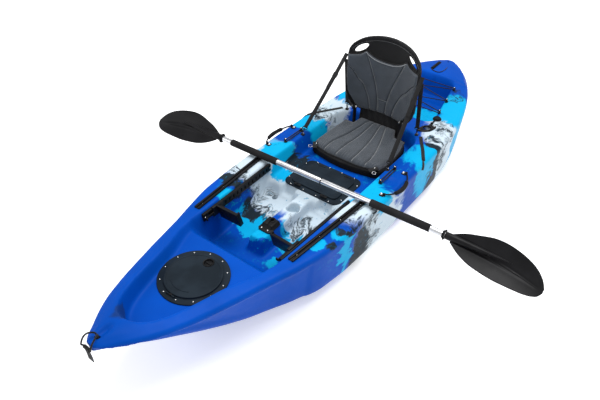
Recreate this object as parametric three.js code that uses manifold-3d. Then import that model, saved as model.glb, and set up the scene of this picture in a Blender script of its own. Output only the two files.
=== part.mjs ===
// Sit-on-top fishing kayak with its seat, hatches, foot braces, rod holders, cords and paddle.
// Millimetres, +Z up, bow towards -Y, +X to the paddler's left. The origin is on the keel amidships.
import * as THREE from 'three';
import { mergeVertices } from 'three/addons/utils/BufferGeometryUtils.js';
import Module from 'manifold-3d';

const wasm = await Module();
wasm.setup();

// Hull
const LENGTH = 3000;
const BEAM = 824;
const DEPTH = 335;
const WALL = 6;
const EDGE_RADIUS = 26;

// Clearances
const GAP = 0.3;
const RUNNING_GAP = 0.6;
const OVERRUN = 20;
const WELD_TOLERANCE = 0.001;

// Deck plan
const SIDE_DECK = 144;
const PLATFORM_DROP = 100;
const PLATFORM_HEIGHT = DEPTH - PLATFORM_DROP;
const COCKPIT_DRAFT = 8;
const SEAT_WELL_REAR = 580;
const SEAT_WELL_SLOPE = 20;
const PIT_RADIUS = 60;
const WELL_RADIUS = 110;
const WALL_KNEE = -111;

// Foot well
const FLOOR_DROP_FRONT = 200;
const FLOOR_DROP_REAR = 155;
const FLOOR_HEIGHT_FRONT = DEPTH - FLOOR_DROP_FRONT;
const FLOOR_HEIGHT_REAR = DEPTH - FLOOR_DROP_REAR;
const FOOTWELL_FRONT = -790;
const FOOTWELL_REAR = -178;
const BULKHEAD_RUN = 120;
const FOOTWELL_DRAFT = 26;
const RIDGE_FRONT = -590;
const RIDGE_HALF_WIDTH = 47;
const RIDGE_DRAFT = 14;
const CUP_RADIUS = 36;
const CUP_DEPTH = 62;
const CUP_PLACE = -283;
const SCUPPER_RADIUS = 16;
const SCUPPER_SPACING = 175;
const SCUPPER_PLACE = -222;

// Bow recess
const PANEL_DROP = 35;
const PANEL_HEIGHT = DEPTH - PANEL_DROP;

// Tank well
const TANK_FRONT = 745;
const TANK_SETBACK = 255;
const TANK_REAR = LENGTH / 2 - TANK_SETBACK;
const TANK_FRONT_HALF_WIDTH = 238;
const TANK_REAR_HALF_WIDTH = 162;
const TANK_DEPTH = 103;
const TANK_FLOOR = DEPTH - TANK_DEPTH;
const TANK_DRAFT = 22;

// Side dishes, end grooves and end tunnel
const DISH_RADIUS = 44;
const DISH_DEPTH = 9;
const DISH_X = 345;
const DISH_Y = 84;
const GROOVE_LENGTH = 90;
const GROOVE_HALF_WIDTH = 17;
const GROOVE_DEPTH = 16;
const TUNNEL_RADIUS = 12;
const TUNNEL_SETBACK = 38;

// Bow hatch
const BOW_HATCH_SETBACK = 520;
const BOW_HATCH_Y = BOW_HATCH_SETBACK - LENGTH / 2;
const BOW_RIM_RADIUS = 160;
const BOW_RIM_THICKNESS = 6;
const BOW_OPENING_RADIUS = 118;
const BOW_LIP_WIDTH = 3;
const BOW_LIP_HEIGHT = 4;
const BOW_LID_RADIUS = 130;
const BOW_LID_THICKNESS = 6;
const BOW_SKIRT_WIDTH = 3.5;
const BOW_HINGE_SETBACK = 6;
const LATCH_POCKET_RADIUS = 21;
const LATCH_POCKET_DEPTH = 12;
const LATCH_INSET = 38;
const POCKET_WALL = 2.4;
const LATCH_BAR_WIDTH = 8;
const LATCH_BAR_HEIGHT = 9;
const CAM_LENGTH = 40;
const CAM_THICKNESS = 4;
const CAM_WIDTH = 12;
const STEM_RADIUS = 5;

// Centre hatch
const CENTER_HATCH_Y = -18;
const CENTER_FRAME_WIDTH = 362;
const CENTER_FRAME_LENGTH = 264;
const CENTER_FRAME_THICKNESS = 5;
const CENTER_FRAME_RADIUS = 45;
const CENTER_BORDER = 32;
const CENTER_LAP = 14;
const CENTER_LID_THICKNESS = 5;
const CENTER_GASKET_WIDTH = 5;
const CENTER_GASKET_HEIGHT = 2.4;
const CENTER_FITTING_SPACING = 172;
const TURN_LATCH_LENGTH = 46;
const TURN_LATCH_WIDTH = 16;
const TURN_LATCH_HEIGHT = 6;
const TURN_LATCH_POST = 6;

// Hinges and screws
const KNUCKLE_RADIUS = 4;
const HINGE_PIN_RADIUS = 2;
const KNUCKLE_LENGTH = 16;
const SCREW_HEAD_RADIUS = 4.2;
const SCREW_HEAD_HEIGHT = 2.2;
const SCREW_SIDES = 6;
const BOW_SCREW_COUNT = 12;

// Gear tracks
const TRACK_WIDTH = 30;
const TRACK_HEIGHT = 11;
const TRACK_SLOT = 8;
const TRACK_CHANNEL = 18;
const TRACK_FLOOR = 3;
const TRACK_FLANGE = 3;
const TRACK_SEAT_DEPTH = 3;
const TRACK_FRONT_X = 292;
const TRACK_FRONT_Y = -672;
const TRACK_REAR_X = 330;
const TRACK_REAR_Y = -116;

// Foot braces
const RAIL_HEIGHT = 42;
const RAIL_THICKNESS = 15;
const RAIL_FRONT_Y = -682;
const RAIL_REAR_Y = -157;
const RAIL_DROP = 9;
const RAIL_TOE_IN = 15;
const RACK_PITCH = 30;
const RACK_NOTCH = 10;
const RACK_DEPTH = 5;
const PEDAL_PLACE = -585;
const CARRIAGE_LENGTH = 74;
const CARRIAGE_WALL = 6;
const PLATE_WIDTH = 128;
const PLATE_HEIGHT = 92;
const PLATE_THICKNESS = 8;
const PLATE_TILT = 0.26;
const PLATE_RIBS = 4;
const LOCK_LENGTH = 52;
const LOCK_WIDTH = 14;
const LOCK_THICKNESS = 5;

// Accessory base on the ridge
const BASE_FRONT = -522;
const BASE_LENGTH = 98;
const BASE_WIDTH = 76;
const BASE_PLATE = 7;
const BASE_BODY_HEIGHT = 24;
const BASE_SOCKET_RADIUS = 11;
const BASE_SOCKET_WALL = 6;

// Side handles
const HANDLE_X = 372;
const HANDLE_FRONT = -30;
const HANDLE_REAR = 196;
const HANDLE_BRACKET = 26;
const HANDLE_PLATE = 4;
const HANDLE_AXIS_LIFT = 10;
const HANDLE_CHEEK = 5;
const HANDLE_CORD_RADIUS = 4.5;
const HANDLE_GRIP_RADIUS = 11.5;
const HANDLE_REACH = 44;
const HANDLE_DROOP = 15;
const BOLT_HEAD_RADIUS = 8.5;
const BOLT_HEAD_HEIGHT = 5;

// Bow loop and stern grip
const LOOP_CORD_RADIUS = 4;
const LOOP_HALF_WIDTH = 27;
const TAB_WIDTH = 32;
const TAB_LENGTH = 72;
const TAB_THICKNESS = 3;
const TAB_SLEEVE = 2.6;
const STERN_EYE_SETBACK = 62;
const STERN_LOOP_LENGTH = 165;
const STERN_LOOP_HALF_WIDTH = 42;
const STERN_GRIP_RADIUS = 12;
const STERN_GRIP_LENGTH = 112;
const DRAIN_RADIUS = 11;
const DRAIN_THREAD_RADIUS = 7;
const DRAIN_THREAD_LENGTH = 14;
const DRAIN_SETBACK = 40;

// Rod holders
const ROD_X = 258;
const ROD_Y = 665;
const ROD_TUBE_RADIUS = 25;
const ROD_BORE_RADIUS = 21;
const ROD_TUBE_LENGTH = 150;
const ROD_TILT = 0.35;
const ROD_FLANGE_LENGTH = 124;
const ROD_FLANGE_WIDTH = 66;
const ROD_FLANGE_THICKNESS = 4;
const ROD_FLANGE_YAW = 0.55;
const CAP_RADIUS = 27;
const CAP_THICKNESS = 8;
const CAP_PLUG_RADIUS = 16;
const CAP_PLUG_HEIGHT = 7;
const CAP_REACH = 66;
const TETHER_WIDTH = 12;
const TETHER_THICKNESS = 3.4;
const TETHER_LUG = 2.4;
const TETHER_BARREL_RADIUS = 3.2;
const TETHER_PIN_RADIUS = 1.6;

// Seat
const SEAT_FRONT = 146;
const SEAT_REAR = 545;
const SEAT_SHELL_HEIGHT = 42;
const SEAT_SIDE_GAP = 30;
const SEAT_PAD_INSET = 9;
const SEAT_PAD_EDGE = 14;
const SEAT_PAD_CROWN = 17;
const SEAM_DEPTH = 3;
const SEAT_KICK = 20;
const TONGUE_KICK = 25;
const PAD_COLUMNS = 18;
const PAD_ROWS = 8;
const SEAT_SEAM_COLUMNS = [3, 7, 11, 15];
const BACK_SEAM_COLUMNS = [4, 7, 11, 14];
const HINGE_Y = 522;
const HINGE_RISE = 70;
const HINGE_Z = DEPTH + HINGE_RISE;
const HINGE_X = 157;
const BRACKET_THICKNESS = 10;
const BRACKET_LENGTH = 34;
const RIVET_RADIUS = 5;
const RIVET_HEAD_RADIUS = 9;
const RIVET_HEAD_HEIGHT = 4;
const EAR_THICKNESS = 6;
const EAR_HEIGHT = 32;

// Backrest
const BACK_HALF_WIDTH = 226;
const BACK_HEIGHT = 458;
const BACK_Y = 578;
const BACK_WRAP = 62;
const BACK_RECLINE = 0.04;
const BOARD_THICKNESS = 11;
const BACK_PAD_THICKNESS = 22;
const BACK_PAD_EDGE = 11;
const BACK_DROP = 19;
const BACK_BOTTOM = HINGE_Z - BACK_DROP;
const OPENING_LENGTH = 92;
const OPENING_WIDTH = 34;
const OPENING_TILT = 0.62;
const OPENING_X = 163;
const OPENING_RISE = 378;
const OPENING_Z = BACK_BOTTOM + OPENING_RISE;
const PAD_RISE = 314;
const PAD_TOP = BACK_BOTTOM + PAD_RISE;
const PAD_PEAK = 52;
const PAD_SHOULDER = 30;
const PAD_CORNER = 104;
const BAND_HALF_WIDTH = 140;
const BAND_THICKNESS = 12;

// Straps
const STRAP_WIDTH = 28;
const STRAP_THICKNESS = 2.2;
const EYE_X = 284;
const EYE_Y = 172;
const REAR_EYE_X = 242;
const REAR_EYE_Y = 571;
const EYE_WIDTH = 22;
const EYE_PLATE = 2.5;
const EYE_HEIGHT = 14;
const EYE_WIRE = 3;
const HOOK_LENGTH = 34;
const HOOK_THICKNESS = 7;
const FRONT_STRAP_HEIGHT = 330;
const REAR_STRAP_HEIGHT = 296;
const TAIL_RUN = 235;
const TAIL_DROP = 40;
const TAIL_START = 32;
const BUCKLE_WALL = 4;

// Cords on deck
const BUNGEE_RADIUS = 3;
const HOOK_POST_RADIUS = 4;
const HOOK_CAP_RADIUS = 9;
const HOOK_CAP_HEIGHT = 3;
const HOOK_POST_HEIGHT = 17;
const HOOK_MARGIN = 16;
const SIDE_POST_X = 314;
const SIDE_POST_FRONT = 50;
const SIDE_POST_REAR = 196;

// Paddle
const PADDLE_LENGTH = 2300;
const PADDLE_X = 85;
const PADDLE_Y = -150;
const PADDLE_YAW = 0.035;
const SHAFT_RADIUS = 15;
const SHAFT_WALL = 1.6;
const FERRULE_LENGTH = 150;
const FERRULE_COLLAR = 3;
const GRIP_RADIUS = 19.5;
const GRIP_START = 287;
const GRIP_LENGTH = 318;
const RING_PLACE = 667;
const RING_RADIUS = 27;
const RING_WIDTH = 12;
const BLADE_LENGTH = 468;
const BLADE_WIDTH = 188;
const BLADE_THICKNESS = 5;
const BLADE_CUP = 16;
const BLADE_SOCKET = 60;
const BLADE_ROLL_PORT = 0.6;
const BLADE_ROLL_STARBOARD = 0.78;
const BUTTON_RADIUS = 3.4;
const BUTTON_PLACE = 40;

// Foam pillar
const PILLAR_WIDTH = 150;
const PILLAR_FRONT = 190;
const PILLAR_LENGTH = 300;

const ROUND_SIDES = 28;
const MEDIUM_SIDES = 16;
const SMALL_SIDES = 10;
const CORD_SIDES = 8;
const PIN_SIDES = 6;
const CORNER_STEPS = 3;
const LOOP_STEPS = 26;
const RING_STEPS = 20;
const OVAL_SIDES = 12;
const LOBE_SIDES = 14;

// Stations of the hull as shares: place of half length, half breadth of half beam, chine breadth of
// the half breadth, then keel, chine, gunwale and deck crown heights of the depth.
const stationShares = [
  [-1, 0.05, 0.5, 1.03, 1.085, 1.15, 0.02],
  [-0.985, 0.118, 0.58, 1.005, 1.08, 1.148, 0.03],
  [-0.955, 0.195, 0.65, 0.95, 1.065, 1.143, 0.045],
  [-0.92, 0.288, 0.7, 0.86, 1.035, 1.13, 0.055],
  [-0.87, 0.393, 0.735, 0.73, 0.975, 1.11, 0.062],
  [-0.8, 0.492, 0.768, 0.555, 0.87, 1.085, 0.066],
  [-0.733, 0.567, 0.8, 0.385, 0.745, 1.065, 0.064],
  [-0.66, 0.642, 0.832, 0.226, 0.61, 1.048, 0.058],
  [-0.587, 0.712, 0.863, 0.1, 0.49, 1.03, 0.045],
  [-0.52, 0.775, 0.885, 0.035, 0.405, 1.012, 0.022],
  [-0.46, 0.843, 0.91, 0.008, 0.325, 1, 0],
  [-0.36, 0.932, 0.945, 0, 0.25, 1, 0],
  [-0.24, 0.976, 0.955, 0, 0.22, 1, 0],
  [-0.1, 0.995, 0.957, 0, 0.21, 1, 0],
  [0.08, 1, 0.957, 0, 0.21, 1, 0],
  [0.24, 1, 0.957, 0, 0.21, 1, 0],
  [0.36, 0.998, 0.957, 0, 0.215, 1, 0],
  [0.47, 0.978, 0.955, 0, 0.22, 1, 0],
  [0.56, 0.937, 0.95, 0, 0.25, 1, 0],
  [0.64, 0.873, 0.94, 0.005, 0.3, 1.004, 0.015],
  [0.72, 0.785, 0.93, 0.03, 0.37, 1.02, 0.03],
  [0.79, 0.69, 0.91, 0.08, 0.46, 1.035, 0.038],
  [0.85, 0.585, 0.89, 0.16, 0.56, 1.05, 0.04],
  [0.905, 0.47, 0.86, 0.28, 0.67, 1.062, 0.04],
  [0.95, 0.345, 0.82, 0.43, 0.79, 1.072, 0.032],
  [0.98, 0.225, 0.76, 0.58, 0.88, 1.08, 0.02],
  [1, 0.085, 0.6, 0.75, 0.95, 1.085, 0.01],
];
const CAVITY_ENDS = 2;
const bottomBreadthShares = [0, 0.36, 0.75, 0.93];
const bottomRiseShares = [0, 0, 0.22, 0.56];
const deckBreadthShares = [0.66, 0.33];
const deckCrownShares = [0.62, 0.94];

// Half outline of the bow recess at its rim: places of the run from apex to foot well, and breadths
// of the foot well's front half width.
const recessPlaceShares = [0, 0.02, 0.09, 0.2, 0.38, 0.71, 0.93, 1.1];
const recessBreadthShares = [0, 0.16, 0.33, 0.46, 0.585, 0.76, 0.94, 1];
const RECESS_SETBACK = 160;
const RECESS_APEX = RECESS_SETBACK - LENGTH / 2;
const RECESS_DRAFT = 12;

const material = (color, roughness, metalness = 0) =>
  new THREE.MeshStandardMaterial({ color, roughness, metalness });
const hullPlastic = material(0x1448c8, 0.35);
const blackPlastic = material(0x16171a, 0.5);
const lidPlastic = material(0x23282e, 0.55);
const rubber = material(0x111214, 0.8);
const steel = material(0xc8ccd0, 0.25, 1);
const aluminium = material(0xc9ccd2, 0.35, 1);
const anodised = material(0x0b0b0d, 0.35, 0.6);
const greyFabric = material(0x4b5056, 0.85);
const blackFabric = material(0x101113, 0.9);
const webbing = material(0x141517, 0.8);
const foam = material(0x1b1c1f, 0.95);
const whiteFoam = material(0xe8e8e4, 0.9);

const kayak = new THREE.Group();

// Solids

function solidOf(geometry) {
  geometry.deleteAttribute('normal');
  geometry.deleteAttribute('uv');
  const merged = mergeVertices(geometry, WELD_TOLERANCE);
  let triVerts = new Uint32Array(merged.index.array);
  const vertProperties = new Float32Array(merged.attributes.position.array);
  const build = () => new wasm.Manifold(new wasm.Mesh({ numProp: 3, vertProperties, triVerts }));
  let solid = build();
  if (solid.volume() < 0) {
    triVerts = triVerts.map((value, index) => triVerts[index - (index % 3) + 2 - (index % 3)]);
    solid = build();
  }
  return solid;
}

function add(name, solid, finish, matrix) {
  const { vertProperties, triVerts } = solid.getMesh();
  const geometry = new THREE.BufferGeometry();
  geometry.setAttribute('position', new THREE.BufferAttribute(new Float32Array(vertProperties), 3));
  geometry.setIndex(new THREE.BufferAttribute(new Uint32Array(triVerts), 1));
  geometry.computeVertexNormals();
  const mesh = new THREE.Mesh(geometry, finish);
  mesh.name = name;
  if (matrix) mesh.applyMatrix4(matrix);
  kayak.add(mesh);
  return mesh;
}

const union = (solids) => solids.reduce((whole, next) => whole.add(next));
const cut = (solid, tools) => tools.reduce((left, tool) => left.subtract(tool), solid);
const placed = (solid, matrix) => solid.transform(matrix.elements);
const moved = (solid, x, y, z) => solid.translate([x, y, z]);
const turned = (solid, axis, angle) => placed(solid, new THREE.Matrix4().makeRotationAxis(axis, angle));
const mirrored = (solid) => solid.mirror([1, 0, 0]);

const X = new THREE.Vector3(1, 0, 0);
const Y = new THREE.Vector3(0, 1, 0);
const Z = new THREE.Vector3(0, 0, 1);
const point = (x, y, z) => new THREE.Vector3(x, y, z);
const flat = (x, y) => new THREE.Vector2(x, y);

// Rings of equal count, joined in order and capped at both ends.
function loft(rings) {
  const count = rings[0].length;
  const positions = rings.flat().flatMap((p) => [p.x, p.y, p.z]);
  const index = [];
  for (let row = 0; row < rings.length - 1; row += 1) {
    for (let i = 0; i < count; i += 1) {
      const a = row * count + i;
      const b = row * count + ((i + 1) % count);
      index.push(a, b, b + count, a, b + count, a + count);
    }
  }
  const cap = (ring, base, flip) => {
    const normal = point(0, 0, 0);
    ring.forEach((p, i) => normal.add(p.clone().cross(ring[(i + 1) % count])));
    const drop = Math.abs(normal.z) > Math.abs(normal.y) ? 'z' : 'y';
    const contour = ring.map((p) => (drop === 'z' ? flat(p.x, p.y) : flat(p.x, p.z)));
    THREE.ShapeUtils.triangulateShape(contour, []).forEach(([a, b, c]) => {
      const side = contour[b].clone().sub(contour[a]).cross(contour[c].clone().sub(contour[a]));
      const along = THREE.ShapeUtils.area(contour) * side > 0;
      index.push(base + a, base + (along === flip ? c : b), base + (along === flip ? b : c));
    });
  };
  cap(rings[0], 0, true);
  cap(rings[rings.length - 1], (rings.length - 1) * count, false);
  const geometry = new THREE.BufferGeometry();
  geometry.setAttribute('position', new THREE.Float32BufferAttribute(positions, 3));
  geometry.setIndex(index);
  return solidOf(geometry);
}

function prism(outline, low, high) {
  const shape = new THREE.Shape(outline.map((p) => flat(p.x, p.y)));
  const options = { depth: high - low, bevelEnabled: false, steps: 1 };
  return moved(solidOf(new THREE.ExtrudeGeometry(shape, options)), 0, 0, low);
}

function block(width, length, low, high) {
  const solid = solidOf(new THREE.BoxGeometry(width, length, high - low));
  return moved(solid, 0, 0, (low + high) / 2);
}

// An upright cylinder or cone.
function drum(radius, low, high, sides = SMALL_SIDES, topRadius = radius) {
  const ring = (r, z) => Array.from({ length: sides }, (_, i) => {
    const angle = (2 * Math.PI * (i + 1 / 2)) / sides;
    return point(r * Math.cos(angle), r * Math.sin(angle), z);
  });
  return loft([ring(radius, low), ring(topRadius, high)]);
}

// A ring with a rectangular section.
function band(inner, outer, low, high, sides = ROUND_SIDES) {
  return drum(outer, low, high, sides).subtract(drum(inner, low - OVERRUN, high + OVERRUN, sides));
}

// A cylinder lying along an axis, centred.
function bar(radius, length, axis, sides = SMALL_SIDES) {
  const solid = drum(radius, -length / 2, length / 2, sides);
  return axis === X ? turned(solid, Y, Math.PI / 2) : turned(solid, X, Math.PI / 2);
}

// A section swept along points, closed into a loop or capped at its ends.
function sweep(points, section, isLoop = false, side = Z) {
  const rings = points.map((p, i) => {
    const before = points[isLoop ? (i + points.length - 1) % points.length : Math.max(i - 1, 0)];
    const after = points[isLoop ? (i + 1) % points.length : Math.min(i + 1, points.length - 1)];
    const along = after.clone().sub(before).normalize();
    const across = along.clone().cross(side).normalize();
    const lift = across.clone().cross(along).normalize();
    return section.map(([u, v]) => p.clone().addScaledVector(across, u).addScaledVector(lift, v));
  });
  if (!isLoop) return loft(rings);
  const count = section.length;
  const positions = rings.flat().flatMap((p) => [p.x, p.y, p.z]);
  const total = rings.length * count;
  const index = [];
  rings.forEach((ring, row) => {
    for (let i = 0; i < count; i += 1) {
      const a = row * count + i;
      const b = row * count + ((i + 1) % count);
      index.push(a, b, (b + count) % total, a, (b + count) % total, (a + count) % total);
    }
  });
  const geometry = new THREE.BufferGeometry();
  geometry.setAttribute('position', new THREE.Float32BufferAttribute(positions, 3));
  geometry.setIndex(index);
  return solidOf(geometry);
}

function roundSection(radius, sides = CORD_SIDES) {
  return Array.from({ length: sides }, (_, i) => {
    const angle = (2 * Math.PI * (i + 1 / 2)) / sides;
    return [radius * Math.cos(angle), radius * Math.sin(angle)];
  });
}

const flatSection = (width, thickness) => [
  [-width / 2, -thickness / 2],
  [width / 2, -thickness / 2],
  [width / 2, thickness / 2],
  [-width / 2, thickness / 2],
];

// A flat strip between two points, its width towards a side direction.
function strip(from, to, width, thickness, wide) {
  const along = to.clone().sub(from).normalize();
  const lift = wide.clone().cross(along).normalize();
  const across = along.clone().cross(lift).normalize();
  const ring = (p) => flatSection(width, thickness)
    .map(([u, v]) => p.clone().addScaledVector(across, u).addScaledVector(lift, v));
  return loft([ring(from), ring(to)]);
}

// A rounded trapezium in plan, with the same number of points whatever its size.
function roundedPlan(front, rear, frontHalf, rearHalf, radius, steps = CORNER_STEPS) {
  const corners = [
    [frontHalf, front, -1, 1, -Math.PI / 2],
    [rearHalf, rear, -1, -1, 0],
    [-rearHalf, rear, 1, -1, Math.PI / 2],
    [-frontHalf, front, 1, 1, Math.PI],
  ];
  return corners.flatMap(([x, y, sx, sy, start]) => Array.from({ length: steps + 1 }, (_, i) => {
    const angle = start + (i * Math.PI) / 2 / steps;
    return flat(x + sx * radius + radius * Math.cos(angle), y + sy * radius + radius * Math.sin(angle));
  }));
}

const atHeight = (outline, height) => outline.map((p) => point(p.x, p.y, height));
const screwHead = () => drum(SCREW_HEAD_RADIUS, 0, SCREW_HEAD_HEIGHT, SCREW_SIDES);
const bothSides = (make) => [['port', 1], ['starboard', -1]].forEach(([side, sign]) => make(side, sign));
const onSide = (solid, sign) => (sign > 0 ? solid : mirrored(solid));

// Hull stations

const station = (row) => {
  const [place, breadth, chine, keel, chineHeight, gunwale, crown] = row;
  const half = (breadth * BEAM) / 2;
  return {
    y: (place * LENGTH) / 2,
    half,
    chineHalf: half * chine,
    keel: keel * DEPTH,
    chineHeight: chineHeight * DEPTH,
    gunwale: gunwale * DEPTH,
    crown: crown * DEPTH,
  };
};
const stations = stationShares.map(station);

function stationAt(y) {
  const next = Math.max(1, Math.min(stations.findIndex((s) => s.y >= y), stations.length - 1));
  const a = stations[next - 1];
  const b = stations[next];
  const t = (y - a.y) / (b.y - a.y);
  const between = (key) => a[key] + (b[key] - a[key]) * t;
  return Object.fromEntries(Object.keys(a).map((key) => [key, between(key)]));
}

// Half section of the hull from keel to deck centre, drawn in by a wall.
function halfSection(s, inset) {
  const edge = Math.min(EDGE_RADIUS, s.half / 3);
  const half = s.half - inset;
  const chineHalf = s.chineHalf - inset;
  const low = s.keel + inset;
  const top = s.gunwale - inset;
  const chineHeight = Math.min(s.chineHeight, top - edge - inset);
  const bottom = bottomBreadthShares.map((share, i) =>
    [share * chineHalf, low + bottomRiseShares[i] * Math.max(chineHeight - low, inset)]);
  const side = [
    [chineHalf, Math.max(chineHeight, low + inset)],
    [(chineHalf + half) / 2, (chineHeight + top - edge) / 2],
    [half, top - edge],
    [half - edge * (1 - Math.SQRT1_2), top - edge * (1 - Math.SQRT1_2)],
    [half - edge, top],
  ];
  const deck = deckBreadthShares.map((share, i) =>
    [share * (half - edge), top + deckCrownShares[i] * s.crown]);
  return [...bottom, ...side, ...deck, [0, top + s.crown]];
}

function hullRing(s, inset) {
  const half = halfSection(s, inset);
  const other = half.slice(1, -1).reverse().map(([x, z]) => [-x, z]);
  return [...half, ...other].map(([x, z]) => point(x, s.y, z));
}

// Height of the deck's surface before anything is cut into it.
function deckHeight(x, y) {
  const s = stationAt(y);
  const outline = halfSection(s, 0).slice(-4);
  const next = outline.findIndex((p) => p[0] <= Math.abs(x));
  if (next < 1) return outline[0][1];
  const [a, b] = [outline[next - 1], outline[next]];
  return a[1] + ((b[1] - a[1]) * (Math.abs(x) - a[0])) / (b[0] - a[0]);
}

// Recesses, each drawn larger by a grow value to leave its wall in the cavity

const COCKPIT_HALF = BEAM / 2 - SIDE_DECK;
const deckTop = DEPTH + OVERRUN;
const highest = DEPTH * stationShares[0][5] + OVERRUN;
const railYaw = Math.atan2(RAIL_TOE_IN, RAIL_REAR_Y - RAIL_FRONT_Y);
const wallAt = (y) => COCKPIT_HALF + Math.min(0, (y - WALL_KNEE) * Math.tan(railYaw));

function footwellPit(grow) {
  const wallFront = wallAt(FOOTWELL_FRONT + PIT_RADIUS);
  const rear = FOOTWELL_REAR + grow;
  const wallRear = wallAt(rear - PIT_RADIUS);
  const tilt = (y) => FLOOR_HEIGHT_FRONT + ((FLOOR_HEIGHT_REAR - FLOOR_HEIGHT_FRONT)
    * (y - FOOTWELL_FRONT - BULKHEAD_RUN)) / (FOOTWELL_REAR - FOOTWELL_FRONT - BULKHEAD_RUN);
  const floor = roundedPlan(FOOTWELL_FRONT + BULKHEAD_RUN - grow, rear - FOOTWELL_DRAFT / 2,
    wallFront - FOOTWELL_DRAFT + grow, COCKPIT_HALF - FOOTWELL_DRAFT + grow, PIT_RADIUS);
  const middle = roundedPlan(FOOTWELL_FRONT + BULKHEAD_RUN / 2 - grow, rear,
    wallAt(FOOTWELL_FRONT + BULKHEAD_RUN / 2 + PIT_RADIUS) + grow, wallRear + grow, PIT_RADIUS);
  const top = roundedPlan(FOOTWELL_FRONT - grow, rear, wallFront + grow, wallRear + grow, PIT_RADIUS);
  return loft([
    floor.map((p) => point(p.x, p.y, tilt(p.y) - grow)),
    atHeight(middle, PLATFORM_HEIGHT),
    atHeight(top, PANEL_HEIGHT),
    atHeight(top, deckTop),
  ]);
}

function ridge(shrink) {
  const half = RIDGE_HALF_WIDTH - shrink;
  const rear = FOOTWELL_REAR + PIT_RADIUS;
  const front = RIDGE_FRONT + shrink;
  const top = roundedPlan(front, rear, half, half, half / 2);
  const foot = roundedPlan(front - RIDGE_DRAFT, rear, half + RIDGE_DRAFT, half + RIDGE_DRAFT, half / 2);
  return loft([atHeight(foot, FLOOR_HEIGHT_FRONT - OVERRUN), atHeight(top, PLATFORM_HEIGHT - shrink)]);
}

// Above the platform the wells' side walls run on into each other.
function throat(grow) {
  const front = FOOTWELL_REAR - PIT_RADIUS * 2;
  const rear = FOOTWELL_REAR + WELL_RADIUS;
  const side = [front, WALL_KNEE, rear].map((y) => flat(wallAt(y) + grow, y));
  const outline = [...side, ...side.map((p) => flat(-p.x, p.y)).reverse()];
  return prism(outline, PLATFORM_HEIGHT - grow, deckTop);
}

function cockpitPit(grow) {
  const front = FOOTWELL_REAR - grow * 2;
  const half = COCKPIT_HALF + grow;
  const rear = SEAT_WELL_REAR + grow;
  const floorHalf = half - COCKPIT_DRAFT;
  const floor = roundedPlan(front, rear - SEAT_WELL_SLOPE, floorHalf, floorHalf, WELL_RADIUS);
  const top = roundedPlan(front, rear, half, half, WELL_RADIUS);
  return loft([atHeight(floor, PLATFORM_HEIGHT - grow), atHeight(top, deckTop)]);
}

function tankPit(grow) {
  const outline = (draft, height) => atHeight(roundedPlan(TANK_FRONT + draft - grow,
    TANK_REAR - draft + grow, TANK_FRONT_HALF_WIDTH - draft + grow,
    TANK_REAR_HALF_WIDTH - draft + grow, PIT_RADIUS), height);
  return loft([outline(TANK_DRAFT, TANK_FLOOR - grow), outline(0, deckTop + OVERRUN)]);
}

function bowPit(grow) {
  const run = FOOTWELL_FRONT - RECESS_APEX;
  const foot = wallAt(FOOTWELL_FRONT);
  const rim = (extra) => {
    const half = recessPlaceShares.map((share, i) =>
      flat(recessBreadthShares[i] * foot + (i > 0 ? extra : 0), RECESS_APEX + share * run - (i > 0 ? 0 : extra)));
    return [...half, ...half.slice(1).reverse().map((p) => flat(-p.x, p.y))];
  };
  return loft([atHeight(rim(grow - RECESS_DRAFT), PANEL_HEIGHT - grow), atHeight(rim(grow), highest)]);
}

// The groove that the bow cord lies in.
function endGroove(y, height) {
  const oval = (width, z) => Array.from({ length: CORD_SIDES }, (_, i) => {
    const angle = (i * 2 * Math.PI) / CORD_SIDES;
    return point(width * Math.cos(angle), y + (GROOVE_LENGTH / 2) * (1 + Math.sin(angle)), z);
  });
  return loft([oval(GROOVE_HALF_WIDTH / 2, height - GROOVE_DEPTH), oval(GROOVE_HALF_WIDTH, height + OVERRUN)]);
}

const rodMatrix = new THREE.Matrix4().makeTranslation(ROD_X, ROD_Y, DEPTH)
  .multiply(new THREE.Matrix4().makeRotationX(-ROD_TILT));
const rodHole = (radius) => placed(drum(radius, -ROD_TUBE_LENGTH - OVERRUN, OVERRUN, MEDIUM_SIDES), rodMatrix);

const trackAngle = Math.atan2(TRACK_REAR_X - TRACK_FRONT_X, TRACK_REAR_Y - TRACK_FRONT_Y);
const trackLength = Math.hypot(TRACK_REAR_X - TRACK_FRONT_X, TRACK_REAR_Y - TRACK_FRONT_Y);
const trackBase = DEPTH - TRACK_SEAT_DEPTH;
const trackTop = trackBase + GAP + TRACK_HEIGHT;
const trackMatrix = new THREE.Matrix4()
  .makeTranslation((TRACK_FRONT_X + TRACK_REAR_X) / 2, (TRACK_FRONT_Y + TRACK_REAR_Y) / 2, 0)
  .multiply(new THREE.Matrix4().makeRotationZ(-trackAngle));
const trackSeat = (grow) => placed(block(TRACK_WIDTH + 2 * GAP + 2 * grow, trackLength + 2 * GAP + 2 * grow,
  trackBase - grow, deckTop), trackMatrix);

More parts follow.
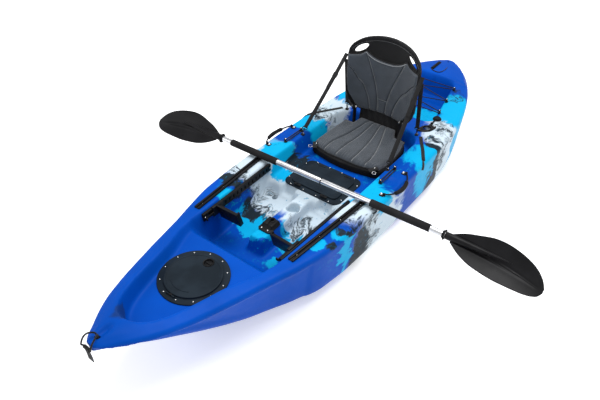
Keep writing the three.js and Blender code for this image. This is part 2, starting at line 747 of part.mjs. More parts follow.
const dish = (grow) => moved(drum(DISH_RADIUS * 2 / 3 + grow, DEPTH - DISH_DEPTH - grow, DEPTH + GAP,
  MEDIUM_SIDES, DISH_RADIUS + grow), DISH_X, DISH_Y, 0);
const cup = (grow) => moved(drum(CUP_RADIUS + grow, PLATFORM_HEIGHT - CUP_DEPTH - grow, PLATFORM_HEIGHT + OVERRUN,
  MEDIUM_SIDES), 0, CUP_PLACE, 0);
const scupper = (grow) => moved(drum(SCUPPER_RADIUS + grow, -OVERRUN, DEPTH, SMALL_SIDES),
  SCUPPER_SPACING, SCUPPER_PLACE, 0);
const centerOpening = (grow) => prism(roundedPlan(
  CENTER_HATCH_Y - CENTER_FRAME_LENGTH / 2 + CENTER_BORDER + CENTER_LAP - grow,
  CENTER_HATCH_Y + CENTER_FRAME_LENGTH / 2 - CENTER_BORDER - CENTER_LAP + grow,
  CENTER_FRAME_WIDTH / 2 - CENTER_BORDER - CENTER_LAP + grow,
  CENTER_FRAME_WIDTH / 2 - CENTER_BORDER - CENTER_LAP + grow, CENTER_FRAME_RADIUS / 2),
PLATFORM_HEIGHT - WALL - OVERRUN, PLATFORM_HEIGHT + OVERRUN);

const bowY = -LENGTH / 2;
const sternY = LENGTH / 2;
const tunnelY = bowY + TUNNEL_SETBACK;
const drainY = sternY - DRAIN_SETBACK;
const drainDeck = deckHeight(0, drainY);
const sternEyeY = sternY - STERN_EYE_SETBACK;
const sternDeck = deckHeight(0, sternEyeY);

function makeHull() {
  const outside = loft(stations.map((s) => hullRing(s, 0)));
  const inner = stations.filter((s, i) => i > CAVITY_ENDS && i < stations.length - 1 && i % 2 === 1);
  const cavity = loft(inner.map((s) => hullRing(s, WALL)));
  const pits = (grow) => {
    const side = [trackSeat(grow), dish(grow), scupper(grow)];
    return [
      cut(footwellPit(grow), [ridge(grow)]), throat(grow), cockpitPit(grow), tankPit(grow), bowPit(grow),
      cup(grow), ...side, ...side.map(mirrored),
    ];
  };
  const hollow = cut(cavity, pits(WALL));
  const tunnel = moved(drum(TUNNEL_RADIUS, 0, highest), 0, tunnelY, 0);
  const drainBore = moved(drum(DRAIN_THREAD_RADIUS + GAP, drainDeck - DRAIN_THREAD_LENGTH - OVERRUN,
    drainDeck + OVERRUN), 0, drainY, 0);
  const bowOpening = moved(drum(BOW_OPENING_RADIUS + GAP, PANEL_HEIGHT - WALL - OVERRUN,
    PANEL_HEIGHT + OVERRUN, ROUND_SIDES), 0, BOW_HATCH_Y, 0);
  const shell = cut(outside, [
    ...pits(0), hollow, tunnel, drainBore, bowOpening, centerOpening(0),
    rodHole(ROD_TUBE_RADIUS + RUNNING_GAP), mirrored(rodHole(ROD_TUBE_RADIUS + RUNNING_GAP)),
    endGroove(tunnelY - TUNNEL_RADIUS, deckHeight(0, tunnelY)),
  ]);
  const fittings = [...cordPosts.map((p) => moved(hookPost(), p.x, p.y, p.z - GAP)),
    ...eyePlaces.map(([x, y]) => moved(saddle(), x, y, DEPTH - GAP))];
  const sternEye = moved(turned(saddle(), Z, Math.PI / 2), 0, sternEyeY, sternDeck - GAP);
  return union([shell, ...fittings, ...fittings.map(mirrored), sternEye]);
}

// Posts for cords, and eyes for straps

// A mushroom post that a cord hooks round.
function hookPost() {
  return union([
    drum(HOOK_CAP_RADIUS, 0, EYE_PLATE, PIN_SIDES), drum(HOOK_POST_RADIUS, 0, HOOK_POST_HEIGHT, PIN_SIDES),
    drum(HOOK_CAP_RADIUS, HOOK_POST_HEIGHT - GAP, HOOK_POST_HEIGHT + HOOK_CAP_HEIGHT, PIN_SIDES),
  ]);
}

// An eye on deck: a base plate and a wire arch over it.
function saddle() {
  const plate = block(EYE_WIDTH, EYE_WIDTH, 0, EYE_PLATE);
  const arch = block(EYE_WIDTH * 2 / 3, EYE_WIRE, 0, EYE_HEIGHT)
    .subtract(block(EYE_WIDTH * 2 / 3 - 2 * EYE_WIRE, EYE_WIRE * 2, EYE_PLATE, EYE_HEIGHT - EYE_WIRE));
  return union([plate, arch]);
}

const eyePlaces = [[EYE_X, EYE_Y], [REAR_EYE_X, REAR_EYE_Y]];
const tankHookShares = [0.25, 0.53, 0.83];
const tankHooks = tankHookShares.map((share) => {
  const half = TANK_FRONT_HALF_WIDTH + (TANK_REAR_HALF_WIDTH - TANK_FRONT_HALF_WIDTH) * share + HOOK_MARGIN;
  const y = TANK_FRONT + share * (TANK_REAR - TANK_FRONT);
  return point(half, y, deckHeight(half, y));
});
const sidePosts = [point(SIDE_POST_X, SIDE_POST_FRONT, DEPTH), point(SIDE_POST_X, SIDE_POST_REAR, DEPTH)];
const cordPosts = [...tankHooks, ...sidePosts];
const opposite = (p) => point(-p.x, p.y, p.z);

// The cord's way round its posts: straight runs at given levels and an arc outside each post.
function lacing(posts, levels) {
  const reach = HOOK_POST_RADIUS + BUNGEE_RADIUS + GAP;
  const low = EYE_PLATE + GAP + BUNGEE_RADIUS;
  const step = 2 * BUNGEE_RADIUS + GAP;
  const arcSteps = 4;
  return posts.flatMap((post, i) => {
    const last = (i + posts.length - 1) % posts.length;
    const before = posts[last];
    const after = posts[(i + 1) % posts.length];
    const into = post.clone().sub(before).setZ(0).normalize();
    const out = after.clone().sub(post).setZ(0).normalize();
    const left = into.x * out.y - into.y * out.x > 0 ? 1 : -1;
    const start = Math.atan2(-left * into.x, left * into.y);
    let end = Math.atan2(-left * out.x, left * out.y);
    while ((end - start) * left < 0) end += left * 2 * Math.PI;
    return Array.from({ length: arcSteps + 1 }, (_, k) => {
      const angle = start + ((end - start) * k) / arcSteps;
      const level = levels[last] + ((levels[i] - levels[last]) * k) / arcSteps;
      return point(post.x + reach * Math.cos(angle), post.y + reach * Math.sin(angle), post.z + low + level * step);
    });
  });
}

add('hull', makeHull(), hullPlastic);

add('foam_pillar', moved(block(PILLAR_WIDTH, PILLAR_LENGTH, WALL + GAP, PLATFORM_HEIGHT - WALL - GAP),
  0, PILLAR_FRONT + PILLAR_LENGTH / 2, 0), whiteFoam);

// Bow hatch

const bowRimLow = PANEL_HEIGHT + GAP;
const bowRimTop = bowRimLow + BOW_RIM_THICKNESS;
const bowLidLow = bowRimTop + BOW_LIP_HEIGHT + GAP;
const bowLidTop = bowLidLow + BOW_LID_THICKNESS;
const bowHingeY = -BOW_LID_RADIUS - BOW_HINGE_SETBACK;
const bowHingeZ = bowRimTop + KNUCKLE_RADIUS + RUNNING_GAP;
const latchY = BOW_LID_RADIUS - LATCH_INSET;

// Knuckles at the two ends of a pin along X, and the pin's bore.
function outerKnuckles(x, y, z, foot) {
  const centers = [-1, 1].map((sign) => x + sign * (KNUCKLE_LENGTH + RUNNING_GAP));
  const solids = centers.map((at) => moved(bar(KNUCKLE_RADIUS, KNUCKLE_LENGTH, X, CORD_SIDES), at, y, z)
    .add(moved(block(KNUCKLE_LENGTH, KNUCKLE_RADIUS * 2, foot, z), at, y, 0)));
  return union(solids);
}

const pinBore = (x, y, z) => moved(bar(HINGE_PIN_RADIUS + RUNNING_GAP, KNUCKLE_LENGTH * 4, X, PIN_SIDES), x, y, z);
const hingePin = (x, y, z) => moved(bar(HINGE_PIN_RADIUS, KNUCKLE_LENGTH * 3, X, PIN_SIDES), x, y, z);

function makeBowRim() {
  const flange = band(BOW_OPENING_RADIUS, BOW_RIM_RADIUS, bowRimLow, bowRimTop);
  const lip = band(BOW_OPENING_RADIUS, BOW_OPENING_RADIUS + BOW_LIP_WIDTH, bowRimTop - GAP,
    bowRimTop + BOW_LIP_HEIGHT);
  const knuckles = outerKnuckles(0, bowHingeY, bowHingeZ, bowRimTop - GAP);
  const heads = ringOfScrews((BOW_RIM_RADIUS + BOW_LID_RADIUS) / 2, BOW_SCREW_COUNT, bowRimTop - GAP);
  return union([flange, lip, knuckles, hingePin(0, bowHingeY, bowHingeZ), heads]);
}

function makeBowLid() {
  const plate = drum(BOW_LID_RADIUS, bowLidLow, bowLidTop, ROUND_SIDES);
  const skirt = band(BOW_LID_RADIUS - BOW_SKIRT_WIDTH, BOW_LID_RADIUS, bowRimTop + GAP, bowLidLow + GAP);
  const pocketLow = bowLidTop - LATCH_POCKET_DEPTH;
  const pocket = moved(drum(LATCH_POCKET_RADIUS + POCKET_WALL, pocketLow - POCKET_WALL, bowLidTop,
    MEDIUM_SIDES), 0, latchY, 0);
  const leaf = moved(block(KNUCKLE_LENGTH, BOW_HINGE_SETBACK + KNUCKLE_RADIUS, bowLidLow, bowLidTop), 0,
    bowHingeY + (BOW_HINGE_SETBACK + KNUCKLE_RADIUS) / 2, 0);
  const knuckle = moved(bar(KNUCKLE_RADIUS, KNUCKLE_LENGTH, X), 0, bowHingeY, bowHingeZ);
  const body = union([plate, skirt, pocket, leaf, knuckle]);
  return cut(body, [
    moved(drum(LATCH_POCKET_RADIUS, pocketLow, bowLidTop + OVERRUN, MEDIUM_SIDES), 0, latchY, 0),
    moved(drum(STEM_RADIUS + GAP, pocketLow - OVERRUN, bowLidTop), 0, latchY, 0),
    pinBore(0, bowHingeY, bowHingeZ),
  ]);
}

function makeBowLatch() {
  const floor = bowLidTop - LATCH_POCKET_DEPTH + GAP;
  const disc = drum(LATCH_POCKET_RADIUS - 2 * RUNNING_GAP, floor, floor + BOW_LIP_HEIGHT, MEDIUM_SIDES);
  const grip = block(LATCH_POCKET_RADIUS * 3 / 2, LATCH_BAR_WIDTH, floor, floor + LATCH_BAR_HEIGHT);
  const camTop = PANEL_HEIGHT - WALL - 2 * GAP;
  const stem = drum(STEM_RADIUS, camTop - CAM_THICKNESS, floor + GAP);
  const cam = moved(block(CAM_LENGTH + CAM_WIDTH / 2, CAM_WIDTH, camTop - CAM_THICKNESS, camTop),
    CAM_LENGTH / 2, 0, 0);
  return moved(union([disc, grip, stem, cam]), 0, latchY, 0);
}

function ringOfScrews(radius, count, height) {
  return union(Array.from({ length: count }, (_, i) => {
    const angle = ((i + 1 / 2) * 2 * Math.PI) / count;
    return moved(screwHead(), radius * Math.cos(angle), radius * Math.sin(angle), height);
  }));
}

const bowHatchPlace = new THREE.Matrix4().makeTranslation(0, BOW_HATCH_Y, 0);
const bowGasket = band(BOW_OPENING_RADIUS + BOW_LIP_WIDTH + GAP, BOW_LID_RADIUS - BOW_SKIRT_WIDTH - 4 * GAP,
  bowRimTop + GAP, bowLidLow - GAP);
add('bow_hatch_rim', makeBowRim(), blackPlastic, bowHatchPlace);
add('bow_hatch_gasket', bowGasket, rubber, bowHatchPlace);
add('bow_hatch_lid', makeBowLid(), lidPlastic, bowHatchPlace);
add('bow_hatch_latch', makeBowLatch(), blackPlastic, bowHatchPlace);

// Centre hatch

const frameLow = PLATFORM_HEIGHT + GAP;
const frameTop = frameLow + CENTER_FRAME_THICKNESS;
const lidLow = frameTop + CENTER_GASKET_HEIGHT + 2 * GAP;
const lidTop = lidLow + CENTER_LID_THICKNESS;
const centerHingeY = CENTER_FRAME_LENGTH / 2 - CENTER_BORDER + BOW_HINGE_SETBACK;
const centerHingeZ = frameTop + KNUCKLE_RADIUS + RUNNING_GAP;
const fittingX = CENTER_FITTING_SPACING / 2;

const centerPlan = (inset, radius) => roundedPlan(-CENTER_FRAME_LENGTH / 2 + inset,
  CENTER_FRAME_LENGTH / 2 - inset, CENTER_FRAME_WIDTH / 2 - inset, CENTER_FRAME_WIDTH / 2 - inset, radius);
const openingInset = CENTER_BORDER + CENTER_LAP;

function makeCenterFrame() {
  const plate = prism(centerPlan(0, CENTER_FRAME_RADIUS), frameLow, frameTop);
  const hole = prism(centerPlan(openingInset, CENTER_FRAME_RADIUS / 2), frameLow - OVERRUN, frameTop + OVERRUN);
  const knuckles = [-fittingX, fittingX]
    .map((x) => outerKnuckles(x, centerHingeY, centerHingeZ, frameTop - GAP));
  const pins = [-fittingX, fittingX].map((x) => hingePin(x, centerHingeY, centerHingeZ));
  return union([plate.subtract(hole), ...knuckles, ...pins, centerScrews()]);
}

function makeCenterGasket() {
  const inner = openingInset - GAP - BOW_LIP_WIDTH;
  const height = [frameTop + GAP, frameTop + GAP + CENTER_GASKET_HEIGHT];
  return prism(centerPlan(inner - CENTER_GASKET_WIDTH, CENTER_FRAME_RADIUS / 2), ...height)
    .subtract(prism(centerPlan(inner, CENTER_FRAME_RADIUS / 2), height[0] - OVERRUN, height[1] + OVERRUN));
}

function makeCenterLid() {
  const radius = CENTER_FRAME_RADIUS - CENTER_BORDER / 2;
  const outside = prism(centerPlan(CENTER_BORDER, radius), frameTop + GAP, lidTop);
  const inside = prism(centerPlan(CENTER_BORDER + BOW_SKIRT_WIDTH, radius - BOW_SKIRT_WIDTH),
    frameTop - OVERRUN, lidLow);
  const leaves = [-fittingX, fittingX].map((x) => union([
    moved(bar(KNUCKLE_RADIUS, KNUCKLE_LENGTH, X), x, centerHingeY, centerHingeZ),
    moved(block(KNUCKLE_LENGTH, BOW_HINGE_SETBACK + KNUCKLE_RADIUS, lidLow, lidTop), x,
      centerHingeY - (BOW_HINGE_SETBACK + KNUCKLE_RADIUS) / 2, 0),
  ]));
  return cut(union([outside.subtract(inside), ...leaves]),
    [-fittingX, fittingX].map((x) => pinBore(x, centerHingeY, centerHingeZ)));
}

const turnLatchY = -CENTER_FRAME_LENGTH / 2 + TURN_LATCH_WIDTH;

function makeTurnLatch() {
  const low = lidTop + RUNNING_GAP;
  const body = block(TURN_LATCH_LENGTH, TURN_LATCH_WIDTH, low, low + TURN_LATCH_HEIGHT);
  const fin = block(TURN_LATCH_WIDTH / 2, TURN_LATCH_WIDTH / 2, low, low + TURN_LATCH_HEIGHT * 2);
  return union([body, fin, drum(TURN_LATCH_POST, frameTop + GAP, low + GAP)]);
}

function centerScrews() {
  const inset = SCREW_HEAD_RADIUS * 2;
  const halfX = CENTER_FRAME_WIDTH / 2 - inset;
  const halfY = CENTER_FRAME_LENGTH / 2 - inset;
  const alongShares = [-0.72, -0.24, 0.24, 0.72];
  const acrossShares = [-0.62, 0, 0.62];
  const places = [
    ...alongShares.flatMap((share) => [[share * halfX, -halfY], [share * halfX, halfY]]),
    ...acrossShares.flatMap((share) => [[-halfX, share * halfY], [halfX, share * halfY]]),
  ];
  return union(places.map(([x, y]) => moved(screwHead(), x, y, frameTop - GAP)));
}

const centerPlace = new THREE.Matrix4().makeTranslation(0, CENTER_HATCH_Y, 0);
add('center_hatch_frame', makeCenterFrame(), blackPlastic, centerPlace);
add('center_hatch_gasket', makeCenterGasket(), rubber, centerPlace);
add('center_hatch_lid', makeCenterLid(), lidPlastic, centerPlace);
bothSides((side, sign) => add(`center_latch_${side}`, moved(makeTurnLatch(), sign * fittingX, turnLatchY, 0),
  blackPlastic, centerPlace));

// Gear tracks

const trackScrewShares = [-0.42, -0.14, 0.14, 0.42];

function makeTrack() {
  const half = TRACK_WIDTH / 2;
  const lip = TRACK_HEIGHT - TRACK_FLANGE;
  const profile = [
    flat(-half, 0), flat(half, 0), flat(half, TRACK_HEIGHT), flat(TRACK_SLOT / 2, TRACK_HEIGHT),
    flat(TRACK_SLOT / 2, lip), flat(TRACK_CHANNEL / 2, lip), flat(TRACK_CHANNEL / 2, TRACK_FLOOR),
    flat(-TRACK_CHANNEL / 2, TRACK_FLOOR), flat(-TRACK_CHANNEL / 2, lip), flat(-TRACK_SLOT / 2, lip),
    flat(-TRACK_SLOT / 2, TRACK_HEIGHT), flat(-half, TRACK_HEIGHT),
  ];
  const lying = turned(prism(profile, -trackLength / 2, trackLength / 2), X, Math.PI / 2);
  const heads = trackScrewShares.map((share) => moved(screwHead(), 0, share * trackLength, TRACK_FLOOR - GAP));
  return placed(moved(union([lying, ...heads]), 0, 0, trackBase + GAP), trackMatrix);
}
bothSides((side, sign) => add(`gear_track_${side}`, onSide(makeTrack(), sign), anodised));

// Foot braces, built in the rail's own frame with Y along the rail and -X inwards

const railLength = (RAIL_REAR_Y - RAIL_FRONT_Y) / Math.cos(railYaw);
const railMiddleY = (RAIL_FRONT_Y + RAIL_REAR_Y) / 2;
const railX = wallAt(railMiddleY) - (GAP + RAIL_THICKNESS / 2) / Math.cos(railYaw);
const railZ = DEPTH - RAIL_DROP - RAIL_HEIGHT / 2;
const railMatrix = new THREE.Matrix4().makeTranslation(railX, railMiddleY, railZ)
  .multiply(new THREE.Matrix4().makeRotationZ(-railYaw));

const railScrewShares = [-0.485, 0.485];

function makeRail() {
  const body = block(RAIL_THICKNESS, railLength, -RAIL_HEIGHT / 2, RAIL_HEIGHT / 2);
  const count = Math.floor((railLength - RACK_PITCH) / RACK_PITCH);
  const notches = Array.from({ length: count }, (_, i) => moved(
    block(RACK_DEPTH * 2, RACK_NOTCH, -RAIL_HEIGHT / 4, RAIL_HEIGHT / 4),
    -RAIL_THICKNESS / 2, (i - (count - 1) / 2) * RACK_PITCH, 0));
  const heads = railScrewShares.map((share) => moved(turned(screwHead(), Y, -Math.PI / 2),
    GAP - RAIL_THICKNESS / 2, share * railLength, 0));
  return union([cut(body, notches), ...heads]);
}

const pedalLocalY = (PEDAL_PLACE - railMiddleY) / Math.cos(railYaw);

function makePedal() {
  const inner = -RAIL_THICKNESS / 2 - RUNNING_GAP;
  const top = RAIL_HEIGHT / 2 + RUNNING_GAP;
  const cheek = moved(block(CARRIAGE_WALL, CARRIAGE_LENGTH, -top - CARRIAGE_WALL, top + CARRIAGE_WALL),
    inner - CARRIAGE_WALL / 2, 0, 0);
  const lipWidth = RAIL_THICKNESS / 2 + RUNNING_GAP + GAP;
  const lips = [top, -top - CARRIAGE_WALL].map((low) => moved(
    block(lipWidth, CARRIAGE_LENGTH, low, low + CARRIAGE_WALL), inner + lipWidth / 2 - GAP, 0, 0));
  const plateTop = top + CARRIAGE_WALL;
  const plate = block(PLATE_WIDTH, PLATE_THICKNESS, plateTop - PLATE_HEIGHT, plateTop);
  const ribs = Array.from({ length: PLATE_RIBS }, (_, i) => moved(
    block(PLATE_WIDTH - 2 * CARRIAGE_WALL, PLATE_THICKNESS * 3 / 2, 0, CARRIAGE_WALL), 0, PLATE_THICKNESS,
    plateTop - ((i + 1 / 2) * PLATE_HEIGHT) / PLATE_RIBS - CARRIAGE_WALL / 2));
  const edgeLip = moved(block(CARRIAGE_WALL, PLATE_THICKNESS * 3, plateTop - PLATE_HEIGHT, plateTop),
    -PLATE_WIDTH / 2, PLATE_THICKNESS, 0);
  const tread = turned(union([plate, ...ribs, edgeLip]), X, PLATE_TILT);
  return moved(union([cheek, ...lips, moved(tread, inner - CARRIAGE_WALL / 2 - PLATE_WIDTH / 2, 0, 0)]),
    0, pedalLocalY, 0);
}

const lockPivot = point(-RAIL_THICKNESS / 2 - 2 * RUNNING_GAP - CARRIAGE_WALL - LOCK_THICKNESS / 2,
  pedalLocalY - CARRIAGE_LENGTH / 2 - LOCK_THICKNESS, 0);

function makePedalLock() {
  const lever = moved(block(LOCK_THICKNESS, LOCK_LENGTH, -LOCK_WIDTH / 2, LOCK_WIDTH / 2), 0, -LOCK_LENGTH / 2, 0);
  const tab = moved(block(LOCK_THICKNESS * 3, LOCK_THICKNESS, -LOCK_WIDTH / 2, LOCK_WIDTH / 2),
    -LOCK_THICKNESS, -LOCK_LENGTH, 0);
  const eye = drum(LOCK_THICKNESS, -LOCK_WIDTH / 2, LOCK_WIDTH / 2);
  return moved(union([lever, tab, eye]), lockPivot.x, lockPivot.y, 0);
}

bothSides((side, sign) => {
  add(`foot_rail_${side}`, onSide(placed(makeRail(), railMatrix), sign), blackPlastic);
  add(`foot_pedal_${side}`, onSide(placed(makePedal(), railMatrix), sign), blackPlastic);
  add(`pedal_lock_${side}`, onSide(placed(makePedalLock(), railMatrix), sign), blackPlastic);
});

// Accessory base

function makeBase() {
  const low = PLATFORM_HEIGHT + GAP;
  const chamfer = BASE_WIDTH / 8;
  const plan = (inset, front) => [
    flat(-BASE_WIDTH / 2 + chamfer, front), flat(BASE_WIDTH / 2 - chamfer, front),
    flat(BASE_WIDTH / 2 - inset, front + chamfer), flat(BASE_WIDTH / 2 - inset, BASE_LENGTH - chamfer),
    flat(BASE_WIDTH / 2 - chamfer, BASE_LENGTH - inset), flat(-BASE_WIDTH / 2 + chamfer, BASE_LENGTH - inset),
    flat(-BASE_WIDTH / 2 + inset, BASE_LENGTH - chamfer), flat(-BASE_WIDTH / 2 + inset, front + chamfer),
  ];
  const plate = loft([atHeight(plan(0, 0), low), atHeight(plan(0, 0), low + BASE_PLATE)]);
  const rise = BASE_LENGTH / 4;
  const body = loft([atHeight(plan(GAP, rise), low + BASE_PLATE - GAP),
    atHeight(plan(chamfer, rise + chamfer), low + BASE_BODY_HEIGHT)]);
  const socketY = BASE_LENGTH * 3 / 4;
  const collar = moved(drum(BASE_SOCKET_RADIUS + BASE_SOCKET_WALL, low, low + BASE_BODY_HEIGHT + BASE_PLATE / 2,
    MEDIUM_SIDES), 0, socketY, 0);
  const bore = moved(drum(BASE_SOCKET_RADIUS, low + BASE_PLATE / 2, low + BASE_BODY_HEIGHT + OVERRUN,
    MEDIUM_SIDES), 0, socketY, 0);
  const groove = moved(block(BASE_SOCKET_WALL, BASE_LENGTH / 3, low + BASE_BODY_HEIGHT - BASE_PLATE / 2,
    low + BASE_BODY_HEIGHT + OVERRUN), 0, BASE_LENGTH / 2, 0);
  const heads = [-BASE_WIDTH / 4, BASE_WIDTH / 4].map((x) => moved(screwHead(), x, BASE_LENGTH / 8,
    low + BASE_PLATE - GAP));
  return cut(union([plate, body, collar, ...heads]), [bore, groove]);
}

const basePlace = new THREE.Matrix4().makeTranslation(0, BASE_FRONT, 0);
add('accessory_base', makeBase(), blackPlastic, basePlace);

// Side handles

const deckSeat = DEPTH + GAP;
const handleAxis = point(HANDLE_X + HANDLE_BRACKET / 2, 0, deckSeat + HANDLE_AXIS_LIFT);
const pegRadius = HANDLE_CORD_RADIUS * 3 / 4;

function handleBracket(y) {
  const plate = moved(block(HANDLE_BRACKET, HANDLE_BRACKET, deckSeat, deckSeat + HANDLE_PLATE), HANDLE_X, y, 0);
  const cheek = moved(block(HANDLE_BRACKET / 2, HANDLE_CHEEK, deckSeat, handleAxis.z + HANDLE_CORD_RADIUS * 3 / 2),
    HANDLE_X + HANDLE_BRACKET / 4 + HANDLE_CORD_RADIUS, y, 0);
  const bolt = moved(drum(BOLT_HEAD_RADIUS, 0, BOLT_HEAD_HEIGHT, SMALL_SIDES, BOLT_HEAD_RADIUS * 2 / 3),
    HANDLE_X - HANDLE_CORD_RADIUS, y, deckSeat + HANDLE_PLATE - GAP);
  const bore = moved(bar(pegRadius + GAP, HANDLE_BRACKET, Y, CORD_SIDES), handleAxis.x, y, handleAxis.z);
  return union([plate, cheek, bolt]).subtract(bore);
}

// A cord handle with a thicker grip in its middle, and a peg at each end.
function handleGrip() {
  const span = HANDLE_REAR - HANDLE_FRONT - HANDLE_CHEEK - 2 * RUNNING_GAP;
  const middle = (HANDLE_REAR + HANDLE_FRONT) / 2;
  const placeShares = [0, 0.05, 0.13, 0.22, 0.235, 0.36, 0.5, 0.64, 0.765, 0.78, 0.87, 0.95, 1];
  const gripShares = [0.235, 0.765];
  const rings = placeShares.map((t) => {
    const arch = Math.sin(Math.PI * t) ** (2 / 3);
    const radius = t >= gripShares[0] && t <= gripShares[1] ? HANDLE_GRIP_RADIUS : HANDLE_CORD_RADIUS;
    const center = point(handleAxis.x + arch * HANDLE_REACH, middle + (t - 1 / 2) * span,
      handleAxis.z - arch * HANDLE_DROOP);
    return roundSection(radius).map(([u, v]) => center.clone().add(point(u, 0, v)));
  });
  const pegLength = HANDLE_CHEEK + 2 * HANDLE_CORD_RADIUS;
  const pegs = [-1, 1].map((sign) => moved(bar(pegRadius, pegLength, Y, CORD_SIDES), handleAxis.x,
    middle + sign * (span / 2 + pegLength / 2 - HANDLE_CORD_RADIUS), handleAxis.z));
  return union([loft(rings), ...pegs]);
}

bothSides((side, sign) => {
  add(`handle_bracket_front_${side}`, onSide(handleBracket(HANDLE_FRONT), sign), blackPlastic);
  add(`handle_bracket_rear_${side}`, onSide(handleBracket(HANDLE_REAR), sign), blackPlastic);
  add(`side_handle_${side}`, onSide(handleGrip(), sign), rubber);
});

// Bow loop with its webbing tab

const bowDeck = deckHeight(0, tunnelY);
const tipDeck = deckHeight(0, bowY);
const barY = bowY - 3 * LOOP_CORD_RADIUS;
const barZ = tipDeck - GROOVE_DEPTH;

const knotRadius = LOOP_CORD_RADIUS * 3;
const knotTop = stationAt(tunnelY + knotRadius * Math.cos(Math.PI / CORD_SIDES)).keel - 3 * GAP;
const loopKnot = moved(drum(knotRadius, knotTop - knotRadius, knotTop, CORD_SIDES), 0, tunnelY, 0);

function bowLoop() {
  const strand = (sign) => [
    point(sign * (LOOP_CORD_RADIUS + GAP), tunnelY, knotTop - knotRadius / 2),
    point(sign * (LOOP_CORD_RADIUS + GAP), tunnelY, bowDeck - GROOVE_DEPTH),
    point(sign * LOOP_HALF_WIDTH / 4, tunnelY, bowDeck + LOOP_CORD_RADIUS * 3),
    point(sign * LOOP_HALF_WIDTH * 4 / 5, (tunnelY + bowY) / 2, bowDeck + LOOP_CORD_RADIUS * 5),
    point(sign * LOOP_HALF_WIDTH, bowY, tipDeck + 4 * LOOP_CORD_RADIUS),
    point(sign * LOOP_HALF_WIDTH, barY - LOOP_CORD_RADIUS, barZ + 2 * LOOP_CORD_RADIUS),
  ];
  const barShares = [-0.82, -0.7, 0, 0.7, 0.82];
  const outer = [...strand(-1), ...barShares.map((share) => point(share * LOOP_HALF_WIDTH, barY, barZ)),
    ...strand(1).reverse()];
  const curve = new THREE.CatmullRomCurve3(outer, false, 'centripetal');
  return Array.from({ length: LOOP_STEPS + 1 }, (_, i) => curve.getPoint(i / LOOP_STEPS));
}

function cordAlong(points, radius) {
  const curve = new THREE.CatmullRomCurve3(points, false, 'centripetal');
  const shape = new THREE.Shape(roundSection(radius, PIN_SIDES).map(([u, v]) => flat(u, v)));
  return solidOf(new THREE.ExtrudeGeometry(shape, {
    extrudePath: curve, steps: points.length - 1, bevelEnabled: false,
  }));
}

add('bow_loop', cordAlong(bowLoop(), LOOP_CORD_RADIUS).add(loopKnot), webbing);

function bowTab() {
  const sleeve = moved(bar(LOOP_CORD_RADIUS + RUNNING_GAP + TAB_SLEEVE, TAB_WIDTH, X), 0, barY, barZ);
  const tail = moved(block(TAB_WIDTH, TAB_THICKNESS, barZ - LOOP_CORD_RADIUS - TAB_LENGTH, barZ - LOOP_CORD_RADIUS),
    0, barY, 0);
  return union([sleeve, tail]).subtract(moved(bar(LOOP_CORD_RADIUS + RUNNING_GAP, TAB_WIDTH * 2, X), 0, barY, barZ));
}
add('bow_tab', bowTab(), webbing);

// Stern cord and grip

const cordRadius = LOOP_CORD_RADIUS * 3 / 4;
const sternCordZ = sternDeck + GAP + EYE_PLATE + GAP + cordRadius;

function sternLoop() {
  const riseShare = 1 / 6;
  const fore = sternEyeY - STERN_LOOP_LENGTH;
  const lift = STERN_GRIP_RADIUS + GAP + Math.max(deckHeight(0, fore), sternDeck) - sternCordZ;
  const ellipse = Array.from({ length: RING_STEPS }, (_, i) => {
    const angle = (i * 2 * Math.PI) / RING_STEPS;
    const share = (1 - Math.cos(angle)) / 2;
    return point(-STERN_LOOP_HALF_WIDTH * Math.sin(angle) * (1 - share / 3), sternEyeY - STERN_LOOP_LENGTH * share,
      sternCordZ + lift * Math.min(1, share / riseShare));
  });
  const cord = sweep(ellipse, roundSection(cordRadius), true);
  const gripY = sternEyeY - STERN_LOOP_LENGTH / 2;
  const grip = moved(bar(STERN_GRIP_RADIUS, STERN_GRIP_LENGTH, Y), -STERN_LOOP_HALF_WIDTH, gripY, sternCordZ + lift);
  return union([cord, grip]);
}

add('stern_grip', sternLoop(), rubber);

function drainPlug() {
  const head = drum(DRAIN_RADIUS, drainDeck + 2 * GAP, drainDeck + DRAIN_RADIUS / 2);
  const fin = block(DRAIN_RADIUS * 3 / 2, DRAIN_RADIUS / 3, drainDeck + GAP * 2, drainDeck + DRAIN_RADIUS);
  return moved(union([head, fin, drum(DRAIN_THREAD_RADIUS - GAP, drainDeck - DRAIN_THREAD_LENGTH,
    drainDeck + 3 * GAP)]), 0, drainY, 0);
}
add('drain_plug', drainPlug(), rubber);

// Rod holders

const capAxisZ = deckSeat + (CAP_THICKNESS + ROD_FLANGE_THICKNESS + GAP) / 2;
const rodScrewShares = [-0.4, 0.4];

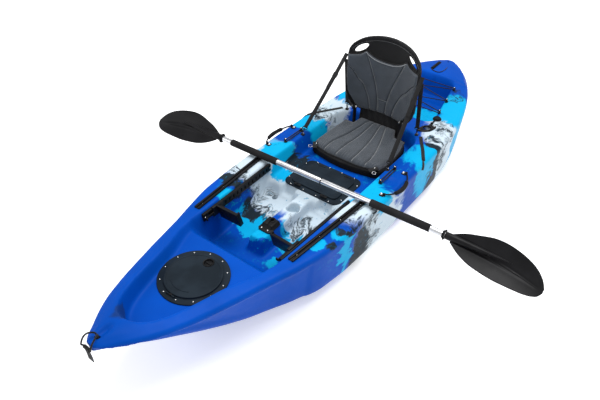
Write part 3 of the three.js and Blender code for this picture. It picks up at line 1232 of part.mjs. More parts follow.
function makeRodTube() {
  const tube = placed(drum(ROD_TUBE_RADIUS, -ROD_TUBE_LENGTH, 0, MEDIUM_SIDES), rodMatrix);
  const above = block(BEAM, LENGTH, deckSeat + ROD_FLANGE_THICKNESS / 2, deckSeat + OVERRUN * 2);
  const lobes = Array.from({ length: LOBE_SIDES }, (_, i) => {
    const angle = (i * 2 * Math.PI) / LOBE_SIDES;
    return flat((ROD_FLANGE_WIDTH / 2) * Math.cos(angle) * (1 - Math.abs(Math.sin(angle)) / 4),
      (ROD_FLANGE_LENGTH / 2) * Math.sin(angle));
  });
  const flange = moved(turned(prism(lobes, 0, ROD_FLANGE_THICKNESS), Z, -ROD_FLANGE_YAW), ROD_X, ROD_Y, deckSeat);
  const hingeY = ROD_Y + CAP_REACH;
  const lug = moved(block(TETHER_WIDTH * 2, CAP_REACH - ROD_TUBE_RADIUS + KNUCKLE_RADIUS, 0, TETHER_LUG),
    ROD_X, ROD_Y + (CAP_REACH + ROD_TUBE_RADIUS + KNUCKLE_RADIUS) / 2, deckSeat);
  const ears = [-1, 1].map((sign) => moved(block(TETHER_WIDTH / 2 - GAP, 2 * KNUCKLE_RADIUS - GAP,
    TETHER_LUG / 2, capAxisZ + KNUCKLE_RADIUS - deckSeat),
    ROD_X + sign * (TETHER_WIDTH * 3 / 4 + GAP / 2), hingeY, deckSeat));
  const pin = moved(bar(TETHER_PIN_RADIUS, TETHER_WIDTH * 2 - GAP, X, PIN_SIDES), ROD_X, hingeY, capAxisZ);
  const heads = rodScrewShares.map((share) => moved(turned(moved(screwHead(), 0, share * ROD_FLANGE_LENGTH, 0), Z,
    -ROD_FLANGE_YAW), ROD_X, ROD_Y, deckSeat + ROD_FLANGE_THICKNESS - GAP));
  const bore = placed(drum(ROD_BORE_RADIUS, -ROD_TUBE_LENGTH + POCKET_WALL, OVERRUN * 2, MEDIUM_SIDES), rodMatrix);
  return union([tube.subtract(above), flange, lug, ...ears, pin, ...heads]).subtract(bore);
}

function makeCap() {
  const capLow = deckSeat;
  const capTop = capLow + CAP_THICKNESS;
  const disc = drum(CAP_RADIUS, capLow, capTop, MEDIUM_SIDES);
  const plug = drum(CAP_PLUG_RADIUS, capTop - GAP, capTop + CAP_PLUG_HEIGHT, MEDIUM_SIDES);
  const reach = CAP_REACH - CAP_RADIUS / 2;
  const tether = moved(block(TETHER_WIDTH - 2 * GAP, reach, capAxisZ - TETHER_THICKNESS / 2,
    capAxisZ + TETHER_THICKNESS / 2), 0, -CAP_REACH + reach / 2, 0);
  const barrel = moved(bar(TETHER_BARREL_RADIUS, TETHER_WIDTH - 2 * GAP, X, CORD_SIDES), 0, -CAP_REACH, capAxisZ);
  const bore = moved(bar(TETHER_PIN_RADIUS + GAP, TETHER_WIDTH * 2, X, PIN_SIDES), 0, -CAP_REACH, capAxisZ);
  return moved(union([disc, plug, tether, barrel]).subtract(bore), ROD_X, ROD_Y + 2 * CAP_REACH, 0);
}

bothSides((side, sign) => {
  add(`rod_holder_${side}`, onSide(makeRodTube(), sign), blackPlastic);
  add(`rod_cap_${side}`, onSide(makeCap(), sign), rubber);
});

// Seat base

const shellLow = PLATFORM_HEIGHT + GAP;
const shellTop = shellLow + SEAT_SHELL_HEIGHT;
const seatHalf = COCKPIT_HALF - SEAT_SIDE_GAP;
const seatRun = SEAT_REAR - SEAT_FRONT;
// Half plan of the seat: breadth and run shares from the front middle round to the rear middle.
const seatPlanShares = [
  [0, 0], [0.3, 0.012], [0.58, 0.04], [0.85, 0.075], [0.96, 0.12], [1, 0.22],
  [1, 0.45], [0.97, 0.68], [0.9, 0.87], [0.8, 0.95], [0.55, 0.985], [0, 1],
];

function seatOutline(inset) {
  const half = seatPlanShares.map(([across, along]) => flat(across * (seatHalf - inset),
    SEAT_FRONT + inset + along * (seatRun - 2 * inset)));
  return [...half, ...half.slice(1, -1).reverse().map((p) => flat(-p.x, p.y))];
}

add('seat_shell', prism(seatOutline(0), shellLow, shellTop), foam);

// A crowned pad on a grid that fans out from its narrow end, with sewn channels along the fan.
const padRimShare = 1 / 6;
const padCrown = (u, v, edge) => Math.sqrt(edge) * Math.cos((Math.PI / 3) * u) * Math.sin(Math.PI * v) ** (1 / 3);

function fannedPad({ corner, lift, base, columns, rows, seams }) {
  const top = [];
  const low = [];
  for (let row = 0; row <= rows; row += 1) {
    for (let column = 0; column <= columns; column += 1) {
      const u = (2 * column) / columns - 1;
      const v = row / rows;
      const edge = Math.min(1, Math.min(1 - Math.abs(u), v, 1 - v) / padRimShare);
      const seam = seams.includes(column) && row > 0 && row < rows ? 1 : 0;
      const at = corner(u, v);
      top.push(lift(at, padCrown(u, v, edge), seam, edge));
      low.push(base(at));
    }
  }
  const positions = [...top, ...low].flatMap((p) => [p.x, p.y, p.z]);
  const wide = columns + 1;
  const layer = wide * (rows + 1);
  const index = [];
  const quad = (a, b, c, d) => index.push(a, b, c, a, c, d);
  for (let row = 0; row < rows; row += 1) {
    for (let column = 0; column < columns; column += 1) {
      const a = row * wide + column;
      quad(a, a + 1, a + wide + 1, a + wide);
      quad(layer + a, layer + a + wide, layer + a + wide + 1, layer + a + 1);
    }
  }
  for (let column = 0; column < columns; column += 1) {
    const far = rows * wide + column;
    quad(column, layer + column, layer + column + 1, column + 1);
    quad(far, far + 1, layer + far + 1, layer + far);
  }
  for (let row = 0; row < rows; row += 1) {
    const left = row * wide;
    const right = left + columns;
    quad(left, left + wide, layer + left + wide, layer + left);
    quad(right, layer + right, layer + right + wide, right + wide);
  }
  const geometry = new THREE.BufferGeometry();
  geometry.setAttribute('position', new THREE.Float32BufferAttribute(positions, 3));
  geometry.setIndex(index);
  return solidOf(geometry);
}

// Half breadth of the seat's outline at a share of its run.
function seatBreadthShare(run) {
  const sides = seatPlanShares.slice(4, -2);
  const next = Math.max(1, Math.min(sides.findIndex((p) => p[1] >= run), sides.length - 1));
  const [a, b] = [sides[next - 1], sides[next]];
  return a[0] + ((b[0] - a[0]) * (run - a[1])) / (b[1] - a[1]);
}

// The seat pad's front bow, its nearest and rearmost rows, and where the seat is at its full breadth.
const [bowShare, nearShare, rearShare, fullShare] = [0.1, 0.03, 0.87, 0.12];

// The pad's rear rises towards the back, and its tongue reaches between the brackets: where the rise
// starts, how far and how wide the tongue is, and how much the rise leans back.
const [kickShare, tongueShare, tongueHalfShare, leanShare] = [0.55, 0.088, 0.667, 0.45];

function makeSeatPad() {
  const low = shellTop + GAP;
  const corner = (u, v) => {
    const tongue = Math.min(1, Math.max(0, ((tongueHalfShare - Math.abs(u)) * PAD_COLUMNS) / 2));
    const run = Math.max(bowShare * (u * u + fullShare), nearShare) * (1 - v) + rearShare * v;
    const half = seatBreadthShare(Math.max(fullShare, run)) * (seatHalf - SEAT_PAD_INSET);
    const length = run + tongueShare * tongue * v ** 4;
    return {
      x: u * half,
      y: SEAT_FRONT + SEAT_PAD_INSET + length * (seatRun - SEAT_PAD_INSET),
      rise: (SEAT_KICK + TONGUE_KICK * tongue) * Math.max(0, (v - kickShare) / (1 - kickShare)) ** 2,
    };
  };
  return fannedPad({
    corner, columns: PAD_COLUMNS, rows: PAD_ROWS, seams: SEAT_SEAM_COLUMNS,
    lift: (at, crown, seam) => point(at.x, at.y + leanShare * at.rise,
      low + SEAT_PAD_EDGE + SEAT_PAD_CROWN * crown - SEAM_DEPTH * seam + at.rise),
    base: (at) => point(at.x, at.y, low),
  });
}
add('seat_pad', makeSeatPad(), greyFabric);

// Backrest

const backTop = BACK_BOTTOM + BACK_HEIGHT;
const backY = (x, z, proud = 0) => BACK_Y - proud + BACK_RECLINE * (z - HINGE_Z)
  - BACK_WRAP * (x / BACK_HALF_WIDTH) ** 2;

// Half outline of the board: breadth shares and height shares, up one side to the top of the arch.
const boardShares = [
  [0, 0], [0.56, 0], [0.76, 0.066], [0.92, 0.186], [1, 0.262], [1, 0.745], [0.98, 0.8],
  [0.9, 0.868], [0.77, 0.918], [0.6, 0.957], [0.36, 0.986], [0, 1],
];

function boardOutline() {
  const half = boardShares.map(([across, up]) => flat(across * BACK_HALF_WIDTH, BACK_BOTTOM + up * BACK_HEIGHT));
  return [...half, ...half.slice(1, -1).reverse().map((p) => flat(-p.x, p.y))];
}

function makeBoard() {
  const outline = boardOutline();
  const upright = turned(prism(outline, -BACK_Y - OVERRUN * 4, -BACK_Y + OVERRUN * 5), X, Math.PI / 2);
  const columns = 16;
  const slab = (offset) => Array.from({ length: columns + 1 }, (_, i) => {
    const x = (2 * i / columns - 1) * (BACK_HALF_WIDTH + OVERRUN);
    return [x, offset];
  });
  const line = [...slab(0), ...slab(BOARD_THICKNESS).reverse()];
  const ringAt = (z) => line.map(([x, offset]) => point(x, backY(x, z) + offset, z));
  const curved = loft([ringAt(BACK_BOTTOM - OVERRUN), ringAt(backTop + OVERRUN)]);
  const openings = [-1, 1].map((sign) => {
    const oval = Array.from({ length: OVAL_SIDES }, (_, i) => {
      const angle = (i * 2 * Math.PI) / OVAL_SIDES;
      return flat(OPENING_LENGTH / 2 * Math.cos(angle), OPENING_WIDTH / 2 * Math.sin(angle));
    });
    const tilted = turned(prism(oval, -BACK_Y - OVERRUN * 5, -BACK_Y + OVERRUN * 6), Z, -sign * OPENING_TILT);
    return turned(moved(tilted, sign * OPENING_X, OPENING_Z, 0), X, Math.PI / 2);
  });
  const ears = [-1, 1].map((sign) => {
    const x = sign * (HINGE_X + BRACKET_THICKNESS / 2 + RUNNING_GAP + EAR_THICKNESS / 2);
    const reach = backY(x, HINGE_Z) + BOARD_THICKNESS / 2 - HINGE_Y;
    const plate = moved(block(EAR_THICKNESS, reach, HINGE_Z - EAR_HEIGHT / 2, HINGE_Z + EAR_HEIGHT / 2),
      x, HINGE_Y + reach / 2, 0);
    return plate.add(moved(bar(EAR_HEIGHT / 2, EAR_THICKNESS, X), x, HINGE_Y, HINGE_Z));
  });
  const bore = moved(bar(RIVET_RADIUS + GAP, HINGE_X * 4, X), 0, HINGE_Y, HINGE_Z);
  const board = cut(upright.intersect(curved), openings);
  return union([board, ...ears]).subtract(bore);
}

add('back_board', makeBoard(), blackFabric);

// Places across the pad's half width where its lower corner starts, where its top peaks, how wide
// the peak is and where the shoulder starts, and how much its foot tapers.
const [cornerShare, peakShare, peakWidthShare, shoulderShare, taperShare] = [0.7, 0.6, 0.16, 0.8, 0.06];

function makeBackPad() {
  const low = (u) => BACK_BOTTOM + BACK_PAD_EDGE
    + (PAD_CORNER * Math.max(0, Math.abs(u) - cornerShare)) / (1 - cornerShare);
  const high = (u) => {
    const peak = Math.exp(-(((Math.abs(u) - peakShare) / peakWidthShare) ** 2));
    return PAD_TOP + PAD_PEAK * peak + PAD_SHOULDER * Math.max(0, Math.abs(u) - shoulderShare);
  };
  const corner = (u, v) => ({
    x: u * (BACK_HALF_WIDTH - SEAT_PAD_INSET / 2) * (1 - taperShare * (1 - v) ** 3),
    z: low(u) + (high(u) - low(u)) * v,
  });
  return fannedPad({
    corner, columns: PAD_COLUMNS, rows: PAD_ROWS, seams: BACK_SEAM_COLUMNS,
    lift: (at, crown, seam, edge) => {
      const proud = 2 * GAP + BACK_PAD_EDGE + (BACK_PAD_THICKNESS - BACK_PAD_EDGE) * crown - SEAM_DEPTH * seam;
      return point(at.x, backY(at.x, at.z, proud - (1 - edge) * BACK_PAD_EDGE / 3), at.z);
    },
    base: (at) => point(at.x, backY(at.x, at.z, 2 * GAP), at.z),
  });
}
add('back_pad', makeBackPad(), greyFabric);

function foldBand() {
  const line = [[SEAT_REAR - BAND_THICKNESS, shellTop + GAP], [BACK_Y - BACK_PAD_THICKNESS,
    (shellTop + BACK_BOTTOM) / 2], [BACK_Y - BOARD_THICKNESS, BACK_BOTTOM - RUNNING_GAP]];
  const front = line.map(([y, z]) => flat(y, z));
  const back = line.map(([y, z]) => flat(y + BAND_THICKNESS, z)).reverse();
  const side = prism([...front, ...back], -BAND_HALF_WIDTH, BAND_HALF_WIDTH);
  return placed(side, new THREE.Matrix4().makeBasis(Y, Z, X));
}
add('fold_band', foldBand(), blackFabric);

// A hinge bracket with its rivet, which the board's ear turns on.
function makeBackBracket() {
  const foot = moved(block(BRACKET_THICKNESS * 3, BRACKET_LENGTH, shellTop + GAP, shellTop + BRACKET_THICKNESS),
    HINGE_X, HINGE_Y, 0);
  const web = moved(block(BRACKET_THICKNESS, BRACKET_LENGTH * 3 / 4, shellTop + GAP, HINGE_Z), HINGE_X, HINGE_Y, 0);
  const head = moved(bar(EAR_HEIGHT / 2, BRACKET_THICKNESS, X, MEDIUM_SIDES), HINGE_X, HINGE_Y, HINGE_Z);
  const inner = HINGE_X - BRACKET_THICKNESS / 2 - RIVET_HEAD_HEIGHT;
  const outer = HINGE_X + BRACKET_THICKNESS / 2 + RUNNING_GAP + EAR_THICKNESS + GAP;
  const shank = moved(bar(RIVET_RADIUS, outer - inner + RIVET_HEAD_HEIGHT, X, CORD_SIDES), (inner + outer) / 2,
    HINGE_Y, HINGE_Z);
  const caps = [inner, outer + RIVET_HEAD_HEIGHT / 2]
    .map((x) => moved(bar(RIVET_HEAD_RADIUS, RIVET_HEAD_HEIGHT, X, CORD_SIDES), x, HINGE_Y, HINGE_Z));
  return union([foot, web, head, shank, ...caps]);
}
bothSides((side, sign) => add(`back_bracket_${side}`, onSide(makeBackBracket(), sign), blackPlastic));

// Straps, each with a snap hook over a pad eye and its end sewn to the board's side edge

const eyeTop = deckSeat + EYE_HEIGHT;
const strapSide = BACK_HALF_WIDTH + GAP + STRAP_WIDTH / 2;
const edgeY = (height) => backY(BACK_HALF_WIDTH, BACK_BOTTOM + height, -BOARD_THICKNESS / 2);
const strapEnd = (height) => point(strapSide, edgeY(height), BACK_BOTTOM + height);
const buckleShares = [0.68, 0.75];

function makeStrap(eye, end, hasBuckle) {
  const along = end.clone().sub(eye).normalize();
  const hookEnd = eye.clone().addScaledVector(along, HOOK_LENGTH);
  const hook = strip(eye, hookEnd, HOOK_THICKNESS, HOOK_THICKNESS, X);
  const webbingBand = strip(hookEnd.clone().addScaledVector(along, -HOOK_THICKNESS), end, STRAP_WIDTH,
    STRAP_THICKNESS, X);
  if (!hasBuckle) return hook.add(webbingBand);
  const [low, high] = buckleShares.map((share) => eye.clone().lerp(end, share));
  const buckle = strip(low, high, STRAP_WIDTH + BUCKLE_WALL, STRAP_THICKNESS + 2 * BUCKLE_WALL, X);
  return union([hook, webbingBand, buckle]);
}

// The rear strap's free end lies on deck, runs forward and hangs over the side.
function strapTail() {
  const z = deckSeat + STRAP_THICKNESS / 2;
  const edge = BEAM / 2;
  const pathShares = [[0, 0, 0], [0.25, 0.4, 0], [0.6, 0.8, 0], [0.76, 0.97, 0], [0.86, 1, 0], [0.985, 1, 0.25],
    [1.03, 1, 1]];
  const start = REAR_EYE_X + TAIL_START;
  const path = pathShares.map(([out, along, down]) => point(start + out * (edge - start),
    REAR_EYE_Y - along * TAIL_RUN, z - down * TAIL_DROP));
  return sweep(path, flatSection(STRAP_WIDTH * 2 / 3, STRAP_THICKNESS));
}

const hookLift = point(0, 0, EYE_HEIGHT / 5);
bothSides((side, sign) => {
  const frontEye = point(EYE_X, EYE_Y, eyeTop).add(hookLift);
  const rearEye = point(REAR_EYE_X, REAR_EYE_Y, eyeTop).add(hookLift);
  add(`front_strap_${side}`, onSide(makeStrap(frontEye, strapEnd(FRONT_STRAP_HEIGHT), true), sign), webbing);
  add(`rear_strap_${side}`, onSide(makeStrap(rearEye, strapEnd(REAR_STRAP_HEIGHT), false), sign), webbing);
  add(`strap_tail_${side}`, onSide(strapTail(), sign), webbing);
});

// Deck cords

const tankLevels = [0, 1, 1, 0, 1, 0];
const lacedPosts = [tankHooks[0], opposite(tankHooks[1]), tankHooks[2], opposite(tankHooks[2]), tankHooks[1],
  opposite(tankHooks[0])];
add('tank_bungee', sweep(lacing(lacedPosts, tankLevels), roundSection(BUNGEE_RADIUS, PIN_SIDES), true), rubber);
bothSides((side, sign) => add(`side_bungee_${side}`, onSide(
  sweep(lacing(sidePosts, [0, 0]), roundSection(BUNGEE_RADIUS, PIN_SIDES), true), sign), rubber));

// Paddle, built along its own X axis and laid across the tracks

const paddleHalf = PADDLE_LENGTH / 2;
const bladeRoot = paddleHalf - BLADE_LENGTH;
const shaftEnd = bladeRoot + BLADE_SOCKET - BLADE_THICKNESS;

const starboardRest = trackTop + GAP + GRIP_RADIUS;
const portRest = trackTop + GAP + SHAFT_RADIUS;
const restSpan = TRACK_REAR_X * 2;
const paddleTilt = Math.atan2(starboardRest - portRest, restSpan);
const paddleZ = (starboardRest + portRest) / 2 - Math.tan(paddleTilt) * PADDLE_X;
const paddleMatrix = new THREE.Matrix4().makeTranslation(PADDLE_X, PADDLE_Y, paddleZ)
  .multiply(new THREE.Matrix4().makeRotationZ(PADDLE_YAW))
  .multiply(new THREE.Matrix4().makeRotationY(paddleTilt));

const alongX = (radius, from, to, sides = MEDIUM_SIDES) =>
  moved(bar(radius, to - from, X, sides), (from + to) / 2, 0, 0);
const tubeX = (inner, outer, from, to, sides = MEDIUM_SIDES) =>
  alongX(outer, from, to, sides).subtract(alongX(inner, from - OVERRUN, to + OVERRUN));

const shaftBore = SHAFT_RADIUS - SHAFT_WALL;
const ferruleRadius = shaftBore - GAP;

// The blade's edges: place along it, then upper and lower edge as shares of its width. Its tip leans.
const bladeShares = [
  [0, 0.106, -0.128], [0.1, 0.223, -0.287], [0.25, 0.33, -0.441], [0.4, 0.41, -0.516], [0.52, 0.41, -0.553],
  [0.65, 0.351, -0.564], [0.76, 0.266, -0.564], [0.85, 0.16, -0.553], [0.925, 0.021, -0.516],
  [0.975, -0.128, -0.447], [1, -0.245, -0.351],
];

function makeBlade(roll, side) {
  const columns = 6;
  const start = bladeRoot + BLADE_SOCKET / 2;
  const length = paddleHalf - start;
  const rings = bladeShares.map(([t, high, low]) => {
    const across = (u) => side * BLADE_WIDTH * ((high + low) / 2 + (side * u * (high - low)) / 2);
    const thick = BLADE_THICKNESS * (1 - t / 2);
    const surface = (u) => -BLADE_CUP * Math.sin(Math.PI * t) * (1 - u * u);
    const upper = Array.from({ length: columns + 1 }, (_, k) => {
      const u = (2 * k) / columns - 1;
      return point(start + t * length, across(u), surface(u) + thick / 2);
    });
    const lower = Array.from({ length: columns + 1 }, (_, k) => {
      const u = 1 - (2 * k) / columns;
      return point(start + t * length, across(u), surface(u) - thick / 2);
    });
    return [...upper, ...lower];
  });
  const spoon = loftX(rings);
  const socket = alongX(SHAFT_RADIUS + FERRULE_COLLAR, bladeRoot, bladeRoot + BLADE_SOCKET, SMALL_SIDES);
  const neck = placed(drum(SHAFT_RADIUS + FERRULE_COLLAR, 0, BLADE_LENGTH / 2, SMALL_SIDES, BLADE_THICKNESS),
    new THREE.Matrix4().makeTranslation(bladeRoot + BLADE_SOCKET - GAP, 0, 0)
      .multiply(new THREE.Matrix4().makeRotationY(Math.PI / 2)));
  const bore = alongX(SHAFT_RADIUS + GAP, bladeRoot - OVERRUN, shaftEnd + GAP);
  return turned(union([spoon, socket, neck]).subtract(bore), X, roll);
}

// Rings that stand square to X, capped in their own plane.
function loftX(rings) {
  const swap = new THREE.Matrix4().makeBasis(Y, Z, X);
  const back = swap.clone().invert();
  return placed(loft(rings.map((ring) => ring.map((p) => p.clone().applyMatrix4(back)))), swap);
}

function paddleHalfParts(side, sign, roll) {
  const flip = sign > 0 ? new THREE.Matrix4() : new THREE.Matrix4().makeRotationZ(Math.PI);
  const place = paddleMatrix.clone().multiply(flip);
  const buttonHole = moved(drum(BUTTON_RADIUS + GAP, 0, SHAFT_RADIUS * 2), BUTTON_PLACE, 0, 0);
  const tube = tubeX(shaftBore, SHAFT_RADIUS, GAP / 2, shaftEnd);
  const shaft = sign > 0 ? tube.subtract(buttonHole) : tube;
  add(`paddle_shaft_${side}`, shaft, aluminium, place);
  const grip = tubeX(SHAFT_RADIUS + GAP, GRIP_RADIUS, GRIP_START, GRIP_START + GRIP_LENGTH, SMALL_SIDES);
  add(`paddle_grip_${side}`, grip, foam, place);
  const cone = placed(drum(SHAFT_RADIUS + FERRULE_COLLAR, 0, RING_WIDTH, SMALL_SIDES, RING_RADIUS),
    new THREE.Matrix4().makeTranslation(RING_PLACE, 0, 0).multiply(new THREE.Matrix4().makeRotationY(Math.PI / 2)));
  const ringBore = alongX(SHAFT_RADIUS + GAP, RING_PLACE - OVERRUN, RING_PLACE + OVERRUN * 2);
  add(`drip_ring_${side}`, cone.subtract(ringBore), rubber, place);
  add(`paddle_blade_${side}`, makeBlade(roll, sign), blackPlastic, place);
}
paddleHalfParts('port', 1, BLADE_ROLL_PORT);
paddleHalfParts('starboard', -1, -BLADE_ROLL_STARBOARD);

function makeFerrule() {
  const sleeve = tubeX(ferruleRadius - SHAFT_WALL, ferruleRadius, -FERRULE_LENGTH / 2, FERRULE_LENGTH / 2);
  const bore = moved(drum(BUTTON_RADIUS + GAP, 0, SHAFT_RADIUS * 2), BUTTON_PLACE, 0, 0);
  return sleeve.subtract(bore);
}
add('paddle_ferrule', makeFerrule(), blackPlastic, paddleMatrix);
const button = drum(BUTTON_RADIUS, ferruleRadius - SHAFT_WALL * 3, SHAFT_RADIUS + SHAFT_WALL);
add('ferrule_button', moved(button, BUTTON_PLACE, 0, 0), steel, paddleMatrix);

export default kayak;
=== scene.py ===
"""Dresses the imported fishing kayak: moulded hull, hatches, fittings, padded seat, cords and paddle."""

import math

import bmesh
import bpy
import numpy as np
from mathutils import Matrix, Vector


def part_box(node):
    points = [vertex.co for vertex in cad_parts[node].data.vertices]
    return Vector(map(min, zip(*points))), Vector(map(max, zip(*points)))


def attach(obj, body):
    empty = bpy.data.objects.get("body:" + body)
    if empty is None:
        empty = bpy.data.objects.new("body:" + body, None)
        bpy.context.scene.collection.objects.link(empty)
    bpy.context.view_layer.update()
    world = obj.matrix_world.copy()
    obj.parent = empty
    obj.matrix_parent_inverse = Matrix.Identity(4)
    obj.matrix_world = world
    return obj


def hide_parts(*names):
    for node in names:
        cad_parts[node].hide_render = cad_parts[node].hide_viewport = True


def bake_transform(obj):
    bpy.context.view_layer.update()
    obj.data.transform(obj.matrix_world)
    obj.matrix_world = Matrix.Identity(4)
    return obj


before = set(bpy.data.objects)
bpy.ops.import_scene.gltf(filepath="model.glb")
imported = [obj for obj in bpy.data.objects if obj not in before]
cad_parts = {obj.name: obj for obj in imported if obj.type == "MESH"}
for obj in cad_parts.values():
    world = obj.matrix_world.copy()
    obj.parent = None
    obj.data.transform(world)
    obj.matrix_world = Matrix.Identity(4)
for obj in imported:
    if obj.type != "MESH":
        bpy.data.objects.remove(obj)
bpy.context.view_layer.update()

bl_info = {
    "name": "Fishing kayak dresser",
    "version": (1, 0, 0),
    "blender": (4, 5, 0),
    "location": "View3D > Sidebar > Kayak",
    "description": "Builds the moulded hull, fittings, padded seat, cords and paddle of a fishing kayak",
    "category": "Add Mesh",
}

# Frame of the photograph
PHOTO_WIDTH = 600
FOCAL_PIXELS = 560.606
CAMERA_PLACE = Vector((1.38423, -2.02168, 2.11224))
CAMERA_AZIMUTH = math.radians(37.584)
CAMERA_ELEVATION = math.radians(39.495)
SENSOR_WIDTH = 36.0

# Hull, as the part's source has it
LENGTH = 3.0
BEAM = 0.824
DEPTH = 0.335
EDGE_RADIUS = 0.026
PLATFORM = 0.235
PANEL = 0.300
TANK_FLOOR = 0.232
COCKPIT_HALF = 0.268
FOOTWELL_FRONT = -0.790
FOOTWELL_REAR = -0.178
FOOT_FLOOR = 0.135
BULKHEAD_RUN = 0.120
SEAT_REAR = 0.545
HATCH_Y = -0.980
HATCH_HOLE = 0.1183
LID_TOP = 0.3166
CENTER_Y = -0.018
FRAME_TOP = 0.2403
CENTER_LID_TOP = 0.2483
SCUPPER = (0.175, -0.222)
TUNNEL_Y = -1.462
STERN_EYE_Y = 1.438
TANK_FRONT, TANK_REAR = 0.745, 1.245
TANK_FRONT_HALF, TANK_REAR_HALF = 0.238, 0.162
DECK_SEAT = 0.3353
SCREW_RADIUS = 0.0042
WALL_KNEE = -0.111
RAIL_SLOPE = 15 / 525
ROD_PLACE = Vector((0.258, 0.665, 0.335))
ROD_TILT = 0.35
ROD_YAW = 0.55
HINGE = Vector((0, 0.522, 0.405))
BACK_HALF = 0.226
BACK_BOTTOM = 0.386
BACK_HEIGHT = 0.458
HAND_OPENING = (0.163, 0.764)
HAND_TURN = 0.62

# place, half breadth, chine, keel, chine height, gunwale height, crown: as in the part's source
STATIONS = np.array([
    [-1, 0.05, 0.5, 1.03, 1.085, 1.15, 0.02], [-0.985, 0.118, 0.58, 1.005, 1.08, 1.148, 0.03],
    [-0.955, 0.195, 0.65, 0.95, 1.065, 1.143, 0.045], [-0.92, 0.288, 0.7, 0.86, 1.035, 1.13, 0.055],
    [-0.87, 0.393, 0.735, 0.73, 0.975, 1.11, 0.062], [-0.8, 0.492, 0.768, 0.555, 0.87, 1.085, 0.066],
    [-0.733, 0.567, 0.8, 0.385, 0.745, 1.065, 0.064], [-0.66, 0.642, 0.832, 0.226, 0.61, 1.048, 0.058],
    [-0.587, 0.712, 0.863, 0.1, 0.49, 1.03, 0.045], [-0.52, 0.775, 0.885, 0.035, 0.405, 1.012, 0.022],
    [-0.46, 0.843, 0.91, 0.008, 0.325, 1, 0], [-0.36, 0.932, 0.945, 0, 0.25, 1, 0],
    [-0.24, 0.976, 0.955, 0, 0.22, 1, 0], [-0.1, 0.995, 0.957, 0, 0.21, 1, 0],
    [0.08, 1, 0.957, 0, 0.21, 1, 0], [0.24, 1, 0.957, 0, 0.21, 1, 0], [0.36, 0.998, 0.957, 0, 0.215, 1, 0],
    [0.47, 0.978, 0.955, 0, 0.22, 1, 0], [0.56, 0.937, 0.95, 0, 0.25, 1, 0],
    [0.64, 0.873, 0.94, 0.005, 0.3, 1.004, 0.015], [0.72, 0.785, 0.93, 0.03, 0.37, 1.02, 0.03],
    [0.79, 0.69, 0.91, 0.08, 0.46, 1.035, 0.038], [0.85, 0.585, 0.89, 0.16, 0.56, 1.05, 0.04],
    [0.905, 0.47, 0.86, 0.28, 0.67, 1.062, 0.04], [0.95, 0.345, 0.82, 0.43, 0.79, 1.072, 0.032],
    [0.98, 0.225, 0.76, 0.58, 0.88, 1.08, 0.02], [1, 0.085, 0.6, 0.75, 0.95, 1.085, 0.01],
])

SIDES = (("port", 1), ("starboard", -1))
MATERIALS = {}


def length_setting(name, description, default, low, high):
    """A length that a user may change."""
    return bpy.props.FloatProperty(
        name=name, description=description, default=default, min=low, max=high, unit="LENGTH")


def colour_setting(name, description, default):
    """A colour that a user may change."""
    return bpy.props.FloatVectorProperty(
        name=name, description=description, subtype="COLOR", default=default, min=0, max=1)


class KayakSizes(bpy.types.PropertyGroup):
    """Sizes that a user may change."""

    hull_voxel: length_setting(
        "Hull mesh size", "Edge length of the moulded hull's faces", 0.0066, 0.004, 0.02)
    well_fillet: length_setting(
        "Well fillet", "Radius along the rims and floors of the wells", 0.012, 0.002, 0.03)
    edge_bevel: length_setting(
        "Fitting bevel", "Rounding of the edges of moulded fittings", 0.0012, 0.0003, 0.003)
    bungee_radius: length_setting(
        "Bungee radius", "Radius of the deck bungees", 0.003, 0.002, 0.005)
    stitch_length: length_setting(
        "Stitch length", "Length of one stitch on webbing and borders", 0.006, 0.003, 0.012)
    seat_crown: length_setting(
        "Seat crown", "How far the seat pad swells between its seams", 0.009, 0.0, 0.02)
    seam_depth: length_setting(
        "Seam depth", "How deep the sewn channels pull in", 0.0055, 0.0, 0.01)


class KayakColours(bpy.types.PropertyGroup):
    """Colours that a user may change."""

    deck_blue: colour_setting("Deck blue", "Main colour of the hull", (0.0005, 0.052, 0.330))
    splash_cyan: colour_setting("Cyan splash", "Light splashes in the hull", (0.002, 0.330, 0.600))
    splash_white: colour_setting("White splash", "White splashes in the hull", (0.480, 0.570, 0.640))
    splash_slate: colour_setting("Slate marbling", "Dark marbling in the hull", (0.012, 0.020, 0.028))
    trim_black: colour_setting("Trim black", "Moulded fittings", (0.008, 0.008, 0.009))
    lid_slate: colour_setting("Lid slate", "Hatch lids", (0.012, 0.018, 0.025))
    seat_grey: colour_setting("Seat grey", "Fabric of the seat pads", (0.046, 0.055, 0.068))
    piping_grey: colour_setting("Piping grey", "Piping along the seat's seams", (0.260, 0.275, 0.290))
    shaft_silver: colour_setting("Shaft silver", "Paddle shaft", (0.600, 0.610, 0.630))


class KayakStudio(bpy.types.PropertyGroup):
    """Studio light and floor."""

    floor_shade: bpy.props.FloatProperty(
        name="Floor shade", description="Brightness of the pale floor", default=0.86, min=0, max=1)
    key_power: bpy.props.FloatProperty(
        name="Key power", description="Power of the large soft light overhead",
        default=185.0, min=0, max=2000, unit="POWER")
    fill_power: bpy.props.FloatProperty(
        name="Fill power", description="Power of the soft light beside the camera",
        default=35.0, min=0, max=2000, unit="POWER")
    sky_strength: bpy.props.FloatProperty(
        name="Sky strength", description="Strength of the white surroundings", default=0.72, min=0, max=5)


# Materials


def node(tree, kind, inputs=None, **settings):
    """A new shader or geometry node, with its settings and its inputs set or linked."""
    made = tree.nodes.new(kind)
    for key, value in settings.items():
        setattr(made, key, value)
    for key, value in (inputs or {}).items():
        if isinstance(value, bpy.types.NodeSocket):
            tree.links.new(value, made.inputs[key])
        else:
            made.inputs[key].default_value = value
    return made


def math_node(tree, operation, first, second=0.0):
    return node(tree, "ShaderNodeMath", {0: first, 1: second}, operation=operation).outputs[0]


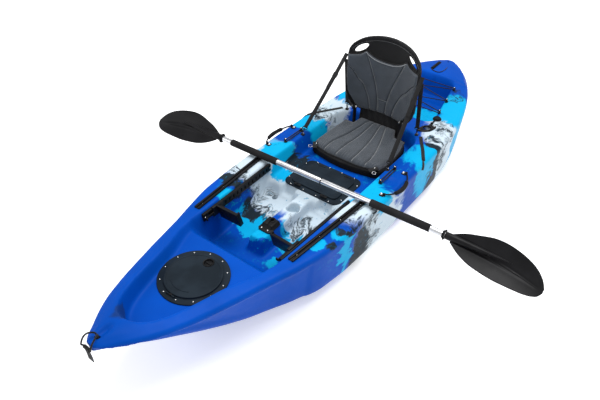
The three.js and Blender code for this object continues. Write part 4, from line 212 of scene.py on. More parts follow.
def mix_colour(tree, factor, first, second):
    mixed = node(tree, "ShaderNodeMix", data_type="RGBA")
    for index, value in ((0, factor), (6, first), (7, second)):
        if isinstance(value, bpy.types.NodeSocket):
            tree.links.new(value, mixed.inputs[index])
        else:
            mixed.inputs[index].default_value = value
    return mixed.outputs[2]


def vector_math(tree, operation, first, second):
    return node(tree, "ShaderNodeVectorMath", {0: first, 1: second}, operation=operation).outputs[0]


def noise(tree, place, scale, detail=3.0, roughness=0.5, distortion=0.0, output="Fac"):
    return node(tree, "ShaderNodeTexNoise", {
        "Vector": place, "Scale": scale, "Detail": detail, "Roughness": roughness,
        "Distortion": distortion}).outputs[output]


def ramp(tree, factor, low, high):
    """Smoothly 0 below low and 1 above high."""
    return node(tree, "ShaderNodeMapRange", {"Value": factor, "From Min": low, "From Max": high},
                interpolation_type="SMOOTHSTEP").outputs[0]


def uneven_gloss(tree, grain, low, high):
    """A roughness that runs from low to high with a noise."""
    return node(tree, "ShaderNodeMapRange", {
        "Value": grain, "From Min": 0.3, "From Max": 0.7, "To Min": low, "To Max": high}).outputs[0]


def solid(colour):
    return (*colour, 1.0)


def stretched(tree, place, scale):
    return node(tree, "ShaderNodeMapping", {"Vector": place, "Scale": scale}).outputs[0]


def new_surface(name, roughness, metallic=0.0):
    material = bpy.data.materials.new(name)
    material.use_nodes = True
    tree = material.node_tree
    shader = tree.nodes["Principled BSDF"]
    shader.inputs["Metallic"].default_value = metallic
    shader.inputs["Roughness"].default_value = roughness
    place = node(tree, "ShaderNodeTexCoord").outputs["Object"]
    MATERIALS[name] = material
    return tree, shader, place


def finish_surface(tree, shader, colour, roughness, height, relief):
    """Links the colour, roughness and bump that every surface has."""
    tree.links.new(colour, shader.inputs["Base Color"])
    tree.links.new(roughness, shader.inputs["Roughness"])
    bump = node(tree, "ShaderNodeBump", {"Height": height, "Distance": relief, "Strength": 1.0})
    tree.links.new(bump.outputs[0], shader.inputs["Normal"])


def varied(tree, place, colour, scale, spread):
    """A colour that drifts lighter and darker in soft patches."""
    drift = noise(tree, place, scale, 4.0)
    dark = [value * (1 - spread) for value in colour]
    light = [min(1.0, value * (1 + spread)) for value in colour]
    return mix_colour(tree, ramp(tree, drift, 0.35, 0.65), solid(dark), solid(light))


def moulded_surface(
        name, colour, roughness, grain=900.0, relief=0.00012, spread=0.2, coat=0.0, specular=0.22):
    """Moulded plastic or rubber: fine grain, with scuffed patches in its gloss."""
    tree, shader, place = new_surface(name, roughness)
    shader.inputs["Coat Weight"].default_value = coat
    shader.inputs["Specular IOR Level"].default_value = specular
    shader.inputs["IOR"].default_value = 1.3
    scuff = noise(tree, place, 14.0, 5.0)
    rough = uneven_gloss(tree, scuff, roughness * 0.8, roughness * 1.2)
    finish_surface(tree, shader, varied(tree, place, colour, 9.0, spread), rough,
                   noise(tree, place, grain, 2.0), relief)


def woven_surface(name, colour, pitch, roughness=0.85, relief=0.0003, sheen=0.25, spread=0.18):
    """A plain weave: crossed threads, with fuzz and soft wear."""
    tree, shader, place = new_surface(name, roughness)
    shader.inputs["Sheen Weight"].default_value = sheen
    shader.inputs["Specular IOR Level"].default_value = 0.15
    split = node(tree, "ShaderNodeSeparateXYZ", {0: place})
    turn = 2 * math.pi / pitch
    across = math_node(tree, "SINE", math_node(tree, "MULTIPLY", split.outputs[0], turn))
    along = math_node(tree, "SINE", math_node(
        tree, "MULTIPLY", math_node(tree, "ADD", split.outputs[1], split.outputs[2]), turn))
    threads = math_node(tree, "MULTIPLY", across, along)
    fuzz = noise(tree, place, 1400.0, 2.0)
    height = math_node(tree, "ADD", threads, fuzz)
    worn = varied(tree, place, colour, 16.0, spread)
    shaded = mix_colour(tree, ramp(tree, threads, -1.0, 1.0), solid([value * 0.8 for value in colour]), worn)
    rough = uneven_gloss(tree, fuzz, roughness * 0.9, min(1, roughness * 1.1))
    finish_surface(tree, shader, shaded, rough, height, relief)


def metal_surface(name, colour, roughness, grain):
    """Bright metal with fine drawn lines."""
    tree, shader, place = new_surface(name, roughness, 1.0)
    lines = noise(tree, stretched(tree, place, grain), 60.0, 4.0)
    rough = uneven_gloss(tree, lines, roughness * 0.7, roughness * 1.3)
    finish_surface(tree, shader, varied(tree, place, colour, 20.0, 0.06), rough, lines, 0.00005)


# Splashes in the hull's plastic: centre, radii, colour and how far its edge is torn
SPLASHES = (
    ((0.00, -0.13, 0.20), (0.55, 0.23, 0.45), "white", 0.5),
    ((0.04, -0.27, 0.14), (0.32, 0.16, 0.09), "white", 0.6),
    ((0.06, -0.37, 0.19), (0.09, 0.07, 0.08), "white", 0.5),
    ((-0.33, -0.24, 0.33), (0.11, 0.14, 0.10), "white", 0.5),
    ((0.41, 0.00, 0.16), (0.09, 0.17, 0.24), "white", 0.5),
    ((-0.05, -0.44, 0.16), (0.26, 0.060, 0.09), "cyan", 0.9),
    ((-0.01, -0.53, 0.23), (0.08, 0.045, 0.035), "cyan", 0.4),
    ((0.15, -0.59, 0.20), (0.07, 0.06, 0.09), "cyan", 0.7),
    ((-0.22, -0.39, 0.16), (0.07, 0.05, 0.09), "slate", 0.6),
    ((-0.24, -0.09, 0.25), (0.08, 0.07, 0.08), "cyan", 0.5),
    ((-0.13, -0.48, 0.15), (0.20, 0.07, 0.08), "cyan", 1.0),
    ((0.20, 0.14, 0.24), (0.22, 0.13, 0.12), "blue", 0.5),
    ((-0.10, 0.18, 0.24), (0.22, 0.13, 0.12), "blue", 0.5),
    ((-0.23, 0.05, 0.26), (0.09, 0.08, 0.09), "slate", 0.7),
    ((0.25, -0.08, 0.28), (0.06, 0.07, 0.08), "cyan", 0.5),
    ((0.34, -0.02, 0.34), (0.10, 0.12, 0.09), "cyan", 0.6),
    ((0.37, 0.15, 0.34), (0.11, 0.12, 0.07), "blue", 0.4),
    ((0.41, 0.26, 0.12), (0.09, 0.12, 0.17), "blue", 0.6),
    ((0.40, 0.39, 0.28), (0.12, 0.12, 0.20), "cyan", 0.7),
    ((0.38, 0.69, 0.25), (0.16, 0.17, 0.30), "white", 0.5),
    ((0.40, 0.52, 0.22), (0.10, 0.035, 0.26), "slate", 0.8),
    ((0.36, 0.88, 0.20), (0.12, 0.12, 0.24), "cyan", 0.7),
    ((0.26, 1.00, 0.32), (0.13, 0.13, 0.12), "cyan", 0.8),
    ((0.42, -0.23, 0.13), (0.09, 0.095, 0.17), "slate", 0.7),
    ((0.41, -0.38, 0.20), (0.07, 0.045, 0.22), "cyan", 0.9),
    ((0.337, -0.512, 0.335), (0.035, 0.045, 0.05), "cyan", 0.35),
    ((0.385, -0.475, 0.335), (0.020, 0.026, 0.03), "slate", 0.3),
    ((-0.278, -0.505, 0.335), (0.045, 0.055, 0.05), "cyan", 0.4),
    ((-0.33, -0.41, 0.33), (0.09, 0.040, 0.08), "slate", 0.6),
    ((-0.27, -0.04, 0.34), (0.14, 0.11, 0.09), "cyan", 0.6),
    ((-0.34, 0.16, 0.33), (0.14, 0.10, 0.20), "blue", 0.6),
    ((-0.32, 0.30, 0.33), (0.12, 0.10, 0.20), "cyan", 0.7),
    ((-0.34, 0.50, 0.33), (0.14, 0.15, 0.20), "white", 0.7),
    ((-0.30, 0.85, 0.30), (0.16, 0.22, 0.30), "cyan", 0.9),
    ((0.00, 0.92, 0.25), (0.26, 0.16, 0.12), "cyan", 0.7),
    ((0.00, 1.14, 0.25), (0.24, 0.12, 0.12), "blue", 0.6),
)

# Dark marbling: centre and radii of each place that has it
MARBLING = (
    ((0.40, -0.29, 0.33), (0.08, 0.07, 0.09)), ((0.42, -0.17, 0.21), (0.09, 0.09, 0.20)),
    ((-0.27, -0.30, 0.16), (0.11, 0.10, 0.10)), ((-0.13, -0.36, 0.16), (0.08, 0.06, 0.08)),
    ((0.09, -0.38, 0.17), (0.09, 0.10, 0.09)), ((0.20, -0.30, 0.17), (0.07, 0.07, 0.08)),
    ((-0.33, -0.36, 0.33), (0.09, 0.07, 0.10)), ((-0.33, 0.42, 0.33), (0.10, 0.08, 0.14)),
    ((0.38, 0.60, 0.30), (0.10, 0.07, 0.20)), ((0.33, 0.74, 0.33), (0.08, 0.07, 0.08)),
    ((-0.16, 0.02, 0.24), (0.10, 0.06, 0.06)), ((0.22, 1.12, 0.33), (0.05, 0.10, 0.10)),
    ((0.40, 0.45, 0.10), (0.08, 0.05, 0.14)),
)


def splash_share(tree, place, warped, centre, radii, tear):
    """How far a point lies inside a torn ellipsoid, from 0 outside to 1 inside."""
    torn = node(
        tree, "ShaderNodeMix", {0: min(1.0, tear), 4: place, 5: warped}, data_type="VECTOR").outputs[1]
    away = vector_math(tree, "SUBTRACT", torn, centre)
    scaled = vector_math(tree, "DIVIDE", away, radii)
    length = node(tree, "ShaderNodeVectorMath", {0: scaled}, operation="LENGTH").outputs["Value"]
    return ramp(tree, length, 1.12, 0.84)


def hull_surface(name, colours):
    """Rotation moulded plastic: a blue body with poured splashes of cyan, white and slate."""
    tree, shader, place = new_surface(name, 0.38)
    shader.inputs["Specular IOR Level"].default_value = 0.16
    shader.inputs["IOR"].default_value = 1.22
    coarse = noise(tree, stretched(tree, place, (1.0, 0.8, 1.2)), 7.0, 5.0, 0.62, 0.8, "Color")
    offset = vector_math(tree, "SUBTRACT", coarse, (0.5, 0.5, 0.5))
    shift = vector_math(tree, "MULTIPLY", offset, (0.36, 0.36, 0.36))
    warped = vector_math(tree, "ADD", place, shift)
    blue = solid(colours.deck_blue)
    slate = solid(colours.splash_slate)
    tones = {
        "blue": blue, "cyan": solid(colours.splash_cyan), "white": solid(colours.splash_white),
        "slate": slate}
    body = mix_colour(tree, ramp(tree, noise(tree, place, 3.0, 3.0), 0.35, 0.75), blue,
                      solid([value * 1.25 for value in colours.deck_blue]))
    for centre, radii, tone, tear in SPLASHES:
        share = splash_share(tree, place, warped, centre, radii, tear)
        body = mix_colour(tree, share, body, tones[tone])
    veins = noise(tree, stretched(tree, warped, (1.0, 2.4, 0.7)), 9.0, 4.0, 0.6, 0.8)
    for centre, radii in MARBLING:
        share = splash_share(tree, place, warped, centre, radii, 1.0)
        body = mix_colour(tree, math_node(
            tree, "MULTIPLY", share, ramp(tree, veins, 0.42, 0.62)), body, slate)
    wisps = noise(tree, stretched(tree, warped, (2.0, 1.0, 1.0)), 16.0, 5.0, 0.6, 1.0)
    mid = splash_share(tree, place, warped, (0.0, 0.10, 0.25), (0.60, 0.85, 0.60), 1.0)
    body = mix_colour(tree, math_node(tree, "MULTIPLY", mid, ramp(tree, wisps, 0.60, 0.72)), body,
                      solid([value * 0.6 for value in colours.splash_cyan]))
    smudge = splash_share(tree, place, warped, (-0.02, -1.30, 0.37), (0.05, 0.075, 0.05), 0.4)
    body = mix_colour(tree, math_node(tree, "MULTIPLY", smudge, 0.55), body, slate)
    scuff = noise(tree, place, 30.0, 6.0)
    rough = uneven_gloss(tree, scuff, 0.32, 0.45)
    finish_surface(tree, shader, body, rough, noise(tree, place, 260.0, 3.0), 0.00018)


def make_materials(colours):
    hull_surface("kayak hull plastic", colours)
    black = colours.trim_black
    moulded_surface("black fitting plastic", black, 0.38)
    moulded_surface("hatch lid plastic", colours.lid_slate, 0.52, 420.0, 0.0003, specular=0.10)
    moulded_surface("black lid plastic", colours.lid_slate, 0.5, 420.0, 0.0003, specular=0.08)
    moulded_surface("black rubber", black, 0.62, 700.0, 0.0002)
    moulded_surface("black anodised aluminium", black, 0.28, 1200.0, 0.00005, 0.1)
    moulded_surface("blade plastic", black, 0.34, 500.0, 0.00015)
    moulded_surface("foam grip", (0.014, 0.014, 0.015), 0.85, 520.0, 0.0006)
    moulded_surface("seat foam", (0.010, 0.010, 0.011), 0.9, 420.0, 0.0008)
    moulded_surface("white foam", (0.80, 0.80, 0.78), 0.85, 260.0, 0.0010, 0.05)
    woven_surface("seat fabric", colours.seat_grey, 0.0022)
    woven_surface("border fabric", (0.008, 0.008, 0.009), 0.0020, 0.8, 0.0003, 0.1)
    woven_surface("webbing", (0.009, 0.009, 0.010), 0.0028, 0.75, 0.0005, 0.08)
    woven_surface("braided cord", (0.011, 0.011, 0.012), 0.0016, 0.7, 0.0004, 0.08)
    woven_surface("grey piping", colours.piping_grey, 0.0012, 0.7, 0.0002, 0.1)
    woven_surface("black thread", (0.020, 0.020, 0.022), 0.0008, 0.8, 0.0001, 0.1)
    metal_surface("shaft aluminium", colours.shaft_silver, 0.32, (0.2, 3.0, 3.0))
    metal_surface("screw steel", (0.50, 0.50, 0.50), 0.24, (1.0, 1.0, 1.0))


# Mesh helpers


def box_of(cad):
    """Lowest and highest corner of a CAD node, in the row frame."""
    return [Vector(corner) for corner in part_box(cad)]


def added(name, data):
    """A new object in the scene."""
    piece = bpy.data.objects.new(name, data)
    bpy.context.scene.collection.objects.link(piece)
    return piece


def smoothed(mesh, angle=50.0):
    """Shades a mesh smooth, apart from its edges sharper than an angle in degrees."""
    mesh.shade_smooth()
    mesh.set_sharp_from_angle(angle=math.radians(angle))


def round_angles(count):
    """The angles of a full turn in equal steps."""
    return [2 * math.pi * k / count for k in range(count)]


def mirrored(point, sign):
    """A point on the port side for sign 1, on the starboard side for -1."""
    return Vector((sign * point.x, point.y, point.z))


def placed_mesh(name, verts, faces, smooth=True):
    """A mesh object at the origin, with its place in its vertices."""
    mesh = bpy.data.meshes.new(name)
    mesh.from_pydata([tuple(v) for v in verts], [], [tuple(f) for f in faces])
    mesh.validate()
    piece = added(name, mesh)
    outward(piece)
    if smooth:
        mesh.shade_smooth()
    return piece


def outward(piece):
    """Merges doubled points and turns the faces outwards."""
    work = bmesh.new()
    work.from_mesh(piece.data)
    bmesh.ops.remove_doubles(work, verts=work.verts, dist=1e-6)
    bmesh.ops.recalc_face_normals(work, faces=work.faces)
    work.to_mesh(piece.data)
    work.free()


def baked(piece):
    """The piece with its modifiers applied, as a plain mesh of the same name."""
    bpy.context.view_layer.update()
    graph = bpy.context.evaluated_depsgraph_get()
    mesh = bpy.data.meshes.new_from_object(piece.evaluated_get(graph), depsgraph=graph)
    name = piece.name
    bpy.data.objects.remove(piece)
    mesh.name = name
    return added(name, mesh)


def dress(piece, material, body, *nodes, slot=None):
    """Gives a piece its material and its body, and hides the CAD nodes that it stands for."""
    if material:
        piece.data.materials.clear()
        piece.data.materials.append(MATERIALS[material])
    if body:
        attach(piece, body)
    if nodes:
        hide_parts(*nodes)
    return piece


def loft(name, rings, closed=False, smooth=True):
    """A mesh through rings of equal count, closed into a ring itself or else capped."""
    rings = [[Vector(p) for p in ring] for ring in rings]
    count = len(rings[0])
    verts = [p for ring in rings for p in ring]
    rows = len(rings)
    faces = []
    for row in range(rows if closed else rows - 1):
        low, high = row * count, ((row + 1) % rows) * count
        for i in range(count):
            j = (i + 1) % count
            faces.append((low + i, low + j, high + j, high + i))
    if not closed:
        faces += [tuple(reversed(range(count))), tuple(range((rows - 1) * count, rows * count))]
    return placed_mesh(name, verts, faces, smooth)


def lathe(name, profile, matrix=None, sides=64, closed=False):
    """A solid of revolution. A closed profile is a ring, such as a rim; an open one is capped."""
    ring = [(math.cos(a), math.sin(a)) for a in round_angles(sides)]
    rings = [[(r * c, r * s, z) for c, s in ring] for r, z in profile]
    piece = loft(name, rings, closed=closed)
    if matrix is not None:
        piece.data.transform(matrix)
    return piece


def soft_edges(piece, width):
    """Rounds a piece's hard edges and bakes the result."""
    bevel = piece.modifiers.new("rounded edges", "BEVEL")
    bevel.width = width
    bevel.segments = 2
    bevel.limit_method = "ANGLE"
    bevel.angle_limit = math.radians(30)
    bevel.use_clamp_overlap = True
    done = baked(piece)
    smoothed(done.data)
    return done


def with_cuts(piece, tools):
    """The piece with every tool cut away from it. The tools are used up."""
    for tool in tools:
        cut = piece.modifiers.new("opening", "BOOLEAN")
        cut.operation, cut.solver, cut.object = "DIFFERENCE", "MANIFOLD", tool
    done = baked(piece)
    for tool in tools:
        bpy.data.objects.remove(tool)
    return done


def joined(name, pieces):
    """One mesh from several, in the order given, without merging them."""
    verts, faces = [], []
    for piece in pieces:
        base = len(verts)
        verts += [tuple(v.co) for v in piece.data.vertices]
        faces += [tuple(base + i for i in p.vertices) for p in piece.data.polygons]
        bpy.data.objects.remove(piece)
    mesh = bpy.data.meshes.new(name)
    mesh.from_pydata(verts, [], faces)
    smoothed(mesh)
    return added(name, mesh)


def whole_faces(cad):
    """A CAD node's form with doubled points merged and flat triangles made into whole faces."""
    work = bmesh.new()
    work.from_mesh(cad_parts[cad].data)
    bmesh.ops.remove_doubles(work, verts=work.verts, dist=2e-5)
    bmesh.ops.dissolve_limit(work, angle_limit=math.radians(1.5), verts=work.verts, edges=work.edges)
    return work


def rounded_fitting(cad, body, material, width):
    """A CAD fitting with its edges rounded as moulded ones are."""
    piece = added(f"{cad}_moulded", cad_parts[cad].data.copy())
    work = whole_faces(cad)
    work.to_mesh(piece.data)
    work.free()
    return dress(soft_edges(piece, width), material, body, cad)


# Geometry node trees


def new_tree(name, inputs):
    """A geometry tree with named inputs and one geometry output."""
    tree = bpy.data.node_groups.new(name, "GeometryNodeTree")
    tree.interface.new_socket("Geometry", in_out="INPUT", socket_type="NodeSocketGeometry")
    for key, kind in inputs.items():
        tree.interface.new_socket(key, in_out="INPUT", socket_type=kind)
    tree.interface.new_socket("Geometry", in_out="OUTPUT", socket_type="NodeSocketGeometry")
    start = tree.nodes.new("NodeGroupInput")
    return tree, start


def end_tree(tree, geometry, material):
    real = node(tree, "GeometryNodeRealizeInstances", {0: geometry}).outputs[0]
    painted = node(tree, "GeometryNodeSetMaterial", {"Geometry": real, "Material": material}).outputs[0]
    node(tree, "NodeGroupOutput", {0: painted})
    return tree


def cord_tree():
    """A round cord along a path of edges."""
    tree, start = new_tree("cord along path", {
        "Radius": "NodeSocketFloat", "Sides": "NodeSocketInt", "Cord material": "NodeSocketMaterial"})
    curve = node(tree, "GeometryNodeMeshToCurve", {0: start.outputs["Geometry"]}).outputs[0]
    circle = node(tree, "GeometryNodeCurvePrimitiveCircle", {
        "Resolution": start.outputs["Sides"], "Radius": start.outputs["Radius"]}).outputs[0]
    tube = node(tree, "GeometryNodeCurveToMesh", {"Curve": curve, "Profile Curve": circle, "Fill Caps": True})
    smooth = node(tree, "GeometryNodeSetShadeSmooth", {0: tube.outputs[0]}).outputs[0]
    return end_tree(tree, smooth, start.outputs["Cord material"])


def head_tree():
    """A screw or rivet head on every point, facing along the point's aim."""
    tree, start = new_tree("heads on points", {
        "Head": "NodeSocketObject", "Size": "NodeSocketFloat", "Head material": "NodeSocketMaterial"})
    head = node(tree, "GeometryNodeObjectInfo", {0: start.outputs["Head"]}, transform_space="RELATIVE")
    aim = node(tree, "GeometryNodeInputNamedAttribute", {"Name": "aim"}, data_type="FLOAT_VECTOR")
    turn = node(tree, "FunctionNodeAlignRotationToVector", {"Vector": aim.outputs["Attribute"]}, axis="Z")
    on_points = node(tree, "GeometryNodeInstanceOnPoints", {
        "Points": start.outputs["Geometry"], "Instance": head.outputs["Geometry"],
        "Rotation": turn.outputs["Rotation"], "Scale": start.outputs["Size"]})
    return end_tree(tree, on_points.outputs[0], start.outputs["Head material"])


def stitch_tree():
    """A row of stitches along a path, each a short thread lying along it."""
    tree, start = new_tree("stitches along path", {
        "Stitch length": "NodeSocketFloat", "Thread radius": "NodeSocketFloat",
        "Thread material": "NodeSocketMaterial"})
    curve = node(tree, "GeometryNodeMeshToCurve", {0: start.outputs["Geometry"]}).outputs[0]
    points = node(tree, "GeometryNodeCurveToPoints", {
        "Curve": curve, "Length": start.outputs["Stitch length"]}, mode="LENGTH")
    height = math_node(tree, "MULTIPLY", start.outputs["Stitch length"], 0.62)
    thread = node(tree, "GeometryNodeMeshCylinder", {
        "Vertices": 5, "Radius": start.outputs["Thread radius"], "Depth": height})
    turn = node(tree, "FunctionNodeAlignRotationToVector", {"Vector": points.outputs["Tangent"]}, axis="Z")
    on_points = node(tree, "GeometryNodeInstanceOnPoints", {
        "Points": points.outputs["Points"], "Instance": thread.outputs["Mesh"],
        "Rotation": turn.outputs["Rotation"]})
    return end_tree(tree, on_points.outputs[0], start.outputs["Thread material"])


def grow(piece, tree, values):
    """Runs a geometry tree on a piece, with its inputs set by identifier, and bakes it."""
    modifier = piece.modifiers.new(tree.name, "NODES")
    modifier.node_group = tree
    keys = {item.name: item.identifier for item in tree.interface.items_tree if item.in_out == "INPUT"}
    for name, value in values.items():
        modifier[keys[name]] = value
    return baked(piece)


def path_object(name, points, closed=False):
    mesh = bpy.data.meshes.new(name)
    count = len(points)
    edges = [(i, (i + 1) % count) for i in range(count if closed else count - 1)]
    mesh.from_pydata([tuple(p) for p in points], edges, [])
    return added(name, mesh)


def cord_piece(name, points, radius, material, sides=12, closed=False):
    """A round cord through points."""
    piece = grow(path_object(name, points, closed), TREES["cord"], {
        "Radius": radius, "Sides": sides, "Cord material": MATERIALS[material]})
    outward(piece)
    piece.data.shade_smooth()
    return piece


def flowing(points, closed=False, steps=8):
    """A smooth line through points."""
    pts = [Vector(p) for p in points]
    count = len(pts)
    spans = count if closed else count - 1
    line = []
    for i in range(spans):
        p1, p2 = pts[i], pts[(i + 1) % count]
        p0 = pts[i - 1] if closed or i > 0 else p1 * 2 - p2
        p3 = pts[(i + 2) % count] if closed or i + 2 < count else p2 * 2 - p1
        for k in range(steps):
            t = k / steps
            line.append(0.5 * (2 * p1 + (p2 - p0) * t + (2 * p0 - 5 * p1 + 4 * p2 - p3) * t * t
                               + (3 * p1 - p0 - 3 * p2 + p3) * t ** 3))
    return line if closed else line + [pts[-1]]


def screw_head():
    """A domed head with a dimple, one unit in radius."""
    piece = lathe("screw_head_form", [
        (0.001, -0.6), (0.98, -0.6), (1.0, 0.0), (0.94, 0.22), (0.72, 0.42), (0.42, 0.5), (0.34, 0.34),
        (0.001, 0.3)], sides=12)
    piece.hide_render = True
    return piece


def screws(name, places, size):
    """Steel screw or rivet heads on the hull at (place, aim) pairs, as one piece."""
    mesh = bpy.data.meshes.new(name)
    mesh.from_pydata([tuple(place) for place, _ in places], [], [])
    aim = mesh.attributes.new("aim", "FLOAT_VECTOR", "POINT")
    aim.data.foreach_set("vector", [value for _, way in places for value in Vector(way).normalized()])
    points = added(name, mesh)
    head = screw_head()
    piece = grow(points, TREES["head"], {
        "Head": head, "Size": size, "Head material": MATERIALS["screw steel"]})
    bpy.data.objects.remove(head)
    piece.data.shade_smooth()
    return dress(piece, None, "hull")


def stitches(name, points, material="black thread", radius=0.0006):
    """A row of stitches through points."""
    piece = grow(path_object(name, points), TREES["stitch"], {
        "Stitch length": bpy.context.scene.kayak_sizes.stitch_length, "Thread radius": radius,
        "Thread material": MATERIALS[material]})
    piece.data.shade_smooth()
    return piece


TREES = {}


# Hull


def eased(distance, run, fillet):
    """0 outside an outline and 1 past its wall, with both edges of the wall rounded."""
    def area(t):
        return np.where(t < 0, 0, np.where(t < run, t * t / (2 * run), run / 2 + (t - run)))
    return (area(distance + fillet) - area(distance - fillet)) / (2 * fillet)


def inside_distance(px, py, outline):
    """Distance to a closed outline, positive inside it."""
    best = np.full(px.shape, 1e9)
    inside = np.zeros(px.shape, bool)
    count = len(outline)
    for i in range(count):
        (ax, ay), (bx, by) = outline[i], outline[(i + 1) % count]
        ex, ey = bx - ax, by - ay
        wx, wy = px - ax, py - ay
        t = np.clip((wx * ex + wy * ey) / (ex * ex + ey * ey + 1e-12), 0, 1)
        best = np.minimum(best, (wx - t * ex) ** 2 + (wy - t * ey) ** 2)
        if ay != by:
            inside ^= ((ay > py) != (by > py)) & (px < ex * (py - ay) / ey + ax)
    return np.where(inside, 1, -1) * np.sqrt(best)


def rounded_plan(front, rear, front_half, rear_half, radius, steps=6):
    """A rounded trapezium in plan."""
    corners = ((front_half, front, -1, 1, -90), (rear_half, rear, -1, -1, 0),
               (-rear_half, rear, 1, -1, 90), (-front_half, front, 1, 1, 180))
    plan = []
    for x, y, sx, sy, start in corners:
        for i in range(steps + 1):
            angle = math.radians(start + 90 * i / steps)
            plan.append((
                x + sx * radius + radius * math.cos(angle), y + sy * radius + radius * math.sin(angle)))
    return plan


def wall_at(y):
    """Half width of the cockpit, which narrows forward of its knee."""
    return COCKPIT_HALF + min(0.0, (y - WALL_KNEE) * RAIL_SLOPE)


def recess_plan():
    """The bow recess: a rounded arrow from its apex to the foot well."""
    places = (0, 0.02, 0.09, 0.2, 0.38, 0.71, 0.93, 1.1)
    breadths = (0, 0.16, 0.33, 0.46, 0.585, 0.76, 0.94, 1)
    apex, foot = -1.340, wall_at(FOOTWELL_FRONT)
    rim = [(b * foot, apex + p * (FOOTWELL_FRONT - apex), 0) for p, b in zip(places, breadths)]
    half = [(p.x, p.y) for p in flowing(rim)]
    return half + [(-x, y) for x, y in reversed(half[1:])]


def station_values(y):
    """The stations' seven values at many places along the hull, smoothed along it."""
    fine = np.linspace(-1.12, 1.12, 1121)
    values = []
    for column in range(1, 7):
        slope0 = (STATIONS[1, column] - STATIONS[0, column]) / (STATIONS[1, 0] - STATIONS[0, 0])
        slope1 = (STATIONS[-1, column] - STATIONS[-2, column]) / (STATIONS[-1, 0] - STATIONS[-2, 0])
        line = np.interp(fine, STATIONS[:, 0], STATIONS[:, column])
        line = np.where(fine < -1, STATIONS[0, column] + slope0 * (fine + 1), line)
        line = np.where(fine > 1, STATIONS[-1, column] + slope1 * (fine - 1), line)
        wide = np.hanning(41)
        soft = np.convolve(line, wide / wide.sum(), "same")
        nearness = np.clip((1 - np.abs(fine)) / 0.08, 0, 1)
        values.append(np.interp(y / (LENGTH / 2), fine, line * (1 - nearness) + soft * nearness))
    return values


def deck_top(x, y):
    """Height of the uncut deck, for arrays of places."""
    breadth, _, _, _, gunwale, crown = station_values(y)
    half = breadth * BEAM / 2
    edge = np.minimum(EDGE_RADIUS, half / 3)
    share = np.clip(np.abs(x) / (half - edge), 0, 1)
    return gunwale * DEPTH + crown * DEPTH * (1 - share ** 2.2)


def carved_deck(x, y):
    """Height of the deck with its wells, ridge, cup and dishes."""
    fillet = bpy.context.scene.kayak_sizes.well_fillet
    z = deck_top(x, y)
    original = z.copy()

    def sink(z, floor, distance, run, soft=fillet):
        return z + (np.minimum(floor, z) - z) * eased(distance, run, soft)

    stern = inside_distance(x, y, rounded_plan(1.250, 1.62, 0.30, 0.20, 0.02))
    z = z + 0.014 * eased(stern, 0.010, 0.006)
    z = sink(z, PANEL, inside_distance(x, y, recess_plan()), 0.012)
    seat = inside_distance(x, y, rounded_plan(
        FOOTWELL_REAR - 0.12, SEAT_REAR + 0.035, COCKPIT_HALF, COCKPIT_HALF, 0.11))
    z = sink(z, PLATFORM, seat, 0.010)
    foot_half = wall_at(FOOTWELL_FRONT)
    foot = inside_distance(x, y, rounded_plan(
        FOOTWELL_FRONT, FOOTWELL_REAR, foot_half, COCKPIT_HALF - 0.004, 0.055))
    run_in = (y - FOOTWELL_FRONT - 0.012) / BULKHEAD_RUN
    back = (y - FOOTWELL_FRONT - BULKHEAD_RUN) / (FOOTWELL_REAR - FOOTWELL_FRONT - BULKHEAD_RUN)
    tilt = FOOT_FLOOR + 0.045 * back
    bulkhead = PANEL - (PANEL - FOOT_FLOOR) * eased(run_in, 1.0, 0.14)
    blend = 0.010
    floor = (tilt + bulkhead + np.sqrt((tilt - bulkhead) ** 2 + blend ** 2)) / 2
    z = sink(z, floor, foot, 0.020)
    side = eased(0.047 - np.abs(x) + 0.004, 0.010, 0.008) * eased(y + 0.594, 0.012, 0.012)
    ridge = np.where(y < FOOTWELL_REAR + 0.03, side, 0)
    z = z + (np.maximum(PLATFORM, z) - z) * ridge
    heel = inside_distance(np.abs(x), y, [(0.062, -0.30), (0.175, -0.30), (0.160, -0.150), (0.078, -0.150)])
    z = np.where(z < PLATFORM + 0.002, sink(z, np.full_like(z, 0.186), heel, 0.012, 0.010), z)
    cup = 0.036 - np.hypot(x, y + 0.283)
    z = sink(z, 0.174, cup, 0.006, 0.004)
    cart = 0.024 - np.hypot(np.abs(x) - SCUPPER[0], y - SCUPPER[1])
    z = sink(z, z - 0.006, cart, 0.004, 0.004)
    tank = inside_distance(x, y, rounded_plan(
        TANK_FRONT, TANK_REAR, TANK_FRONT_HALF, TANK_REAR_HALF, 0.05))
    ribs = 0.003 * np.cos(2 * np.pi * (y - TANK_FRONT) / 0.0625)
    z = sink(z, TANK_FLOOR + np.where(np.abs(x) < 0.15, ribs, 0), tank, 0.018)
    dish = 0.046 - np.hypot(np.abs(x) - 0.345, y - 0.084)
    z = sink(z, original - 0.008, dish, 0.010, 0.006)
    track_angle = math.atan2(0.038, 0.556)
    out, back = np.abs(x) - 0.311, y + 0.394
    length_off = back * math.cos(track_angle) + out * math.sin(track_angle)
    side_off = out * math.cos(track_angle) - back * math.sin(track_angle)
    seat_plan = np.minimum(0.0156 - np.abs(side_off), 0.279 - np.abs(length_off))
    z = sink(z, original - 0.003, seat_plan, 0.002, 0.002)
    groove = 1 - np.hypot(x / 0.019, (y + 1.434) / 0.050)
    z = sink(z, original - 0.016, groove * 0.019, 0.010, 0.005)
    return z


